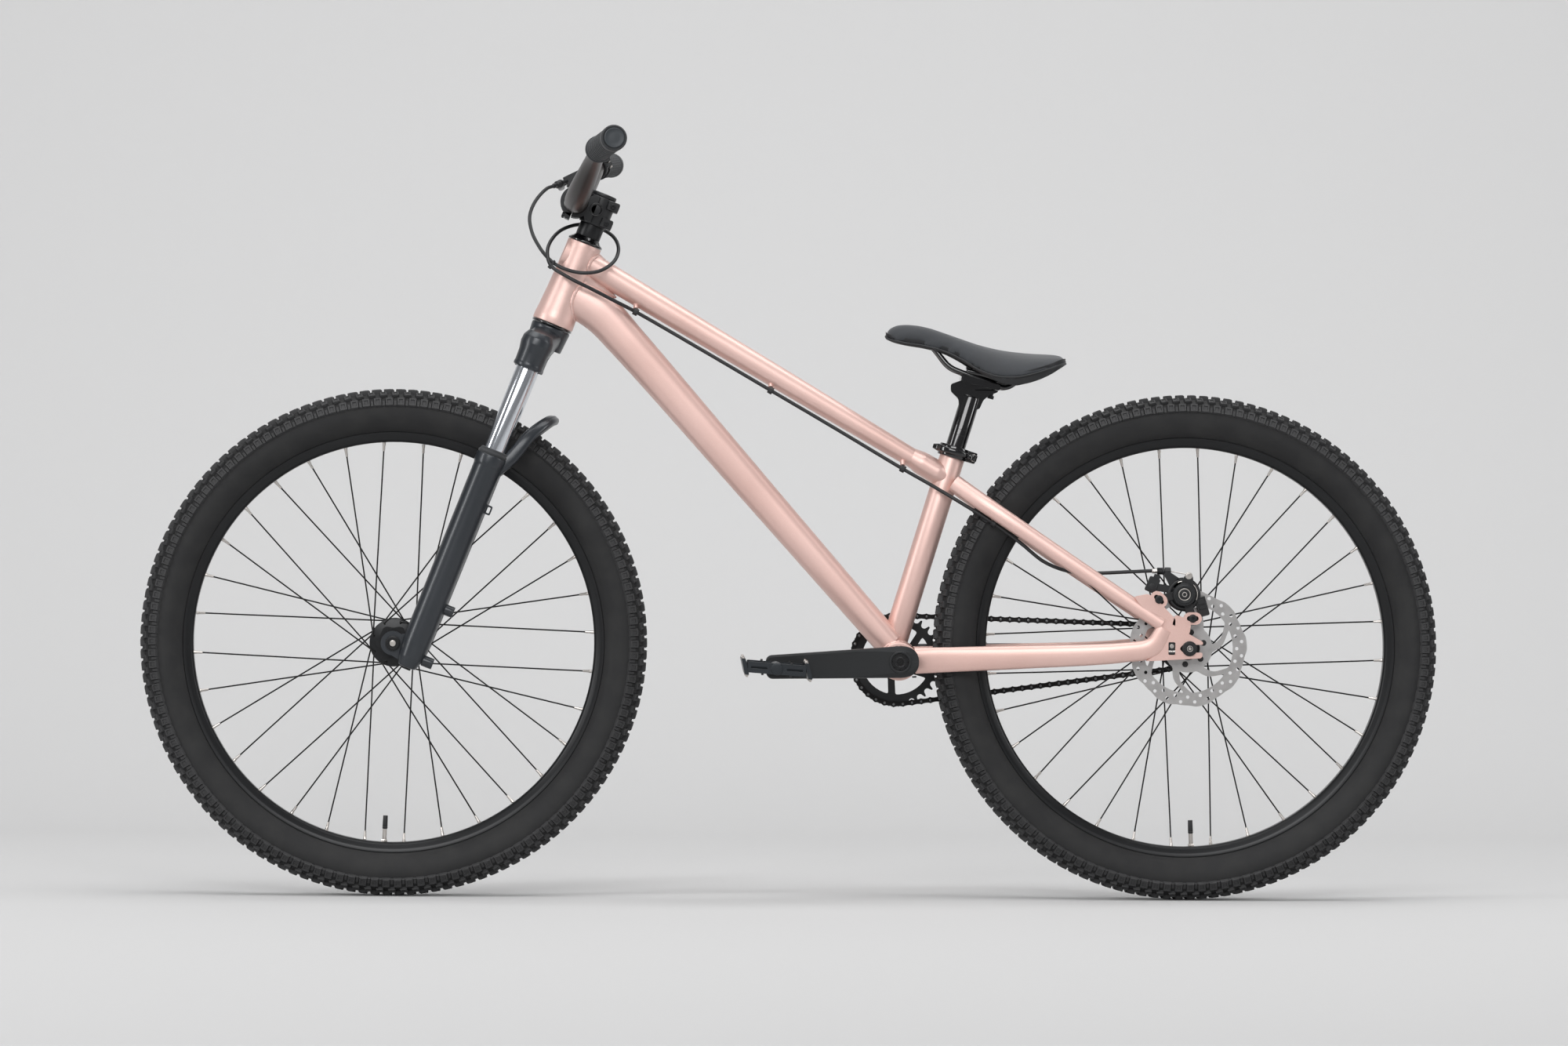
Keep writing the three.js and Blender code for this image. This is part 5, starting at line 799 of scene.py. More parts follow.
def knobBlock(length, width, height, sipe, sunk=knobSizes["sunk"], ease=knobSizes["ease"]):
    # a tapered block along z with its top edges eased and a shallow hollow in its top: x forward, y across
    def loop(x, y, z):
        return [(x, y, z), (-x, y, z), (-x, -y, z), (x, -y, z)]
    x, y, foot = length / 2, width / 2, knobSizes["foot"]
    rings = [loop(x + foot, y + foot, -sunk), loop(x, y, height - ease), loop(x - ease * 0.6, y - ease * 0.6, height)]
    if sipe:
        rings += [loop(x * 0.55, y * 0.55, height), loop(x * 0.45, y * 0.45, height - sipe)]
    return gridPart(np.array(rings, float))


def knobRow(block, radius, side, lean, phase, skew=0.0):
    # copies of one block round the tyre; each stands on the casing and leans outwards with it
    angle = np.radians((np.arange(tyreSize["knobs"]) + phase) * 360 / tyreSize["knobs"])
    zero, one = 0 * angle, 0 * angle + 1
    lean, skew = math.radians(lean), math.radians(skew)
    radial = np.stack([np.cos(angle), zero, np.sin(angle)], -1)
    forward = np.stack([-np.sin(angle), zero, np.cos(angle)], -1)
    across = np.stack([zero, one, zero], -1)
    up = radial * math.cos(lean) + across * math.sin(lean)
    flat = across * math.cos(lean) - radial * math.sin(lean)
    first = forward * math.cos(skew) + flat * math.sin(skew)
    second = flat * math.cos(skew) - forward * math.sin(skew)
    return outward(copies(block, np.stack([first, second, up], -1), radial * radius + across * side))


def tyreTread():
    # every kind of knob in a row on both halves, and a thin bar between them along the middle
    rows = []
    for way in (1, -1):
        for kind in knobRows:
            radius, side, lean, step, skew = kind["row"]
            step = step if way > 0 else kind.get("leftStep", step)
            rows.append(knobRow(knobBlock(*kind["block"]), radius, way * side, way * lean, step, way * skew))
    bar = knobBlock(*middleBar["block"], middleBar["sunk"], middleBar["ease"])
    return joined(*rows, knobRow(bar, *middleBar["row"]))


def rimHoop():
    # half of the rim's section and the same mirrored, carried round the axle
    half = rimSize["corners"]
    return turnedPart(half + [(r, -y) for r, y in half[::-1]], rimSize["round"], 3, rimSize["steps"])


def around(radius, degrees, y=0.0):
    # a place round the axle: radius * cosine, y, radius * sine
    angle = np.radians(degrees)
    return np.stack([radius * np.cos(angle), 0 * angle + y, radius * np.sin(angle)], -1)


def spokeLines(h):
    # three-cross lacing: hole k at the flange runs to the rim three spoke steps on or back, ways alternating
    s = spokeSize
    step = 360 / s["perSide"]
    k = np.arange(s["perSide"])
    way = np.where(k % 2 == 0, 1, -1)
    feet, tips = [], []
    for y, shift, offset in ((h["left"], 0.0, -s["rimOffset"]), (h["right"], 0.5, s["rimOffset"])):
        angle = step * (k + shift) + h["turn"]
        feet.append(around(s["holes"], angle, y + way * s["flare"]))
        tips.append(around(s["rimReach"], angle + way * s["crosses"] * step, offset))
    return np.vstack(feet), np.vstack(tips)


def alongLines(profile, starts, ends, sides):
    # one turned profile [distance from the start, radius] copied along every line
    direction = unit(ends - starts)
    lateral = unit(np.cross(direction, (0, 1, 0)))
    turns = np.stack([lateral, np.cross(direction, lateral), direction], -1)
    part = lathePart([(radius, place) for place, radius in profile], sides, "Z", closed=False)
    return copies(part, turns, starts)


def spokeSet(h):
    # wires with their heads at the flanges, and the nipples measured back from the rim
    feet, tips = spokeLines(h)
    radius = spokeSize["radius"]
    length = float(np.linalg.norm(tips[0] - feet[0]))
    wires = alongLines([(0, radius), (length - nipple["length"] + 1, radius)], feet, tips, 8)
    heads = alongLines(spokeSize["head"], feet, tips, 10)
    return joined(wires, heads), alongLines([(length - back, r) for back, r in nipple["profile"]], feet, tips, 10)


def hubTurned(h):
    # left end, then for each flange a step up, the flange and a step down, with the barrel between, then right end
    f, low = flange, h["barrel"]
    flanges = []
    for y in (h["left"], h["right"]):
        near, far = y - f["half"], y + f["half"]
        flanges += [(low + f["step"], near - f["shoulder"]), (f["radius"], near)]
        flanges += [(f["radius"], far), (low + f["step"], far + f["shoulder"])]
        if y == h["left"]:
            flanges += [(low, far + f["fall"]), (low, h["right"] - f["half"] - f["fall"])]
    return turnedPart(h["ends"][0] + flanges + h["ends"][1], 0.9, 3, 64)


def discMountRing():
    # six lugs for rotor bolts, joined to the hub by a scalloped ring: radius - depth (1 - cos 6a) / 2
    d = discMount
    angle = ringAngles(d["points"])
    reach = d["radius"] - d["scallop"] * (1 - np.cos(angle * d["lobes"])) / 2
    return platePart(np.column_stack([reach * np.cos(angle), reach * np.sin(angle)]), d["low"], d["high"])


def valve(lean):
    # bars along one radius: the stem with its nut, and the cap on its end
    def between(far, near, radius, endRadius, sides, edge):
        return rodPart(around(far, lean), around(near, lean), radius, endRadius, sides, edge)
    stem = joined(between(272.0, 236.0, 2.9, 2.9, 16, 0.4), between(272.0, 268.6, 4.6, 4.6, 6, 0.3))
    return stem, joined(between(252.0, 236.0, 3.5, 3.2, 16, 0.8), between(254.5, 252.0, 3.0, 3.8, 16, 0.3))


def buildWheel(name, axle, body):
    # the pieces of one wheel; the valve stands half way between two spokes at the bottom
    h = hubs[name]
    wires, nipples = spokeSet(h)
    stem, cap = valve(h["turn"] - 90 - 180 / 32)
    hub = hubTurned(h) if name == "rear" else joined(hubTurned(h), discMountRing())
    for label, part, finish, *more in (
        ("tyre", tyreCasing(), "tyre", f"{name}_tyre", 32),
        ("tread", tyreTread(), "knob", "", 32),
        ("rim", rimHoop(), "anodised", f"{name}_rim"),
        ("spokes", wires, "spoke", f"{name}_hub_and_spokes"),
        ("nipples", nipples, "steel", "", 38, (), "steel"),
        ("hub", hub, "anodised"),
        ("valve", stem, "steel", "", 38, (), "steel"),
        ("valveCap", cap, "plastic", f"{name}_valve", 38, (), "cable_plastic"),
    ):
        piece(f"{name}.{label}", moved(part, *axle), body, finish, *more)
    print(name, "wheel made")


buildWheel("front", frontAxle, "front_wheel")
buildWheel("rear", rearAxle, "rear_wheel")


# Frame

headTube = [
    (20.0, 0.4), (28.6, 0.2), (28.6, 9.0), (27.6, 18.0), (26.0, 46.0), (24.4, 82.0), (23.8, 109.0),
    (23.8, 117.8), (20.0, 117.6),
]
seatTube = {"radius": 17.3, "bore": 13.9, "low": 23.0, "high": 303.0}
shell = {"radius": 26.0, "bore": 17.8, "half": 36.5}
topTube = {
    "path": [(-279.5, 0, 861.4), (-12.4, 0, 704.0), (207.0, 0, 575.0)], "wide": [18.0, 16.0, 15.0],
    "tall": [17.2, 15.4, 12.6], "full": 2.3,
}
downTube = {
    "path": [(-307.0, 0, 822.0), (-264.0, 0, 796.0), (-222.0, 0, 752.0), (-39.0, 0, 544.5), (136.0, 0, 346.0)],
    "wide": [22.6, 24.5, 25.0, 22.0, 27.0], "tall": [28.6, 28.0, 26.0, 22.4, 19.5], "full": [2.4, 2.6, 2.8, 2.8, 2.6],
}
seatStay = {
    "path": [(222.0, 22.0, 566.0), (272.8, 44.0, 530.4), (362.0, 55.0, 470.0), (502.0, 70.5, 376.8)],
    "wide": [9.0, 8.7, 8.5, 6.5], "tall": [12.0, 11.4, 11.0, 9.5], "full": 2.3,
}
chainStay = {
    "path": [
        (170.0, 31.0, 324.8), (200.0, 38.4, 326.0), (300.0, 50.0, 330.5), (450.0, 68.0, 338.6), (489.0, 70.5, 346.0),
        (505.0, 70.5, 371.0),
    ],
    "wide": [7.6, 5.6, 8.0, 7.0, 6.5, 6.5], "tall": [18.0, 17.2, 16.4, 13.6, 13.6, 11.0],
    "full": [2.6, 2.8, 2.4, 2.4, 2.4, 2.4],
}
# Cast webs in the corners between tubes: points in the middle plane, half widths and half heights
fillets = {
    "shoulder": (
        [(-312, 0, 876), (-286, 0, 864), (-262, 0, 851), (-236, 0, 836.5)], [20, 19, 15.5, 11], [27, 24, 17.0, 10],
    ),
    "web": (
        [(-302, 0, 846), (-276, 0, 832.5), (-256, 0, 823), (-240, 0, 815.5)], [21, 16, 11, 4], [18, 13.5, 8, 0.8],
    ),
    "cluster": (
        [(146, 0, 611.5), (176, 0, 594), (200, 0, 580), (216, 0, 571), (229, 0, 563.5)],
        [9, 19.6, 20.6, 15.0, 6], [9, 15.8, 16.4, 11.0, 5],
    ),
    "gusset": ([(144, 0, 338), (142.5, 0, 356), (141, 0, 368), (139.6, 0, 379)], [20, 17, 12, 4], [19, 12, 6.5, 0.8]),
}
bead = {"radius": 2.5, "ripple": 0.08, "waves": 5.2, "sides": 8, "around": 144}
guideSpots = {
    "places": [(-213.73, -17.0, 795.81), (-29.47, -16.0, 690.54), (150.86, -22.0, 585.2), (274.5, -37.0, 512.1)],
    "towards": [(0.873, 0.0, -0.488), (0.867, -0.01, -0.499), (0.862, -0.1, -0.495), (0.83, -0.04, -0.56)],
    "lift": [(0, 11, 14), (0, 11, 14), (0, 15, 14), (0, 3, 14)],
    "boss": 3.2, "ring": 4.9, "bore": 3.4, "half": 3.4,
}


def tubeOf(shape, sides, count, way=1):
    # rings of a tube along its curve, on the side that way names: y becomes way * y
    path = through([(x, way * y, z) for x, y, z in shape["path"]], count)
    full = stretched(shape["full"], count) if isinstance(shape["full"], list) else shape["full"]
    return sweepRings(path, stretched(shape["wide"], count), stretched(shape["tall"], count), full, sides)


def resampled(loop, stops, length):
    # the loop's points read at the stops, as lengths run along it
    return np.column_stack([np.interp(stops, length, loop[:, k]) for k in range(3)])


def lengthAlong(loop):
    # the sum of the steps up to each point
    return np.concatenate([[0], np.cumsum(np.linalg.norm(np.diff(loop, axis=0), axis=1))])


def weld(rings, foot, axis, radius):
    # a rippled bead where each line from the first ring to the third meets the neighbour's round surface:
    # the larger root of a t^2 + 2 b t + c = 0
    start, finish = rings[0], rings[2]
    axis = unit(np.asarray(axis, float))
    run, away = finish - start, start - foot
    run = run - (run @ axis)[:, None] * axis
    away = away - (away @ axis)[:, None] * axis
    a, b, c = (run * run).sum(1), (run * away).sum(1), (away * away).sum(1) - radius**2
    share = (-b + np.sqrt(np.maximum(b * b - a * c, 0))) / a
    return beadAlong(start + share[:, None] * (finish - start))


def beadAlong(loop):
    # a closed bead whose radius swells and shrinks with the length run along it
    loop = np.vstack([loop, loop[:1]])
    length = lengthAlong(loop)
    path = resampled(loop, np.linspace(0, length[-1], bead["around"] + 1)[:-1], length)
    along = unit(np.roll(path, -1, 0) - np.roll(path, 1, 0))
    out = path - path.mean(0)
    out = unit(out - (out * along).sum(1, keepdims=True) * along)
    third = np.cross(along, out)
    turns = 2 * math.pi * round(length[-1] / bead["waves"])
    radius = bead["radius"] * (1 + bead["ripple"] * np.sin(np.linspace(0, turns, bead["around"], endpoint=False)))
    angle = ringAngles(bead["sides"])[:, None]
    ring = np.cos(angle) * out[:, None] + np.sin(angle) * third[:, None]
    return gridPart(path[:, None] + radius[:, None, None] * ring, loopRows=True)


def leaning(line):
    # a line's direction: the sine of its lean along x and the cosine along z
    lean = math.radians(line["lean"])
    return np.array([math.sin(lean), 0, math.cos(lean)])


def fillet(name):
    # a web swept along its few points, finer for the two large ones
    points, wide, tall = fillets[name]
    sides, count = (48, 40) if name in ("shoulder", "cluster") else (36, 32)
    return curvedPart(points, wide, tall, 2.2, sides, count=count)


def cableGuides(which):
    # a small welded boss at each spot, that holds the clip of the cable
    places, lifts = (np.array(guideSpots[key], float)[list(which)] for key in ("places", "lift"))
    boss = guideSpots["boss"]
    return [rodPart(place + lift * 0.3, place + lift, boss, boss * 1.15, 16) for place, lift in zip(places, lifts)]


def cableClips():
    # a black clip round the cable at each boss, with a small tie standing off it
    g = guideSpots
    made = []
    for place, way in zip(*(np.array(g[key], float) for key in ("places", "towards"))):
        reach = unit(way) * g["half"]
        made.append(sleeve(place - reach, place + reach, g["bore"], g["ring"], 24))
        made.append(roundedBox(2.2, 1.6, 2.2, 0.5, place - at(0, g["ring"], 0), 2))
    piece("cableClips", joined(*made), "frame", "plastic", slot="cable_plastic")


headFoot, seatFoot = (at(line["x"], 0, line["z"]) for line in (headLine, seatLine))
shellFoot = at(*bike["bottomBracket"])


def buildFrame():
    # tubes with their beads and webs, each in the place of its CAD node
    s, t = shell, seatTube
    acrossShell = (shellFoot, (0, 1, 0), s["radius"])
    top, down = tubeOf(topTube, 40, 40), tubeOf(downTube, 48, 48)
    ring = np.insert(circle(t["radius"], 40), 2, 0, 1)
    foot = np.array([onSeat((ring + at(0, 0, z), None, None))[0] for z in (18, 30, 42)])
    topPart = joined(
        gridPart(top), fillet("shoulder"), fillet("web"), fillet("cluster"),
        weld(top, headFoot, leaning(headLine), 24.2), weld(top[::-1], seatFoot, leaning(seatLine), t["radius"]),
        *cableGuides((0, 1, 2)),
    )
    downPart = joined(
        gridPart(down), fillet("gusset"),
        weld(down, headFoot, leaning(headLine), 26.2), weld(down[::-1], *acrossShell),
    )
    seatPart = joined(
        onSeat(ringPart(t["bore"], t["radius"], t["low"], t["high"], 64, 0.6, "Z", 2)), weld(foot, *acrossShell),
    )
    shellPart = moved(ringPart(s["bore"], s["radius"], -s["half"], s["half"], 72, 1.2), *shellFoot)
    for name, part, node in (
        ("headTube", onHead(turnedPart(headTube, 1.0, 3, 72, "Z")), "head_tube"),
        ("topTube", topPart, "top_tube"),
        ("downTube", downPart, "down_tube"),
        ("seatTube", seatPart, "seat_tube"),
        ("shell", shellPart, "bottom_bracket_shell"),
    ):
        piece(f"frame.{name}", part, "frame", "frame", node)
    for side, way in bothWays:
        guide = cableGuides((3,)) if way < 0 else []
        upper = joined(gridPart(tubeOf(seatStay, 32, 48, way)), *guide)
        lower = gridPart(tubeOf(chainStay, 32, 56, way))
        piece(f"frame.seatStay.{side}", upper, "frame", "frame", f"seatstay_{side}")
        piece(f"frame.chainStay.{side}", lower, "frame", "frame", f"chainstay_{side}")


buildFrame()
print("frame made")


# Fork and headset, in the steering's own leaning frame

forkSize = {"x": -8.3, "y": 64.5, "stanchion": 15.0, "top": -34.0, "bottom": -376.0, "axle": (-37.7, -481.6)}
crownSize = {
    "boss": [(pole, -34.0), (25.0, -34.0), (27.2, -6.0), (26.4, -4.0), (pole, -4.0)],
    "socket": [
        (pole, -33.0), (15.3, -33.0), (15.3, -69.0), (20.0, -69.0), (20.6, -67.6), (20.6, -64.0), (20.1, -62.6),
        (20.5, -48.0), (22.6, -36.0), (21.8, -27.0), (17.2, -19.0), (pole, -19.0),
    ],
    "armPath": [
        (-8.3, -64.5, -36.7), (-4.2, -32.2, -27.8), (0.0, 0.0, -17.2), (-4.2, 32.2, -27.8), (-8.3, 64.5, -36.7),
    ],
    "armWide": [20.0, 20.6, 21.0, 20.6, 20.0], "armTall": [17.6, 16.4, 11.9, 16.4, 17.6],
    "steerer": (-10, 185), "steererRadius": 14.3,
}
legSize = {
    "profile": [
        (15.5, -196.0), (19.8, -196.0), (20.9, -197.4), (21.0, -208.0), (20.6, -210.4), (19.7, -213.0),
        (19.5, -300.0), (19.1, -440.0), (18.9, -470.0), (16.8, -491.0), (12.4, -504.0), (9.0, -505.0),
        (pole, -505.0), (pole, -462.0), (15.5, -462.0),
    ],
    "seal": [
        (15.2, -196.2), (20.1, -196.2), (20.5, -193.4), (18.8, -191.2), (18.2, -188.6), (16.2, -187.6),
        (15.2, -188.6),
    ],
}
dropSize = {
    "radius": 16.5, "bore": 5.2, "inner": 50.0, "outer": 61.5, "after": [
        (-8.3, -502.0), (3.2, -465.1), (-14.0, -457.5),
    ],
}
archSize = {
    "path": [
        (2.0, 64.5, -222.0), (17.0, 62.0, -189.0), (29.0, 54.2, -152.5), (44.0, 33.5, -127.0), (50.0, 0.0, -121.0),
    ],
    "wide": [7.0, 9.5, 8.5, 8.0, 8.0], "tall": 6.0, "ridgeWide": 2.2, "ridgeTall": 1.4,
}
tabSize = {"start": 16.2, "end": 31.4, "y": -61.5, "bore": 2.6, "radius": 7.5, "levels": (-413, -488)}
hoseLoop = {"centre": (14.8, -266.7), "outer": (4.2, 6.5), "inner": (2.0, 4.1), "low": -66.3, "high": -62.7}
axleEnds = {
    "foot": (6.4, 3.0, 2.6), "footZ": -504.6, "cap": (10.0, -66.0, -61.8, 48, 0.8), "rim": (
        6.2, 8.4, -66.8, -65.6, 48, 0.3,
    ),
    "half": 62, "radius": 4.9, "centre": (4.2, -67.4, -65.8, 32, 0.5),
}
headsetSize = {
    "lower": [(14.8, -3.7), (27.4, -3.7), (28.4, -2.8), (28.4, -1.2), (27.6, -0.3), (14.8, -0.3)],
    "cover": [
        (14.6, 118.3), (24.4, 118.3), (24.4, 120.4), (23.6, 121.2), (20.4, 123.4), (18.2, 126.0), (17.2, 127.3),
        (14.6, 127.3),
    ],
    "spacer": [(14.6, 127.6), (17.0, 127.6), (17.0, 145.4), (14.6, 145.4)],
}


def there(values):
    # the second half of a symmetric list follows its first
    return values + values[-2::-1]


def buildCrown():
    # boss, sockets and arms are one casting with the steerer; the stanchions stand in the sockets
    f, c = forkSize, crownSize
    socket = moved(turnedPart(c["socket"], 0.7, 2, 64, "Z"), f["x"], f["y"], 0)
    arms = curvedPart(c["armPath"], c["armWide"], c["armTall"], 3.0, 48, (1, 0, 0))
    boss = turnedPart(c["boss"], 1.6, 3, 64, "Z", closed=False)
    steerer = rodPart(*(at(0, 0, z) for z in c["steerer"]), c["steererRadius"], sides=40)
    crown = joined(boss, arms, bothSides(socket), steerer)
    piece("fork.crown", onHead(crown), "steering", "fork", "fork_crown_and_steerer", 44)
    for side, way in bothWays:
        ends = (at(f["x"], way * f["y"], f[level]) for level in ("bottom", "top"))
        tube = rodPart(*ends, f["stanchion"], sides=64, edge=0.8)
        piece(f"fork.stanchion.{side}", onHead(tube), "steering", "chrome", f"stanchion_{side}")


def buildLowers():
    # both legs, their drop plates, the arch with its ridge and the left leg's brake tabs are one casting
    f, d, a, h = forkSize, dropSize, archSize, hoseLoop
    x, z = f["axle"]
    leg = moved(turnedPart(legSize["profile"], 0.8, 2, 64, "Z"), f["x"], f["y"], 0)
    bore = circle(d["bore"], 24) + (x, z)
    drop = platePart(arcPoints(x, z, d["radius"], 70, 285, 40) + d["after"], d["inner"], d["outer"], [bore])
    path = a["path"] + [(px, -py, pz) for px, py, pz in a["path"][-2::-1]]
    arch = curvedPart(path, there(a["wide"]), [a["tall"]] * 2, 2.6, 32, (1, 0, 0), 72)
    above = through([(px + 0.5, py, pz + 5.4) for px, py, pz in path[1:-1]], 60)
    ridge = sweepPart(above, a["ridgeWide"], a["ridgeTall"], 2.0, 12, (1, 0, 0))
    t = tabSize
    reach = [f["x"] + t[end] for end in ("start", "end")]
    tabs = [
        sleeve(*(at(px, t["y"], level) for px in reach), t["bore"], t["radius"], 32, 0.9) for level in t["levels"]
    ]
    casting = joined(bothSides(leg), bothSides(drop), arch, ridge, *tabs)
    outer, inner = (
        rounded(np.array(box(*h[key])) + h["centre"], soft, 4)
        for key, soft in (("outer", 2.4), ("inner", 1.4))
    )
    seal = moved(turnedPart(legSize["seal"], 0.5, 2, 64, "Z"), f["x"], f["y"], 0)
    e = axleEnds
    foot = moved(turned(boltPart(*e["foot"]), "X", 90), f["x"], f["y"], e["footZ"])
    cap = joined(discPart(*e["cap"]), ringPart(*e["rim"]))
    axle = joined(bothSides(cap), rodPart(at(0, -e["half"], 0), at(0, e["half"], 0), e["radius"], sides=32))
    centre = bothSides(discPart(*e["centre"]))
    piece("fork.lowers", onHead(casting), "lowers", "fork", "fork_lowers", ease=(0.8, 2))
    piece("fork.hoseLoop", onHead(platePart(outer, h["low"], h["high"], [inner])), "lowers", "fork")
    piece("fork.seals", onHead(bothSides(seal)), "lowers", "grip", slot="black_satin")
    piece("fork.footBolts", onHead(bothSides(foot)), "lowers", "anodised")
    piece("front.axle", onHead(moved(axle, x, 0, z)), "lowers", "anodised", "front_axle")
    piece("front.axleCentre", onHead(moved(centre, x, 0, z)), "lowers", "steel", slot="steel")


def buildHeadset():
    # three rings turned about the steering's axis
    for name, node, finish, body in (
        ("lower", "headset_lower_ring", "gloss", "frame"),
        ("cover", "headset_cover", "gloss", "steering"),
        ("spacer", "headset_spacer", "anodised", "steering"),
    ):
        piece(f"headset.{name}", onHead(turnedPart(headsetSize[name], 0.5, 3, 72, "Z")), body, finish, node)


buildCrown()
buildLowers()
buildHeadset()
print("fork and headset made")


# Stem, handlebar and grips

stemSize = {
    "bore": 14.6, "radius": 19.7, "low": 145.7, "high": 185.3, "bar": (-32.0, 166.0), "clamp": (21.5, 16.5),
    "neck": [(-12, 184.2), (-4, 184.4), (-4, 147.2), (-12, 147.4)], "slabs": [(-24, -15), (15, 24), (-10, 10)],
    "lip": 21.4, "strips": [(-24, -13), (13, 24)],
    "bridge": [(-0.6, 16.6), (-0.6, 26), (-7.4, 26), (-9.2, 18.6)], "boss": (17.2, 12.4),
    "bossBox": (8.2, 19, 6.6, 1.6), "bossBolt": (3.6, 3.0, 1.8), "bossEnd": (3.6, -2, 0, 6, 0.6),
    "faceBolt": (-8.6, 18.5, 22.6), "faceHead": (3.4, 3.2, 1.7), "capHead": (4.4, 1.6, 2.2), "capZ": 189.0,
    "window": -3.2, "ringRadii": (7.4, 9.0), "plugRadius": 7.3, "rings": [(-24.3, -18.5), (18.5, 24.3)],
    "plugs": [(-24.0, -19.0), (19.0, 24.0)],
    "cap": [
        (pole, 185.6), (17.0, 185.6), (17.5, 186.4), (17.5, 189.8), (16.6, 190.9), (8.0, 191.1), (6.2, 190.6),
        (5.2, 189.0), (pole, 189.0),
    ],
}
barSize = {
    "half": 376.0, "bend": (46.0, 251.0), "straight": 248.0, "taper": (88, 236), "thick": 15.9, "thin": 11.1,
    "stations": 150, "middle": (-32.0, 166.0), "gripStart": (-27.0, 232.0), "end": (-11.5, 248.0),
}
gripSize = {
    "start": 251.0, "bore": 12.1, "radius": 15.7, "depth": 0.95, "rings": 12.15, "sway": 0.16, "waves": 3,
    "lattice": (24, 14), "flange": 18.0, "flangeLength": 5.0, "tail": 13, "tailRise": 1.5, "rim": 1.6,
    "steps": 110, "sides": 84,
    "cap": [(pole, 0.6), (12.9, 0.6), (13.4, 1.6), (13.2, 2.2), (12.2, 2.6), (11.6, 2.2), (6.0, 2.6), (pole, 2.8)],
}


def barCentre(y):
    # a smooth step carries the bar from the clamp up to the grip, then it runs straight to its end
    b = barSize
    y = np.asarray(y, float)
    rise = smooth(np.abs(y), *b["bend"])
    past = np.clip((np.abs(y) - b["straight"]) / (b["half"] - b["straight"]), 0, 1)
    x, z = (m + (g - m) * rise + (e - g) * past for m, g, e in zip(b["middle"], b["gripStart"], b["end"]))
    return np.stack([x, y, z], -1)


def handlebar():
    # a round bar along its centre line: thick in the clamp and thin from the bends on, with a smooth step between
    b = barSize
    y = np.linspace(-b["half"], b["half"], b["stations"])
    radius = b["thick"] + (b["thin"] - b["thick"]) * smooth(np.abs(y), *b["taper"])
    return sweepPart(barCentre(y), radius, radius, 2.0, 48, (1, 0, 0))


def gripLine(way):
    # where the grip starts, its direction to the bar's end and its length
    start, end = barCentre(way * gripSize["start"]), barCentre(way * barSize["half"])
    return start, unit(end - start), np.linalg.norm(end - start)


def gripSkin(way, wavy):
    # the grip's skin: rings across it whose place along sways with the angle when wavy, a fine lattice when not
    g = gripSize
    start, along, length = gripLine(way)
    lateral = unit(np.cross(along, (0, 0, 1.0)))
    share, angle = np.linspace(0, 1, g["steps"])[:, None], ringAngles(g["sides"])[None]
    ring = np.cos(angle)[..., None] * lateral + np.sin(angle)[..., None] * np.cross(lateral, along)
    place, tail = share * length, length - g["tail"]
    body = np.clip(np.minimum(place - g["flangeLength"], tail - place) / 2.0, 0, 1)
    if wavy:
        ridge = np.clip(
            1.7 * np.cos(2 * math.pi * (share * g["rings"] + g["sway"] * np.sin(angle * g["waves"]))), -1, 1,
        )
    else:
        rows, around = g["lattice"]
        ridge = np.clip(2.4 * np.cos(2 * math.pi * share * rows) * np.cos(angle * around), -1, 1) * 0.6
    ends = (g["flange"] - g["radius"]) * smooth(
        g["flangeLength"] - place, 0, 1.2,
    ) + g["tailRise"] * smooth(place, tail, tail + 3)
    radius = (g["radius"] + g["depth"] * ridge * body + ends)[..., None]
    centre = (start + along * place)[:, None]
    edge = centre[-1:] + along * g["rim"] + (radius[-1:] - g["rim"]) * ring
    return gridPart(np.concatenate([centre + radius * ring, edge, centre[[-1, 0]] + g["bore"] * ring]), loopRows=True)


def gripCap(way):
    # a plain domed plug in the grip's end with a raised rim round it
    start, along, length = gripLine(way)
    plug = lathePart(gripSize["cap"], 48, "Z", closed=False)
    lateral = unit(np.cross(along, (0, 0, 1.0)))
    turns = np.stack([lateral, np.cross(along, lateral), along], -1)[None]
    return outward(copies(plug, turns, (start + along * length)[None]))


def stemPiece(name, part, finish="satin", stands="", **more):
    # a piece of the stem, from the steering's frame
    piece(f"stem.{name}", onHead(part), "steering", finish, stands, **more)


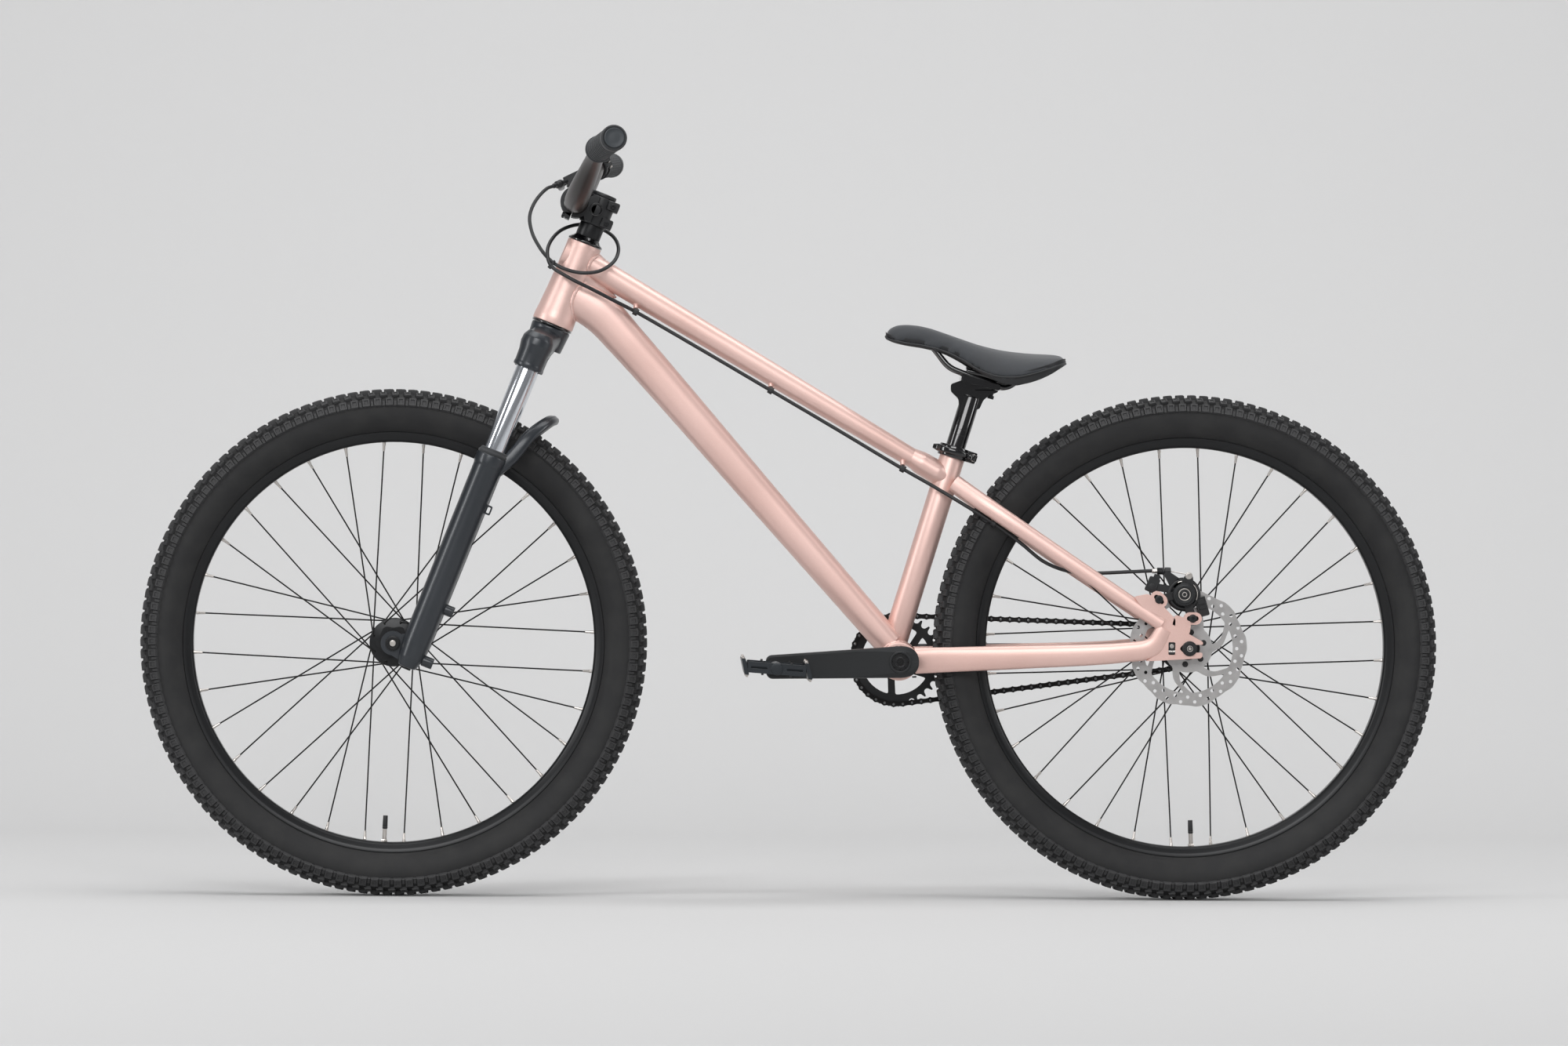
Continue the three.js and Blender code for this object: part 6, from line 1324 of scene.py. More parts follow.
def buildStem():
    # three slabs between the steerer's clamp and the bar's, closed by a plate with four bolts
    s = stemSize
    (x, z), (outer, inner) = s["bar"], s["clamp"]
    bossX, bossZ = s["boss"]
    clamp = ringPart(s["bore"], s["radius"], s["low"], s["high"], 64, 0.9, "Z")
    outline = arcPoints(x, z, outer, 88, 40, 8) + s["neck"] + arcPoints(x, z, outer, -40, -88, 8)
    outline += arcPoints(x, z, inner, -88, 88, 24)
    slabs = [platePart(outline, *reach) for reach in s["slabs"]]
    bosses = [roundedBox(*s["bossBox"], (bossX, 0, z + way * bossZ)) for way in (-1, 1)]
    stemPiece("body", joined(clamp, *slabs, *bosses), stands="stem", ease=(0.9, 2))
    face = [(x - 0.6, z + s["lip"])] + arcPoints(x, z, outer, 92, 268, 40)
    face += [(x - 0.6, z - s["lip"])] + arcPoints(x, z, inner, 268, 92, 40)
    strips = [platePart(face, *reach) for reach in s["strips"]]
    bridges = [platePart([(x + px, z + way * pz) for px, pz in s["bridge"]][::way], -24, 24) for way in (1, -1)]
    stemPiece("faceplate", joined(*strips, *bridges), stands="stem_faceplate", ease=(0.9, 2))
    px, py, pz = s["faceBolt"]
    head = turned(boltPart(*s["faceHead"]), "Z", -90)
    bolts = [moved(head, x + px, y, z + way * pz) for y in (-py, py) for way in (-1, 1)]
    for way in (-1, 1):
        bolts.append(moved(boltPart(*s["bossBolt"]), bossX, -s["bossBox"][1], z + way * bossZ))
        bolts.append(moved(mirrored(discPart(*s["bossEnd"])), bossX, s["bossBox"][1], z + way * bossZ))
    stemPiece("bolts", joined(*bolts), "anodised")
    ringEnds, plugEnds = (
        [[at(s["window"], y, z) for y in reach] for reach in s[name]] for name in ("rings", "plugs")
    )
    stemPiece("windowRings", joined(*(sleeve(*ends, *s["ringRadii"], 48) for ends in ringEnds)), "gloss")
    plugs = (rodPart(*ends, s["plugRadius"], sides=40, edge=1.2) for ends in plugEnds)
    stemPiece("windowPlugs", joined(*plugs), "plastic")
    stemPiece("cap", turnedPart(s["cap"], 0.4, 2, 64, "Z", closed=False), stands="stem_cap")
    capBolt = moved(turned(boltPart(*s["capHead"]), "X", -90), 0, 0, s["capZ"])
    stemPiece("capBolt", capBolt, "steel", slot="steel")


def buildBar():
    # the bar, with a wavy grip on its left end and one with a fine lattice on its right
    piece("handlebar.bar", onHead(handlebar()), "steering", "bar", "handlebar")
    for side, way in bothWays:
        piece(f"grip.{side}", onHead(gripSkin(way, way < 0)), "steering", "grip", f"grip_{side}", 60)
        piece(f"grip.{side}.cap", onHead(gripCap(way)), "steering", "cap")


buildStem()
buildBar()
print("stem, bar and grips made")


# Seat: post with its head, rails, collar, lever, and the padded saddle

saddlePlace = onSeat((at(0, 0, 374.0), None, None))[0]
postSize = {
    "radius": 13.6, "low": 160.0, "high": 378.0, "tilt": 15.0, "head": (13.3, 24.8), "boltX": 19.5,
    "marks": [322, 330],
    "web": [
        (-15.5, -16), (-17.0, 0), (-27.5, 10), (-27.5, 20), (-14, 25), (10, 22), (36, 14.6), (37.5, 9.5), (26.0, 5.4),
        (17.2, -1.5), (11.8, -14),
    ],
    "webHalf": 8.5, "cradle": (27.5, 27.5, 4.2, 2.0, (0, 0, -3.2)), "ring": (13.4, 13.75), "ringTall": 0.5,
    # round bars across the head as (x, z, half length, radius)
    "cross": [(-18.0, -7.0, 20, 5.4), (1.0, -5.4, 24.5, 5.0)], "barrel": (12.6, 13.5, 4.8, 28),
    "bridges": [(11.0, 20.0, 2.2, 1.0, (-12.0, 0, 9.2)), (8.0, 20.0, 2.2, 1.0, (14.0, 0, 8.8))],
    "cap": {"half": 22, "y": 22.0, "z": 6.9, "arch": 1.4, "turn": 1.3 / 21, "wide": 7.0, "tall": 3.6, "full": 3.2},
    "bolt": {"low": -19.0, "high": 17.5, "radius": 2.6, "head": (4.4, 4.6, 2.3), "headZ": -15.5},
}
railSize = {
    "radius": 3.5,
    "path": [
        (82.3, 30, 42.8), (62.0, 24.5, 24.0), (46.3, 22, 15.6), (20.0, 22, 24.8), (-11.7, 22, 35.3),
        (-29.7, 18.5, 43.8), (-46.0, 12.6, 62.5), (-58.7, 9, 77.8),
    ],
}


def fromPost(part):
    # from a frame with its origin on top of the seat post
    return moved(part, *saddlePlace)


def inHead(part):
    # the head's own frame leans with the rails
    x, z = postSize["head"]
    return fromPost(moved(turned(part, "Y", postSize["tilt"]), x, 0, z))


def buildPost():
    # post, head and cradle below the rails, caps and bridges above them, held by two bolts
    s = postSize
    boltX = (-s["boltX"], s["boltX"])
    tube = rodPart(at(0, 0, s["low"]), at(0, 0, s["high"]), s["radius"], sides=64, edge=2.4)
    web = fromPost(platePart(s["web"], -s["webHalf"], s["webHalf"], (), 3.0, 4))
    head = inHead(joined(roundedBox(*s["cradle"]), *(barAcross(*row) for row in s["cross"])))
    marks = [ringPart(*s["ring"], z, z + s["ringTall"], 64, 0.1, "Z") for z in s["marks"]]
    c, b = s["cap"], s["bolt"]
    along = np.linspace(-c["half"], c["half"], 15)
    arch = c["z"] + c["arch"] * np.cos(along * c["turn"])
    caps = [
        sweepPart(np.stack([along, 0 * along + way * c["y"], arch], -1), c["wide"], c["tall"], c["full"], 32)
        for way in (-1, 1)
    ]
    barrels = [barAcross(x, *s["barrel"]) for x in boltX]
    bolts = [rodPart(at(x, 0, b["low"]), at(x, 0, b["high"]), b["radius"], sides=20) for x in boltX]
    heads = [moved(turned(boltPart(*b["head"]), "X", 90), x, 0, b["headZ"]) for x in boltX]
    half = railSize["path"]
    path = through(half + [(x, -y, z) for x, y, z in reversed(half)], 180)
    rail = sweepPart(path, railSize["radius"], railSize["radius"], 2.0, 24, (0.02, 0.0, 1.0))
    piece(
        "seat.post", joined(onSeat(tube), web, head), "seat", "gloss", "seatpost", ease=(1.1, 3), slot="black_gloss",
    )
    piece("seat.postMarks", onSeat(joined(*marks)), "seat", "gloss", slot="black_gloss")
    piece(
        "seat.clamp", inHead(joined(*caps, boxes(s["bridges"]), *barrels)), "seat", "gloss", ease=(0.8, 2),
        slot="black_gloss",
    )
    piece("seat.clampBolts", inHead(joined(*bolts, *heads)), "seat", "anodised")
    piece("seat.rails", fromPost(rail), "seat", "gloss", "saddle_rails")


# Saddle sizes by station: place along, half width, top line, seam line and base line, from the post's top
saddleShape = {
    "along": [
        -116.4, -114.6, -110.0, -101.0, -88.0, -62.0, -36.0, -10.0, 9.0, 30.0, 48.0, 64.0, 84.0, 104.0, 117.0,
        124.0, 127.2, 128.6,
    ],
    "wide": [
        4.0, 9.5, 14.2, 18.2, 20.0, 21.6, 24.6, 32.6, 41.5, 52.5, 60.5, 65.6, 68.2, 64.0, 54.0, 42.0, 30.0, 15.0,
    ],
    "top": [
        88.2, 92.2, 96.8, 100.6, 101.9, 98.6, 90.6, 81.6, 75.4, 70.0, 66.6, 64.6, 63.0, 62.4, 61.4, 58.9, 55.8, 51.2,
    ],
    "seam": [
        85.0, 82.4, 80.2, 78.0, 75.6, 71.6, 64.4, 51.6, 39.6, 31.6, 29.6, 30.4, 35.2, 41.4, 46.8, 49.0, 49.4, 49.0,
    ],
    "base": [
        84.6, 81.2, 78.0, 75.0, 72.2, 68.0, 61.0, 48.0, 35.6, 25.0, 19.6, 19.2, 24.0, 32.6, 40.4, 44.6, 46.6, 48.0,
    ],
    "full": 2.35, "wall": 15.0, "stations": 96, "sides": 56, "slack": 1.2, "rim": 3.6,
}
padding = {
    "voxel": 4.0, "frames": 20, "cap": 2.2, "smoothing": 6,
    "cloth": {
        "quality": 6, "mass": 0.3, "use_pressure": True, "uniform_pressure_force": 4.0, "tension_stiffness": 60,
        "compression_stiffness": 60, "shear_stiffness": 30, "bending_stiffness": 6, "vertex_group_mass": "held",
    },
}
stitch = {
    "step": 3.4, "clear": 6.0, "half": 0.9, "lift": 2.6,
    "profile": [(pole, -1.1), (0.3, -0.9), (0.36, 0.0), (0.3, 0.9), (pole, 1.1)],
}


def saddleStations():
    # stations crowd towards both ends: a cosine of the share along
    s = saddleShape
    even = np.linspace(0, 1, s["stations"])
    share = 0.65 * (0.5 - 0.5 * np.cos(math.pi * even)) + 0.35 * even
    return s["along"][0] + (s["along"][-1] - s["along"][0]) * share


def saddleRows(*names):
    # the table's rows read smoothly at every station
    along = np.array(saddleShape["along"])
    curves = [through(np.column_stack([along, 0 * along, saddleShape[name]]), 400) for name in names]
    return [np.interp(saddleStations(), curve[:, 0], curve[:, 2]) for curve in curves]


def saddleForm():
    # upper skin: y = w s^(2/f), z = seam + (top - seam) c^(2/f); under skin the same, drawn in by a wall
    s = saddleShape
    x, (wide, top, seam) = saddleStations(), (row[:, None] for row in saddleRows("wide", "top", "seam"))
    wide, seam = wide - s["slack"], seam - s["rim"]
    tall = top - s["slack"] - seam
    angle = np.linspace(-math.pi / 2, math.pi / 2, s["sides"])
    c, sn = np.cos(angle) ** (2 / s["full"]), np.sign(np.sin(angle)) * np.abs(np.sin(angle)) ** (2 / s["full"])
    x = x[:, None] + 0 * angle
    upper = np.stack([x, wide * sn, seam + tall * c], -1)
    inner = np.stack([x, wide * 0.9 * sn, seam + 1.0 + (tall - np.minimum(s["wall"], tall * 0.72)) * c], -1)
    return fromPost(gridPart(np.concatenate([upper, inner[:, ::-1]], 1)))


def padSaddle(made):
    # remeshed, swollen by pressure with the underside held, and each point's move capped
    remesh = made.modifiers.new("voxels", "REMESH")
    remesh.mode = "VOXEL"
    remesh.voxel_size = padding["voxel"] * millimetre
    applyAll(made)
    rest = vertexArray(made.data)
    held = vertexArray(made.data, "normal")[:, 2] < -0.1
    pins = made.vertex_groups.new(name="held")
    pins.add([int(i) for i in np.flatnonzero(held)], 1.0, "REPLACE")
    cloth = made.modifiers.new("padding", "CLOTH")
    for key, value in padding["cloth"].items():
        setattr(cloth.settings, key, value)
    cloth.settings.effector_weights.gravity = 0
    cloth.collision_settings.use_collision = False
    scene = bpy.context.scene
    for step in range(1, padding["frames"] + 1):
        scene.frame_set(step)
    move = vertexArray(made.evaluated_get(bpy.context.evaluated_depsgraph_get()).to_mesh()) - rest
    length = np.linalg.norm(move, axis=1, keepdims=True)
    placed = rest + move * np.minimum(1, padding["cap"] * millimetre / np.maximum(length, 1e-9))
    made.modifiers.clear()
    made.vertex_groups.clear()
    scene.frame_set(1)
    return placed


def applyAll(made):
    # the shape with its modifiers becomes the mesh
    shaped = bpy.data.meshes.new_from_object(made.evaluated_get(bpy.context.evaluated_depsgraph_get()))
    made.modifiers.clear()
    old = made.data
    made.data = shaped
    bpy.data.meshes.remove(old)


def vertexArray(mesh, key="co"):
    # one row of three values for each vertex
    flat = np.zeros(len(mesh.vertices) * 3, np.float32)
    mesh.vertices.foreach_get(key, flat)
    return flat.reshape(-1, 3).astype(float)


def evened(mesh, points, rounds):
    # each round moves a point half way to the mean of its neighbours, with the loss of size put back
    ends = np.zeros(len(mesh.edges) * 2, np.int32)
    mesh.edges.foreach_get("vertices", ends)
    a, b = ends.reshape(-1, 2).T
    links = np.bincount(np.concatenate([a, b]), minlength=len(points))[:, None]
    for share in [0.5, -0.52] * rounds:
        total = np.zeros_like(points)
        np.add.at(total, a, points[b])
        np.add.at(total, b, points[a])
        points = points + share * (total / links - points)
    return points


def buildCover():
    # padded and smoothed, then shown one level finer
    cover = piece("saddle.cover", saddleForm(), "seat", "cloth", "saddle", 80)
    parent = cover.parent
    cover.parent = None
    placed = padSaddle(cover)
    placed = evened(cover.data, placed, padding["smoothing"])
    cover.data.vertices.foreach_set("co", placed.astype(np.float32).ravel())
    cover.data.polygons.foreach_set("use_smooth", np.ones(len(cover.data.polygons), bool))
    cover.data.update()
    if not cover.data.materials:
        cover.data.materials.append(finishes["cloth"])
    finer = cover.modifiers.new("finer", "SUBSURF")
    finer.levels = finer.render_levels = 1
    cover.parent = parent
    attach(cover, "seat")


def buildTrim():
    # piping and thread along the seam, and the moulded base with its lip under it
    x, (wide, seam, base, top) = saddleStations(), saddleRows("wide", "seam", "base", "top")
    side = np.stack([x, -wide + 0.6, seam - 0.6], -1)
    loop = np.vstack([side, (side * at(1, -1, 1))[::-1]])
    piping = sweepRings(np.vstack([loop, loop[:1]]), 1.25, 1.25, 2.0, 12, (0, 0, 1))
    piece("saddle.seam", fromPost(gridPart(piping, capped=False)), "seat", "piping", sharp=80)
    piece("saddle.stitches", fromPost(stitches(loop)), "seat", "thread", sharp=80)
    half, middle = wide - 2.6, (seam + base) / 2
    lip = np.maximum(half - 7.0, half * 0.5)
    shape = [
        (-half, seam + 6.0), (-(half - 0.4), middle), (-(half - 2.2), base), (-lip, base + 0.4),
        (-lip * 0.9, middle + 2), (0 * half, np.minimum(seam + 3.0, top - 4.0)),
    ]
    ring = [np.stack([x, y, z], -1) for y, z in shape + [(-y, z) for y, z in shape[-2::-1]]]
    piece("saddle.base", fromPost(gridPart(np.stack(ring, 1))), "seat", "plastic", sharp=50)


def stitches(loop):
    # one short thread every few millimetres just above the seam
    length = lengthAlong(loop)
    stops = np.arange(stitch["clear"], length[-1] - stitch["clear"], stitch["step"])
    spot, ahead = (resampled(loop, stops + way * stitch["half"], length) for way in (-1, 1))
    along = unit(ahead - spot)
    out = np.cross(along, (0, 0, 1.0))
    out *= np.sign((out * (spot - loop.mean(0))).sum()) / np.linalg.norm(out, axis=1, keepdims=True)
    thread = lathePart(stitch["profile"], 6, "X", closed=False)
    places = (spot + ahead) / 2 + at(0, 0, stitch["lift"]) + out * 0.25
    return copies(thread, np.stack([along, out, np.cross(along, out)], -1), places)


collarSize = {
    "z": 298.0, "wrap": 25.6, "turns": [318, 300, 280, 260, 240, 222, 207], "pivot": (27.0, -17.6),
    "band": [(17.6, 290.0), (21.2, 290.0), (21.8, 293.0), (21.8, 303.0), (21.2, 306.0), (17.6, 306.0)],
    "wide": [4.0, 3.6, 3.5, 3.5, 3.7, 4.2, 4.7, 5.1, 3.0], "tall": [2.6, 2.2, 2.0, 2.0, 2.0, 2.1, 2.3, 2.4, 1.2],
    "bladeEnd": (-30.0, -9.0), "ear": (7.2, 5.3, 7.6, 1.4), "earX": 24.0, "earY": 6.6,
    "bolt": {"low": -13, "high": 15, "radius": 3.0, "head": (5.2, 12.2, 15.6, 24, 0.6)},
    "hub": (4.9, -4.3, 4.3, 36, 0.8), "pin": (2.0, -4.8, 4.8, 24, 0.3),
}


def buildCollar():
    # a band with two ears, its bolt, and the quick lever wrapped round it from the pivot
    c = collarSize
    z, pivot = c["z"], (*c["pivot"], c["z"])
    x, b = c["earX"], c["bolt"]
    ears = [roundedBox(*c["ear"], (x, way * c["earY"], z)) for way in (-1, 1)]
    band = joined(turnedPart(c["band"], 0.8, 3, 64, "Z"), *ears)
    shaft = rodPart(at(x, b["low"], z), at(x, b["high"], z), b["radius"], sides=24, edge=0.4)
    bolt = joined(shaft, moved(discPart(*b["head"]), x, 0, z))
    angles = np.radians(c["turns"])
    curve = [pivot, *((c["wrap"] * math.cos(a), c["wrap"] * math.sin(a), z) for a in angles), (*c["bladeEnd"], z)]
    blade = curvedPart(curve, c["wide"], c["tall"], 2.8, 28, (0, 0, 1), 60)
    hub, pin = (moved(turned(discPart(*c[name]), "X", 90), *pivot) for name in ("hub", "pin"))
    piece("seatCollar.band", onSeat(band), "frame", "gloss", "seat_collar", ease=(0.5, 2))
    piece("seatCollar.bolt", onSeat(bolt), "frame", "steel")
    piece("quickLever.blade", onSeat(joined(blade, hub)), "seat_lever", "gloss", "quick_lever")
    piece("quickLever.pin", onSeat(pin), "seat_lever", "steel")


buildPost()
buildCollar()
buildCover()
buildTrim()
print("seat made")


# Cranks, chain ring, chain, freewheel and pedals

drive = {
    "pitch": 12.7, "ringTeeth": 30, "cogTeeth": 14, "links": 84, "line": 48.0, "seat": 4.15, "tip": 3.3,
    "tipHalf": 0.9, "tooth": 1.25,
}
crankCentre = at(*bike["bottomBracket"])
span = float(np.linalg.norm(rearAxle - crankCentre))
rise = math.degrees(math.atan2(rearAxle[2] - crankCentre[2], rearAxle[0] - crankCentre[0]))
crankSize = {
    "length": 170.0, "tilt": 2.5, "big": 21.4, "small": 16.2, "back": 25.5, "front": 12.6,
    "inner": (51.4, 62.0), "outer": (70.0, 75.8),
    # rings as inner and outer radius, low and high along y, sides and edge
    "lip": (12.0, 14.8, -72.6, -68.0, 64, 0.7), "eye": (5.6, 8.2, -76.4, -70.0, 48, 0.4),
    "boss": (11.0, 19.0, -53.0, -49.7, 64, 0.8), "spindle": {"low": -67, "high": 53, "radius": 12.0},
}
capSize = {
    "low": -71.6, "high": -69.6, "bore": 4.8, "rim": (5.8, 7.2, -72.1, -71.0, 48, 0.3),
    "notches": {"count": 120, "shift": 11, "pitch": 45, "wide": 13, "deep": 9.6, "radius": 11.5},
    "floor": (12.6, -70.5, -69.0, 48, 0.2), "floorRim": (1.6, 2.4, -70.9, -70.2, 24, 0.2),
}
# the box is a thin black strip where the arm's clamp is split: painted shade in the gap; the pinch is the clamp
# bolt's real end
slitSize = {
    "box": (5.6, 9.0, 0.6, 0.2, (-19.4, -61.2, 0)), "pinch": (3.0, -1.2, 1.0, 24, 0.3), "place": (-18.6, -61.0, 20.9),
}
ringSize = {"windows": (26.5, 47.5, 5.0, 8.0), "bore": 12.3, "rib": (12.4, 20.5, -2.4, 2.4, 72)}
cogSize = {
    "bore": 18.0, "body": [(17.1, -6.5), (21.6, -6.5), (22.2, -5.6), (22.2, 5.6), (21.6, 6.5), (17.1, 6.5)],
    "faces": [(17.2, 18.4, -7.0, -6.2, 64, 0.2), (19.6, 20.6, 6.2, 6.9, 64, 0.2)],
}
cupSize = {
    "bore": 12.3, "notches": (21.6, 0.9, 96), "low": 36.9, "high": 42.6,
    "lips": [(12.3, 19.4, 42.0, 45.5, 72, 1.0), (12.3, 15.5, 45.0, 45.9, 64, 0.3)],
}
linkSize = {
    "end": 4.3, "waist": 2.9, "outer": (2.85, 3.75), "inner": (1.75, 2.65),
    "pin": [(pole, -4.35), (1.3, -4.3), (1.8, -4.0), (1.8, 4.0), (1.3, 4.3), (pole, 4.35)],
    "roller": [(1.9, -1.6), (3.7, -1.6), (3.7, 1.6), (1.9, 1.6)],
}


def crankArm():
    # rings along the arm: a flat outer face between chamfers that widen at the axle, and a rounded back;
    # both ends close as (1 - t^n)^(1/n)
    c = crankSize
    length = c["length"]
    back = -c["back"] * np.sin(np.linspace(math.pi / 2, 0, 14))
    front = length + c["front"] * np.sin(np.linspace(0, math.pi / 2, 12))
    x = np.concatenate([back, np.linspace(0, length, 60)[1:-1], front])
    share = np.clip(x / length, 0, 1)
    half = c["big"] + (c["small"] - c["big"]) * share
    for past, reach, power in ((-x, c["back"], 2.4), (x - length, c["front"], 3)):
        half = half * np.maximum(1 - np.clip(past / reach, 0, 1) ** power, 0.0004) ** (1 / power)
    inner, outer = (low + (high - low) * smooth(share) for low, high in (c["inner"], c["outer"]))
    bevel = np.minimum(half * 0.45, 2.6 + 4.6 * np.clip(1 - (x - 6) / 52, 0, 1) ** 1.5)
    deep = bevel * 0.42
    soft = np.minimum(1.6, half * 0.4)
    column = [
        (half - bevel, outer), (half - 0.15 * bevel, outer - deep), (half, outer - deep - 1.6), (half, inner + soft),
        (half - 0.3 * soft, inner + 0.3 * soft), (half - soft, inner),
    ]
    ring = [np.stack([x, -y, z], -1) for z, y in column] + [np.stack([x, -y, -z], -1) for z, y in column[::-1]]
    return gridPart(np.stack(ring, 1))


def atCrank(part, side):
    # an arm drawn pointing along +x at the bike's left side, set on its own side of the crank axle
    if side > 0:
        return moved(turned(mirrored(part), "Y", -crankSize["tilt"]), *crankCentre)
    return moved(turned(part, "Y", 180 - crankSize["tilt"]), *crankCentre)


def buildCranks():
    # both arms with the rims at their eyes, the spindle on the right one and the cap on the left
    armLook = {"sharp": 24, "ease": (0.35, 2)}
    c, s, k = crankSize, crankSize["spindle"], capSize
    lip, eye, boss = (ringPart(*c[name]) for name in ("lip", "eye", "boss"))
    eye = moved(eye, c["length"], 0, 0)
    spindle = moved(rodPart(at(0, s["low"], 0), at(0, s["high"], 0), s["radius"], sides=48), *crankCentre)
    piece("crankArm.left", atCrank(joined(crankArm(), lip, eye), -1), "cranks", "crank", "crank_arm_left", **armLook)
    right = joined(atCrank(joined(crankArm(), eye, boss), 1), spindle)
    piece("crankArm.right", right, "cranks", "crank", "crank_arm_right", **armLook)
    n = k["notches"]
    degrees = np.arange(n["count"]) * 360 / n["count"] + n["shift"]
    notch = np.where(degrees % n["pitch"] < n["wide"], n["deep"], n["radius"])[:, None]
    cover = platePart(circle(1.0, n["count"]) * notch, k["low"], k["high"], [circle(k["bore"], 6)])
    cover = joined(cover, ringPart(*k["rim"]))
    piece("crankCap.cover", atCrank(cover, -1), "cranks", "gloss", "crank_cap", ease=(0.35, 2))
    floor = joined(discPart(*k["floor"]), ringPart(*k["floorRim"]))
    piece("crankCap.floor", atCrank(floor, -1), "cranks", "spoke")
    # a thin black strip stands in for the clamp's slit, painted shade in the gap, with the pinch bolt's end beside it
    pinch = moved(turned(discPart(*slitSize["pinch"]), "X", 90), *slitSize["place"])
    slitShadeAndPinch = joined(roundedBox(*slitSize["box"]), pinch)
    piece("crankArm.slit", atCrank(slitShadeAndPinch, -1), "cranks", "plastic")


def toothed(teeth):
    # round each roller seat an arc of 124 degrees that faces the hub, then a narrow tip half a tooth further on
    d = drive
    pitchRadius = d["pitch"] / 2 / math.sin(math.pi / teeth)
    swing = np.radians(np.linspace(-62, 62, 6)) + math.pi
    arcX, arcY = pitchRadius + d["seat"] * np.cos(swing), -d["seat"] * np.sin(swing)
    order = np.argsort(arcY)
    cosTip, sinTip, tip = math.cos(math.pi / teeth), math.sin(math.pi / teeth), pitchRadius + d["tip"]
    tipX = tip * cosTip + d["tipHalf"] * sinTip * np.array([1, 0.5, -0.5, -1]) + np.array([-0.6, 0.1, 0.1, -0.6])
    tipY = tip * sinTip - d["tipHalf"] * cosTip * np.array([1.4, 0.6, -0.6, -1.4])
    x, y = np.concatenate([arcX[order], tipX]), np.concatenate([arcY[order], tipY])
    cos, sin = circle(1.0, teeth).T[:, :, None]
    return np.stack([x * cos - y * sin, x * sin + y * cos], -1).reshape(-1, 2)


def ringWindow(arm, inner, outer, half, sweep):
    # between two arms: an arc near the hub and one near the teeth, turned on by the sweep, with rounded corners
    pitch, start = 72.0, 72.0 * arm
    near, far = math.degrees(half / inner), math.degrees(half / outer)
    low = arcPoints(0, 0, inner, start + near, start + pitch - near, 4)
    high = arcPoints(0, 0, outer, start + sweep + far, start + sweep + pitch - far, 8)
    return rounded(low + high[::-1], [5.0] + [1.0] * 3 + [5.0] + [7.0] + [1.0] * 7 + [7.0], 4)


def buildRings():
    # toothed plates turned so that a seat looks along the line between the two axles
    d, c = drive, cupSize
    holes = [*(ringWindow(arm, *ringSize["windows"]) for arm in range(5)), circle(ringSize["bore"], 24)]
    plate = platePart(toothed(d["ringTeeth"]), -d["tooth"], d["tooth"], holes)
    ring = turned(joined(plate, ringPart(*ringSize["rib"])), "Y", 180 - rise)
    piece(
        "chainRing.plate", moved(ring, crankCentre[0], d["line"], crankCentre[2]), "cranks", "crank", "chain_ring",
        ease=(0.3, 2),
    )
    teeth = platePart(toothed(d["cogTeeth"]), -d["tooth"], d["tooth"], [circle(cogSize["bore"], 24)])
    cog = joined(teeth, turnedPart(cogSize["body"], 0.4, 2, 64), rings(cogSize["faces"]))
    cog = moved(turned(cog, "Y", -rise), rearAxle[0], d["line"], rearAxle[2])
    piece("freewheel.cog", cog, "sprocket", "chain", "freewheel", ease=(0.3, 2))
    radius, deep, count = c["notches"]
    wavy = circle(1.0, count) * (radius - deep * (np.arange(count) % 6 < 2))[:, None]
    cup = joined(platePart(wavy, c["low"], c["high"], [circle(c["bore"], 36)]), rings(c["lips"]))
    for side, part in (("right", cup), ("left", mirrored(cup))):
        piece(f"bearingCup.{side}", moved(part, *crankCentre), "frame", "crank", f"bearing_cup_{side}", ease=(0.3, 2))


def chainPins():
    # pins a link apart: round the ring, a straight run, round the cog, and back the same way below
    d = drive
    big, small = (d["pitch"] / 2 / math.sin(math.pi / n) for n in (d["ringTeeth"], d["cogTeeth"]))
    lean = math.asin((big - small) / span)
    leave, arrive = math.pi / 2 + lean, math.pi / 2 - lean
    bigLinks, smallLinks = (
        turn * n / (2 * math.pi)
        for turn, n in ((leave, d["ringTeeth"]), (arrive, d["cogTeeth"]))
    )
    half = d["links"] / 2
    link = np.arange(d["links"], dtype=float)
    s = np.where(link > half, d["links"] - link, link)
    a, b = 2 * math.pi * s / d["ringTeeth"], 2 * math.pi * (half - s) / d["cogTeeth"]
    share = np.clip((s - bigLinks) / (half - bigLinks - smallLinks), 0, 1)
    start = (-big * math.cos(leave), big * math.sin(leave))
    stop = (span + small * math.cos(arrive), small * math.sin(arrive))
    onRing, onCog = s < bigLinks, s >= half - smallLinks
    x = np.where(
        onRing, -big * np.cos(a), np.where(onCog, span + small * np.cos(b), start[0] + (stop[0] - start[0]) * share),
    )
    z = np.where(onRing, big * np.sin(a), np.where(onCog, small * np.sin(b), start[1] + (stop[1] - start[1]) * share))
    pins = np.stack([x, np.full(len(x), d["line"]), np.where(link > half, -z, z)], -1)
    return pins @ turnAbout("Y", -rise).T + crankCentre


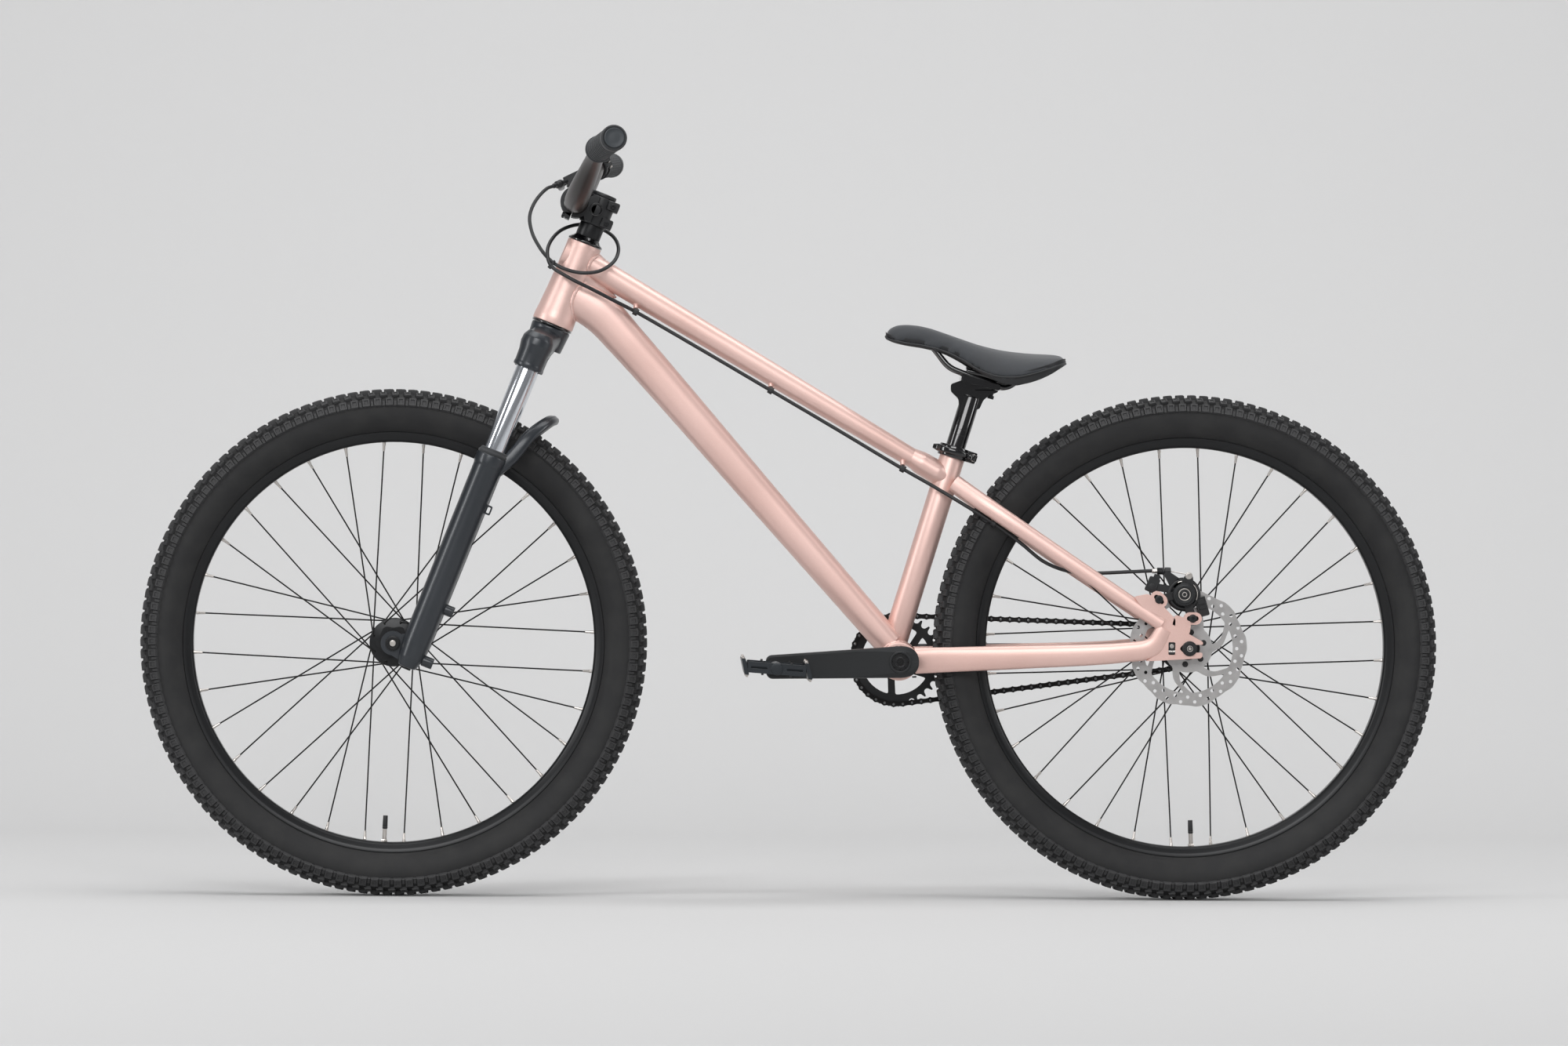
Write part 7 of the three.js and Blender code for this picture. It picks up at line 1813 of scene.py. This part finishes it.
def buildChain():
    # links turned along the step from pin to pin and stretched to it, outer and inner by turns
    size = linkSize
    pins = chainPins()
    after = np.roll(pins, -1, 0) - pins
    angle = np.arctan2(after[:, 2], after[:, 0])
    pitch = drive["pitch"]
    outline = arcPoints(0, 0, size["end"], 50, 310, 6) + [(pitch / 2, -size["waist"])]
    outline += arcPoints(pitch, 0, size["end"], -130, 130, 6) + [(pitch / 2, size["waist"])]
    cos, sin, zero, one = np.cos(angle), np.sin(angle), 0 * angle, 1 + 0 * angle
    scale = np.linalg.norm(after, axis=1) / pitch
    turns = np.stack(
        [np.stack(row, -1) for row in ((cos * scale, zero, -sin), (zero, one, zero), (sin * scale, zero, cos))], 1,
    )
    plates = []
    for first, (low, high) in enumerate((size["outer"], size["inner"])):
        pair = joined(platePart(outline, low, high), platePart(outline, -high, -low))
        plates.append(copies(pair, turns[first::2], pins[first::2]))
    piece("chain.plates", joined(*plates), "frame", "chain", "chain", 30)
    piece("chain.pins", repeated(lathePart(size["pin"], 10, closed=False), pins), "frame", "pin")
    piece("chain.rollers", repeated(lathePart(size["roller"], 14), pins), "frame", "chain")


pedalSize = {
    "half": 39.0, "near": 80.0, "far": 176.0, "thick": 7.4, "bearing": 8.4, "tilt": 4.0, "bar": 10.6,
    "barX": 42.5, "barHalf": 2.8, "lean": 0.3, "wall": 6.0, "webs": [106.0, 150.0],
    "pinRows": (86.0, 112.0, 144.0, 170.0), "pinLean": 3.2,
    "shaft": [(pole, -3.3), (0.9, -3.3), (1.5, -2.9), (1.6, -1.2), (2.4, -0.9), (2.4, 0.2), (pole, 0.2)],
    "axle": [(pole, 62), (4.7, 62), (4.7, 76.3), (7.2, 76.3), (7.2, 79.6), (4.8, 79.7), (4.8, 166), (pole, 166)],
}


def pedalFrame():
    # drawn for the bike's right: side walls with slots, slanted end bars, cross webs and the bearing tube
    p = pedalSize
    x, near, far, bar, thin = p["half"], p["near"], p["far"], p["bar"], p["barHalf"]
    slots = [rounded(np.array(box(11, 1.5)) + (way * 24, 0), 1.2, 3) for way in (-1, 1)]
    walls = [platePart(box(x, p["thick"]), low, low + p["wall"], slots, 2.0) for low in (near, far - p["wall"])]
    corners = ((-thin, bar), (thin, bar), (thin, -bar), (-thin, -bar))
    bars = [
        platePart([(way * p["barX"] + px - p["lean"] * pz, pz) for px, pz in corners], near + 1.5, far - 1.5, (), 1.4)
        for way in (-1, 1)
    ]
    webs = [platePart(box(x, 5.2), y - 2.6, y + 2.6, (), 1.0, 2) for y in p["webs"]]
    middle = roundedBox(15.0, 20.5, 5.6, 2.0, (0, 128.0, 0))
    tube = ringPart(5.3, p["bearing"], near, far + 0.8, 48, 0.8)
    cap = joined(discPart(7.6, far - 2, far + 1.6, 40, 0.7), ringPart(4.6, 5.2, far + 1.2, far + 1.9, 40, 0.15))
    return joined(*walls, *bars, *webs, middle, tube, cap)


def pinsAt(spots, lean):
    # pins point down at the spots, and again up from above, set back by twice the bars' lean
    shaft = lathePart(pedalSize["shaft"], 10, "Z", closed=False)
    low, high = ([(x + way * lean, y, way * z) for x, y, z in spots] for way in (1, -1))
    return joined(repeated(shaft, low), repeated(turned(shaft, "X", 180), high))


def buildPedals():
    # each pedal is set at its arm's end: length * cosine, length * sine of the arm's angle
    p, tilt = pedalSize, crankSize["tilt"]
    pins = pinsAt([(x, y, -p["bar"]) for x in (-p["barX"], p["barX"]) for y in p["pinRows"]], p["pinLean"])
    studs = pinsAt([(x, y, -6.4) for x in (-19.0, 19.0) for y in (83.0, 173.0)], 0)
    axle = turnedPart(p["axle"], 0.3, 2, 36, closed=False)
    for side, way in bothWays:
        turn = math.radians(180 - tilt if way < 0 else -tilt)
        spot = crankCentre + at(math.cos(turn), 0, -math.sin(turn)) * crankSize["length"]
        for name, part, body, finish, more in (
            ("platform", pedalFrame(), f"{side}_pedal", "pedal", {"stands": f"pedal_{side}", "ease": (0.6, 2)}),
            ("pins", pins, f"{side}_pedal", "steel", {}),
            ("studs", studs, f"{side}_pedal", "plastic", {}),
            ("axle", axle, "cranks", "steel", {"stands": f"pedal_axle_{side}", "slot": "steel"}),
        ):
            part = moved(turned(mirrored(part) if way < 0 else part, "Y", p["tilt"]), *spot)
            piece(f"pedal.{side}.{name}", part, body, finish, **more)


buildCranks()
buildRings()
buildChain()
buildPedals()
print("cranks, chain and pedals made")


# Rear dropouts, axle, adjusters and disc brake

dropoutSize = {
    "inner": 67.5, "outer": 74.5, "window": (-24.0, 4.6, 8.6), "inset": 0.25, "webInset": 0.55,
    "outline": [
        (-60, -17.6), (17, -13), (18, -5.3), (-8.7, -5.3), (-14, 0), (-8.7, 5.3), (18, 5.3), (18.4, 9), (-24, 33),
        (-29.3, 38.3), (-38, 27.7), (-38, -5.3),
    ],
    "soft": [3, 7, 3, 0.5, 6, 0.5, 3, 5, 6, 4, 5, 6],
    "webs": [
        [(-56, 74), (-76, 70), (-57, 46), (-38, 22), (-20, 26), (-19, 40), (-30, 51), (-38, 60)],
        [(-24, 31), (-20, 46), (-7, 42), (2, 34), (0, 20), (-12, 10)],
    ],
}
# Each brake tab: its place, its half width and its tilt
tabs = (((-41.9, 66.4), 9.2, -42), ((4.1, 40.8), 8.4, 0))
tabSlot = {"long": 12.4, "open": 8.0, "half": 3.3}
axleSize = {
    "shaft": [(pole, -81.6), (4.4, -81.6), (4.9, -80.8), (4.9, 80.8), (4.4, 81.6), (pole, 81.6)],
    "nut": {"radius": 8.5, "bore": 4.9, "low": -81.0, "high": -77.0, "soft": 1.1},
    "washers": [(5.0, 9.6, -77.6, -76.2, 48, 0.4), (5.0, 10.2, -76.2, -74.8, 48, 0.3)],
    "rim": (3.2, 4.1, -82.0, -81.2, 32, 0.2), "tip": (2.0, -82.0, -81.0, 24, 0.2),
}
# Bolts as (head radius, height, socket); places as (x, y, z)
adjuster = {
    "block": (4.1, 3.6, 8.1, 0.8, (-24.0, -71.0, 0)), "bolt": (2.9, 1.4, 1.3), "boltAt": (-24.0, -74.2, 3.2),
    "thread": 1.6, "threadAt": (-24.0, -73.6, -4.0),
}
rotorSize = {
    "radius": 78.8, "wave": 1.2, "lobes": 9, "band": 61.0, "hub": 33.0, "bore": 16.0, "arms": 6, "sweep": 30.0,
    "half": 5.2, "y": -52.0, "thick": 0.9, "holes": ((24, 66.2, 0.0), (24, 73.4, 7.5)), "bolts": (22.0, 6, 20),
}
calliper = {
    "x": -7.5, "z": 73.3, "stop": (-61.0, 104.6),
    "outer": [
        (pole, -54.4), (23.0, -54.4), (23.0, -64.0), (20.6, -66.5), (17.6, -66.5), (17.0, -65.2), (9.0, -65.2),
        (pole, -65.2),
    ],
    "inner": [(pole, -49.6), (17.0, -49.6), (17.0, -39.0), (15.0, -37.0), (7.0, -37.0), (6.4, -38.4), (pole, -38.4)],
    "neck": [(pole, -72.6), (8.4, -72.6), (8.4, -65.0), (pole, -65.0)],
    "bridge": [(-17.0, 8.9), (17.0, 8.9), (8.5, 22.0), (-8.5, 22.0)],
    "straps": (((-13.5, 73.3), 5.4), ((-3.5, 65.3), 5.6)),
    "stem": [(-29.8, 105.6), (-35.5, 101.6), (-24.0, 79.3), (-8.0, 87.3), (-14.0, 95.3)],
    "link": [(-46, 78), (-44, 88), (-20, 84), (-20, 74)],
    "knob": [
        (pole, -77.2), (6.6, -77.2), (7.0, -76.2), (8.6, -76.2), (9.2, -77.4), (12.2, -77.6), (12.8, -76.8),
        (15.0, -76.8), (15.4, -76.0), (15.4, -73.2), (14.6, -72.4), (pole, -72.4),
    ],
    "holder": {
        "boxes": [
            (7.6, 3.6, 10.5, 1.4), (4.4, 3.0, 3.4, 1.0, (1.0, -0.6, 12.0)),
        ], "button": (4.6, -4.6, -3.0, 36, 0.4),
        "buttonZ": -3.0, "tilt": 24, "place": (-50.0, -62.6, 86.0),
    },
    "tail": {
        "boxes": [(7.4, 3.8, 13.5, 1.6), (4.6, 1.6, 3.4, 0.6, (0, -4.0, 6.5)), (4.6, 1.6, 2.0, 0.6, (0, -4.0, -1.5))],
        "tilt": -16, "place": (17.5, -61.5, 57.0),
    },
    "strapReach": (-67.1, -60.6), "eye": (9.1, -67.2, -60.4, 48, 0.8), "bolt": (4.6, 4.4, 2.3, 30), "boltY": -75.0,
    "boltWasher": (5.6, -75.4, -74.0, 36, 0.3),
    "ridge": {"box": (0.55, 1.5, 0.8, 0.25, (0, 0, 0), 2), "count": 24, "radius": 15.3, "y": -74.6},
    "rings": [(7.1, 8.4, -77.0, -75.8, 56, 0.3), (2.4, 3.4, -77.8, -76.9, 32, 0.2)],
    "spring": {"radius": 17.9, "turn": (-25, 118), "y": -68.0, "thick": 0.9},
    "ferrule": [(pole, -50.6), (2.9, -50.6), (3.2, -50.2), (3.2, -43.8), (pole, -43.8)],
    "arm": [(-6.5, -2.0), (12.4, -3.0), (12.6, 8.0), (11.8, 25.5), (6.0, 31.0), (0.4, 25.5), (-8.0, 7.0)],
}


def atRear(part):
    # from a frame with its origin on the rear axle
    return moved(part, *rearAxle)


def grooved(low, high, count, deep, full):
    # distance and radius in turn down in a groove and up on a rib
    return [(place, full if i % 2 else deep) for i, place in enumerate(np.linspace(low, high, count))]


def slotLoop(x, z, long, half, tilt):
    # a slot with round ends round a place, its length turned up by the tilt
    turn = math.radians(tilt)
    spots = [
        (way * (long - half), math.radians(d + shift))
        for way, shift in ((1, 0), (-1, 180)) for d in range(-90, 91, 18)
    ]
    flat = [(dx + half * math.cos(a), half * math.sin(a)) for dx, a in spots]
    return [
        (x + u * math.cos(turn) - v * math.sin(turn), z + u * math.sin(turn) + v * math.cos(turn))
        for u, v in flat
    ]


def strap(start, end, half):
    # the four corners of a strip of the given half width from one place to another
    start, end = np.array(start), np.array(end)
    along = unit(end - start)
    across = half * np.array([-along[1], along[0]])
    return [start - across, end - across, end + across, start + across]


def buildDropouts():
    # slotted plates, the left one with two tabs on webs; adjusters in their windows; axle and nuts
    d, t = dropoutSize, tabSlot
    x, halfX, halfZ = d["window"]
    window = rounded(np.array(box(halfX, halfZ)) + (x, 0), 1.6, 4)
    plate = platePart(d["outline"], -d["outer"], -d["inner"], [window], d["soft"], 5)
    (low, high), (webLow, webHigh) = (
        (inset - d["outer"], -d["inner"] - inset) for inset in (d["inset"], d["webInset"])
    )
    ends = [
        platePart(slotLoop(*place, t["long"], half, tilt), low, high, [slotLoop(*place, t["open"], t["half"], tilt)])
        for place, half, tilt in tabs
    ]
    webs = [platePart(web, webLow, webHigh, (), 4.0, 4) for web in d["webs"]]
    for side, part in (("left", joined(plate, *ends, *webs)), ("right", mirrored(plate))):
        piece(f"dropout.{side}", atRear(part), "frame", "frame", f"dropout_{side}", ease=(0.8, 3))
    a = adjuster
    block = roundedBox(*a["block"])
    thread = moved(rodPart(at(-halfX, 0, 0), at(halfX, 0, 0), a["thread"], sides=16), *a["threadAt"])
    screw = joined(moved(boltPart(*a["bolt"]), *a["boltAt"]), thread)
    for side, turn in (("left", lambda part: part), ("right", mirrored)):
        name = f"chainAdjuster.{side}"
        piece(f"{name}.block", atRear(turn(block)), "frame", "plastic", f"chain_adjuster_{side}")
        piece(f"{name}.screw", atRear(turn(screw)), "frame", "steel")
    n = axleSize["nut"]
    shaft = turnedPart(axleSize["shaft"], 0.2, 2, 32, closed=False)
    hexagon = platePart(circle(n["radius"], 6), n["low"], n["high"], [circle(n["bore"], 24)], n["soft"])
    nut = joined(hexagon, rings(axleSize["washers"]))
    tip = joined(ringPart(*axleSize["rim"]), discPart(*axleSize["tip"]))
    piece("rearAxle.nuts", atRear(joined(shaft, bothSides(nut))), "frame", "satin", "rear_axle", ease=(0.3, 2))
    piece("rearAxle.tips", atRear(bothSides(tip)), "frame", "steel")


def rotorWindow(arm):
    # between two swept arms: an arc near the hub and one near the band, joined by bent sides
    r = rotorSize
    pitch, middle = 360 / r["arms"], (r["hub"] + r["band"]) / 2
    start = pitch * arm
    low, mid, high = (math.degrees(r["half"] / radius) for radius in (r["hub"], middle, r["band"]))
    near = arcPoints(0, 0, r["hub"], start + low, start + pitch - low, 4)
    far = arcPoints(0, 0, r["band"], start + r["sweep"] + high, start + r["sweep"] + pitch - high, 8)
    bend = start + r["sweep"] / 3
    lead, trail = (arcPoints(0, 0, middle, turn, turn, 0) for turn in (bend + mid, bend + pitch - mid))
    return rounded(near + trail + far[::-1] + lead, [3.0] + [0.8] * 3 + [3.0, 12.0, 3.5] + [0.8] * 7 + [3.5, 12.0], 4)


def buildRotor():
    # wavy rim: radius = mean + wave * clipped cosine; two staggered rows of drilled holes in the band
    r = rotorSize
    y = r["y"] - r["thick"]
    reach = r["radius"] + r["wave"] * np.clip(1.8 * np.cos(r["lobes"] * (ringAngles(288) - math.radians(5))), -1, 1)
    holes = [circle(r["bore"], 36), *(rotorWindow(arm) for arm in range(r["arms"]))]
    for count, radius, shift in r["holes"]:
        holes += [circle(2.4, 12) + place for place in circle(radius, count, shift)]
    disc = platePart(circle(1.0, 288) * reach[:, None], y, r["y"] + r["thick"], holes)
    piece("rotor.disc", atRear(disc), "rear_wheel", "rotor", "brake_rotor")
    bolts = repeated(boltPart(4.0, 1.9, 1.6), np.insert(circle(*r["bolts"]), 1, y, 1))
    piece("rotor.bolts", atRear(bolts), "rear_wheel", "satin", slot="steel")


def buildCalliper():
    # the body's two halves over the rotor with straps to both tabs, then its small parts
    c = calliper
    x, z, (stopY, stopZ) = c["x"], c["z"], c["stop"]

    def here(part):
        return atRear(moved(part, x, 0, z))

    outer, inner = (
        turnedPart(c[name], 0.6, 3, sides, closed=False)
        for name, sides in (("outer", 72), ("inner", 64))
    )
    bridge = platePart(c["bridge"], -66.0, -37.6, (), 3.0, 4)
    neck = lathePart(c["neck"], 40, closed=False)
    places = [at(*np.insert(place, 1, 0)) for place, _, _ in tabs]
    straps = [
        platePart(strap(place[[0, 2]], end, half), *c["strapReach"], (), 1.0)
        for place, (end, half) in zip(places, c["straps"])
    ]
    eyes = repeated(discPart(*c["eye"]), places)
    stem = platePart(c["stem"], -66.0, -60.0, (), 2.4)
    link = platePart(c["link"], -65.0, -59.8, (), 1.5)
    holder, tail = (moved(turned(boxes(p["boxes"]), "Y", p["tilt"]), *p["place"]) for p in (c["holder"], c["tail"]))
    button = moved(discPart(*c["holder"]["button"]), 0, 0, c["holder"]["buttonZ"])
    button = moved(turned(button, "Y", c["holder"]["tilt"]), *c["holder"]["place"])
    body = joined(
        here(joined(outer, inner, bridge, neck)), atRear(joined(*straps, eyes, stem, holder, button, tail, link)),
    )
    piece("calliper.body", body, "frame", "satin", "brake_calliper", ease=(0.5, 2))
    r = c["ridge"]
    turns = np.stack([turnAbout("Y", -360 / r["count"] * i) for i in range(r["count"])])
    ridges = copies(roundedBox(*r["box"]), turns, np.insert(circle(r["radius"], r["count"]), 1, r["y"], 1))
    piece("calliper.knob", here(joined(turnedPart(c["knob"], 0.35, 3, 72, closed=False), ridges)), "frame", "crank")
    piece("calliper.rings", here(rings(c["rings"])), "frame", "steel")
    s = c["spring"]
    arc = np.insert(np.array(arcPoints(0, 0, s["radius"], *s["turn"], 59)), 1, s["y"], 1)
    piece("calliper.spring", here(sweepPart(arc, s["thick"], s["thick"], 2.0, 12)), "frame", "steel")
    bolt = joined(moved(boltPart(*c["bolt"]), 0, c["boltY"], 0), discPart(*c["boltWasher"]))
    piece("calliper.bolts", atRear(repeated(bolt, places)), "frame", "crank")
    barrel = [
        (-44.0, pole), (-44.0, 3.4), *grooved(
            -43.6, -37.4, 11, 4.5, 5.0,
        ), (-36.8, 4.4), (-36.6, 5.2), (-35.0, 5.2), (-34.6, 3.6),
        (-33.6, 3.6), (-33.2, 5.2), (-26.0, 5.2), (-25.2, 4.4), (-25.2, pole),
    ]
    barrel = moved(lathePart([(radius, place) for place, radius in barrel], 36, "X", closed=False), 0, stopY, stopZ)
    piece("calliper.stop", atRear(barrel), "frame", "satin", sharp=30)
    ferrule = moved(lathePart(c["ferrule"], 28, "X", closed=False), 0, stopY + 0.6, stopZ + 0.1)
    piece("calliper.ferrule", atRear(ferrule), "frame", "steel")
    arm = rounded(c["arm"], [3, 4, 6, 4, 5, 4, 4], 4)
    pull = joined(platePart(arm, -71.4, -68.7, [circle(8.7, 36)]), ringPart(8.75, 13.3, -71.9, -68.2, 64, 0.6))
    piece("brakeArm.plate", here(pull), "calliper_arm", "satin", "brake_arm", ease=(0.4, 2))
    clamp = joined(moved(boltPart(3.4, 3.0, 1.7), 0, -72.6, 0), discPart(4.9, -72.9, -71.2, 32, 0.3))
    piece("brakeArm.clamp", here(moved(clamp, 6.0, 0, 25.5)), "calliper_arm", "steel")
    wire = rodPart(at(-26.0, stopY, stopZ), at(x + 8.5, -72.0, z + 26.5), 0.75, sides=10)
    piece("brakeArm.wire", atRear(wire), "calliper_arm", "steel")


# Brake lever, its perch and the cable

leverSize = {
    "y": 234.0, "aim": 227.4, "pivot": 26.0, "blade": 58.0, "length": 88.0, "half": 3.3, "clamp": (224.0, 243.0),
    "clampRadii": (11.4, 15.2), "cheekAcross": (4.3, 7.8), "back": (18.0, 2.3, 7.2, 1.4, (30.0, -8.2, 0)),
    "lug": (4.2, 7.6, 2.6, 1.0), "lugX": -17.4, "lugZ": 3.4, "pinchX": -18.0, "eye": (2.8, 5.9, -3.5, 3.5, 48, 0.6),
    # discs as radius, low and high along y, sides and edge
    "pin": (2.6, -8.2, 8.2, 28, 0.3), "pinHead": (3.9, 7.6, 8.8, 28, 0.4), "pinch": (2.4, -8.0, 8.0, 24, 0.3),
    "pinchHead": (3.6, 2.4, 1.7), "pinchY": -6.0,
    "cheek": [(12.0, 10.3), (44.0, 10.3), (51.0, 5.0), (44.0, -5.0), (31.0, -9.5), (12.0, -9.0)],
    # along the blade: the share of its reach out, the share of its length, its thickness and its width
    "shares": [
        (0, 0, 1.3, 1.0), (0.5, 0.02, 1.5, 1.0), (0.78, 0.09, 1.4, 1.05), (0.94, 0.22, 1.15, 1.3),
        (1, 0.46, 1.05, 1.4), (0.97, 0.74, 1.15, 1.35), (0.92, 0.93, 1.3, 1.25), (0.9, 1, 1.3, 1.2),
    ],
}
cable = {
    "radius": 2.5, "steps": 560, "bendFrom": (-0.235, 0.0, 0.85), "bendTo": (-0.345, 0.0, 0.905),
    "crossing": (-329.0, -24.0, 858.5),
    "route": [
        (-328.02, 196, 975.15), (-336.64, 182, 971.19), (-351.54, 150, 953.37), (-359.71, 108.01, 929.88),
        (-355.95, 64, 905.54), (-345.82, 22, 884.75), (-335.91, -8, 870.95), (-324.01, -24, 859.83),
        (-303.66, -37, 850.51), (-283.42, -40, 847.37), (-262.17, -36, 850.85), (-244.1, -22, 863.69),
        (-237.72, 0, 881.57), (-244.17, 21, 898.33), (-258.66, 33, 908.84), (-276.41, 36, 914.74),
        (-293.57, 32, 915.52), (-314.92, 20, 907.94), (-328.67, 4, 893.86), (-334.34, -9.99, 877.3),
        (-329.32, -24, 857.66), (-303.59, -38, 840.37), (-273.68, -36, 825.76), (-243.74, -28, 810.76),
        (-213.66, -17, 795.83), (-121.53, -16, 743.73), (-29.43, -16, 690.56), (61.56, -17, 637.9),
        (150.9, -22, 585.21), (193.84, -27, 561.03), (236.28, -33, 535.78), (274.54, -37, 512.13),
        (310.72, -40, 485.83), (343.84, -41, 460.01), (376.54, -40, 447.91), (414.14, -41, 445.65),
        (456.99, -50, 447.68), (488, -60, 449.43),
    ],
}


def besideBar(part):
    # out from the bar is x, along it y, across it z; turned to the lever's aim and set on the leaning head line
    return onHead(moved(turned(part, "Y", -leverSize["aim"]), *barCentre(leverSize["y"])))


def buildPerch():
    # a clamp round the bar with two cheeks, and the barrel along the cable's first step
    v = leverSize
    near, far = v["cheekAcross"]
    ring = onHead(sleeve(*(barCentre(y) for y in v["clamp"]), *v["clampRadii"], 48, 0.9))
    cheek = rounded(v["cheek"], [1, 4, 4, 6, 6, 1], 4)
    cheeks = [turned(platePart(cheek, low, high), "X", 90) for low, high in ((near, far), (-far, -near))]
    lugs = [roundedBox(*v["lug"], (v["lugX"], 0, way * v["lugZ"])) for way in (-1, 1)]
    body = joined(ring, besideBar(joined(*cheeks, roundedBox(*v["back"]), *lugs)))
    piece("perch.body", body, "steering", "satin", "brake_perch", ease=(0.5, 2))
    pin = joined(discPart(*v["pin"]), discPart(*v["pinHead"]))
    pinch = joined(discPart(*v["pinch"]), moved(boltPart(*v["pinchHead"]), 0, v["pinchY"], 0))
    screws = turned(joined(moved(pin, v["pivot"], 0, 0), moved(pinch, v["pinchX"], 0, 0)), "X", 90)
    piece("perch.screws", besideBar(screws), "steering", "steel")
    first, second = (np.array(p, float) for p in cable["route"][:2])
    profile = [(0.4, 2.9), (1.0, 3.4), (8.0, 3.4), *grooved(9.0, 17.0, 13, 4.6, 5.1)]
    profile += [(17.8, 4.2), (18.0, 5.4), (20.6, 5.4), (21.0, 3.3), (36.5, 3.3)]
    barrel = alongLines(profile, first[None], (first + unit(first - second) * 40)[None], 32)
    piece("perch.barrel", barrel, "steering", "satin", sharp=30)


def buildLever():
    # the blade's sizes are shares read smoothly along it, and fade as a square root at its end
    v = leverSize
    out, along, thick, wide = np.array(v["shares"], float).T
    path = np.stack([v["pivot"] + (v["blade"] - v["pivot"]) * out, v["length"] * along, 0 * out], -1)
    taper = np.clip((1 - np.linspace(0, 1, 91)) * 18, 0.05, 1) ** 0.5
    wide, thick = (stretched(row * v["half"], 90) * taper for row in (wide, thick))
    blade = sweepPart(through(path, 90), wide, thick, 2.6, 32, (0, 0, 1))
    eye = moved(turned(ringPart(*v["eye"]), "X", 90), v["pivot"], 0, 0)
    piece("lever.blade", besideBar(joined(blade, eye)), "lever", "anodised", "brake_lever", 50)


def steadyTube(path, radius, sides):
    # rings square to the path, set out from the one direction that the path never comes near
    along = unit(np.gradient(path, axis=0))
    turn = np.arange(240) * 2.39996
    height = (np.arange(240) + 0.5) / 240
    choices = np.stack([np.sqrt(1 - height**2) * np.cos(turn), np.sqrt(1 - height**2) * np.sin(turn), height], -1)
    nearest = np.abs(along @ choices.T).max(0)
    return sweepPart(path, radius, radius, 2.0, sides, choices[int(nearest.argmin())])


def buildCable():
    # a round tube along the route, which runs between the steering and the frame
    path = through(cable["route"], cable["steps"])
    housing = steadyTube(path, cable["radius"], 16)
    made = piece("brake_cable.housing", housing, "frame", "plastic", "brake_cable", 60, slot="cable_plastic")
    made.parent = None
    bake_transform(made)
    tuple(path[0] * millimetre)
    [tuple(p) for p in path * millimetre]
    # a tie holds the two runs together where the loop crosses itself by the head tube
    near = path[np.argmin(np.linalg.norm(path - at(*cable["crossing"]), axis=1))]
    tie = turned(joined(roundedBox(6.2, 3.4, 1.6, 0.6), roundedBox(1.6, 2.2, 2.6, 0.5, (-5.6, -2.4, 0))), "Y", -52)
    piece("brake_cable.tie", moved(tie, *(near + at(2.2, -0.4, 1.0))), "frame", "plastic", slot="cable_plastic")


cableClips()
buildDropouts()
buildRotor()
buildCalliper()
buildPerch()
buildLever()
buildCable()
print("dropouts, brake and cable made")


# What is left of the CAD is shown with its finish

slotFinish = {
    "frame_paint": "frame", "fork_paint": "fork", "chrome": "chrome", "black_satin": "satin", "black_gloss": "gloss",
    "bar_paint": "bar", "grip_rubber": "grip", "tyre": "tyre", "cable_plastic": "plastic", "steel": "steel",
    "saddle_cover": "cloth",
}


def dressRest():
    # every CAD node still shown takes the finish of its slot
    slots = {row["node"]: row["material_slot"] for row in frame["record"]["subparts"]}
    for node in [node for node in frame["nodes"].values() if not node.hide_render]:
        finish = finishes[slotFinish[slots[node.name]]]
        if not node.material_slots:
            node.data.materials.append(finish)
        for place in node.material_slots:
            place.material = finish


dressRest()
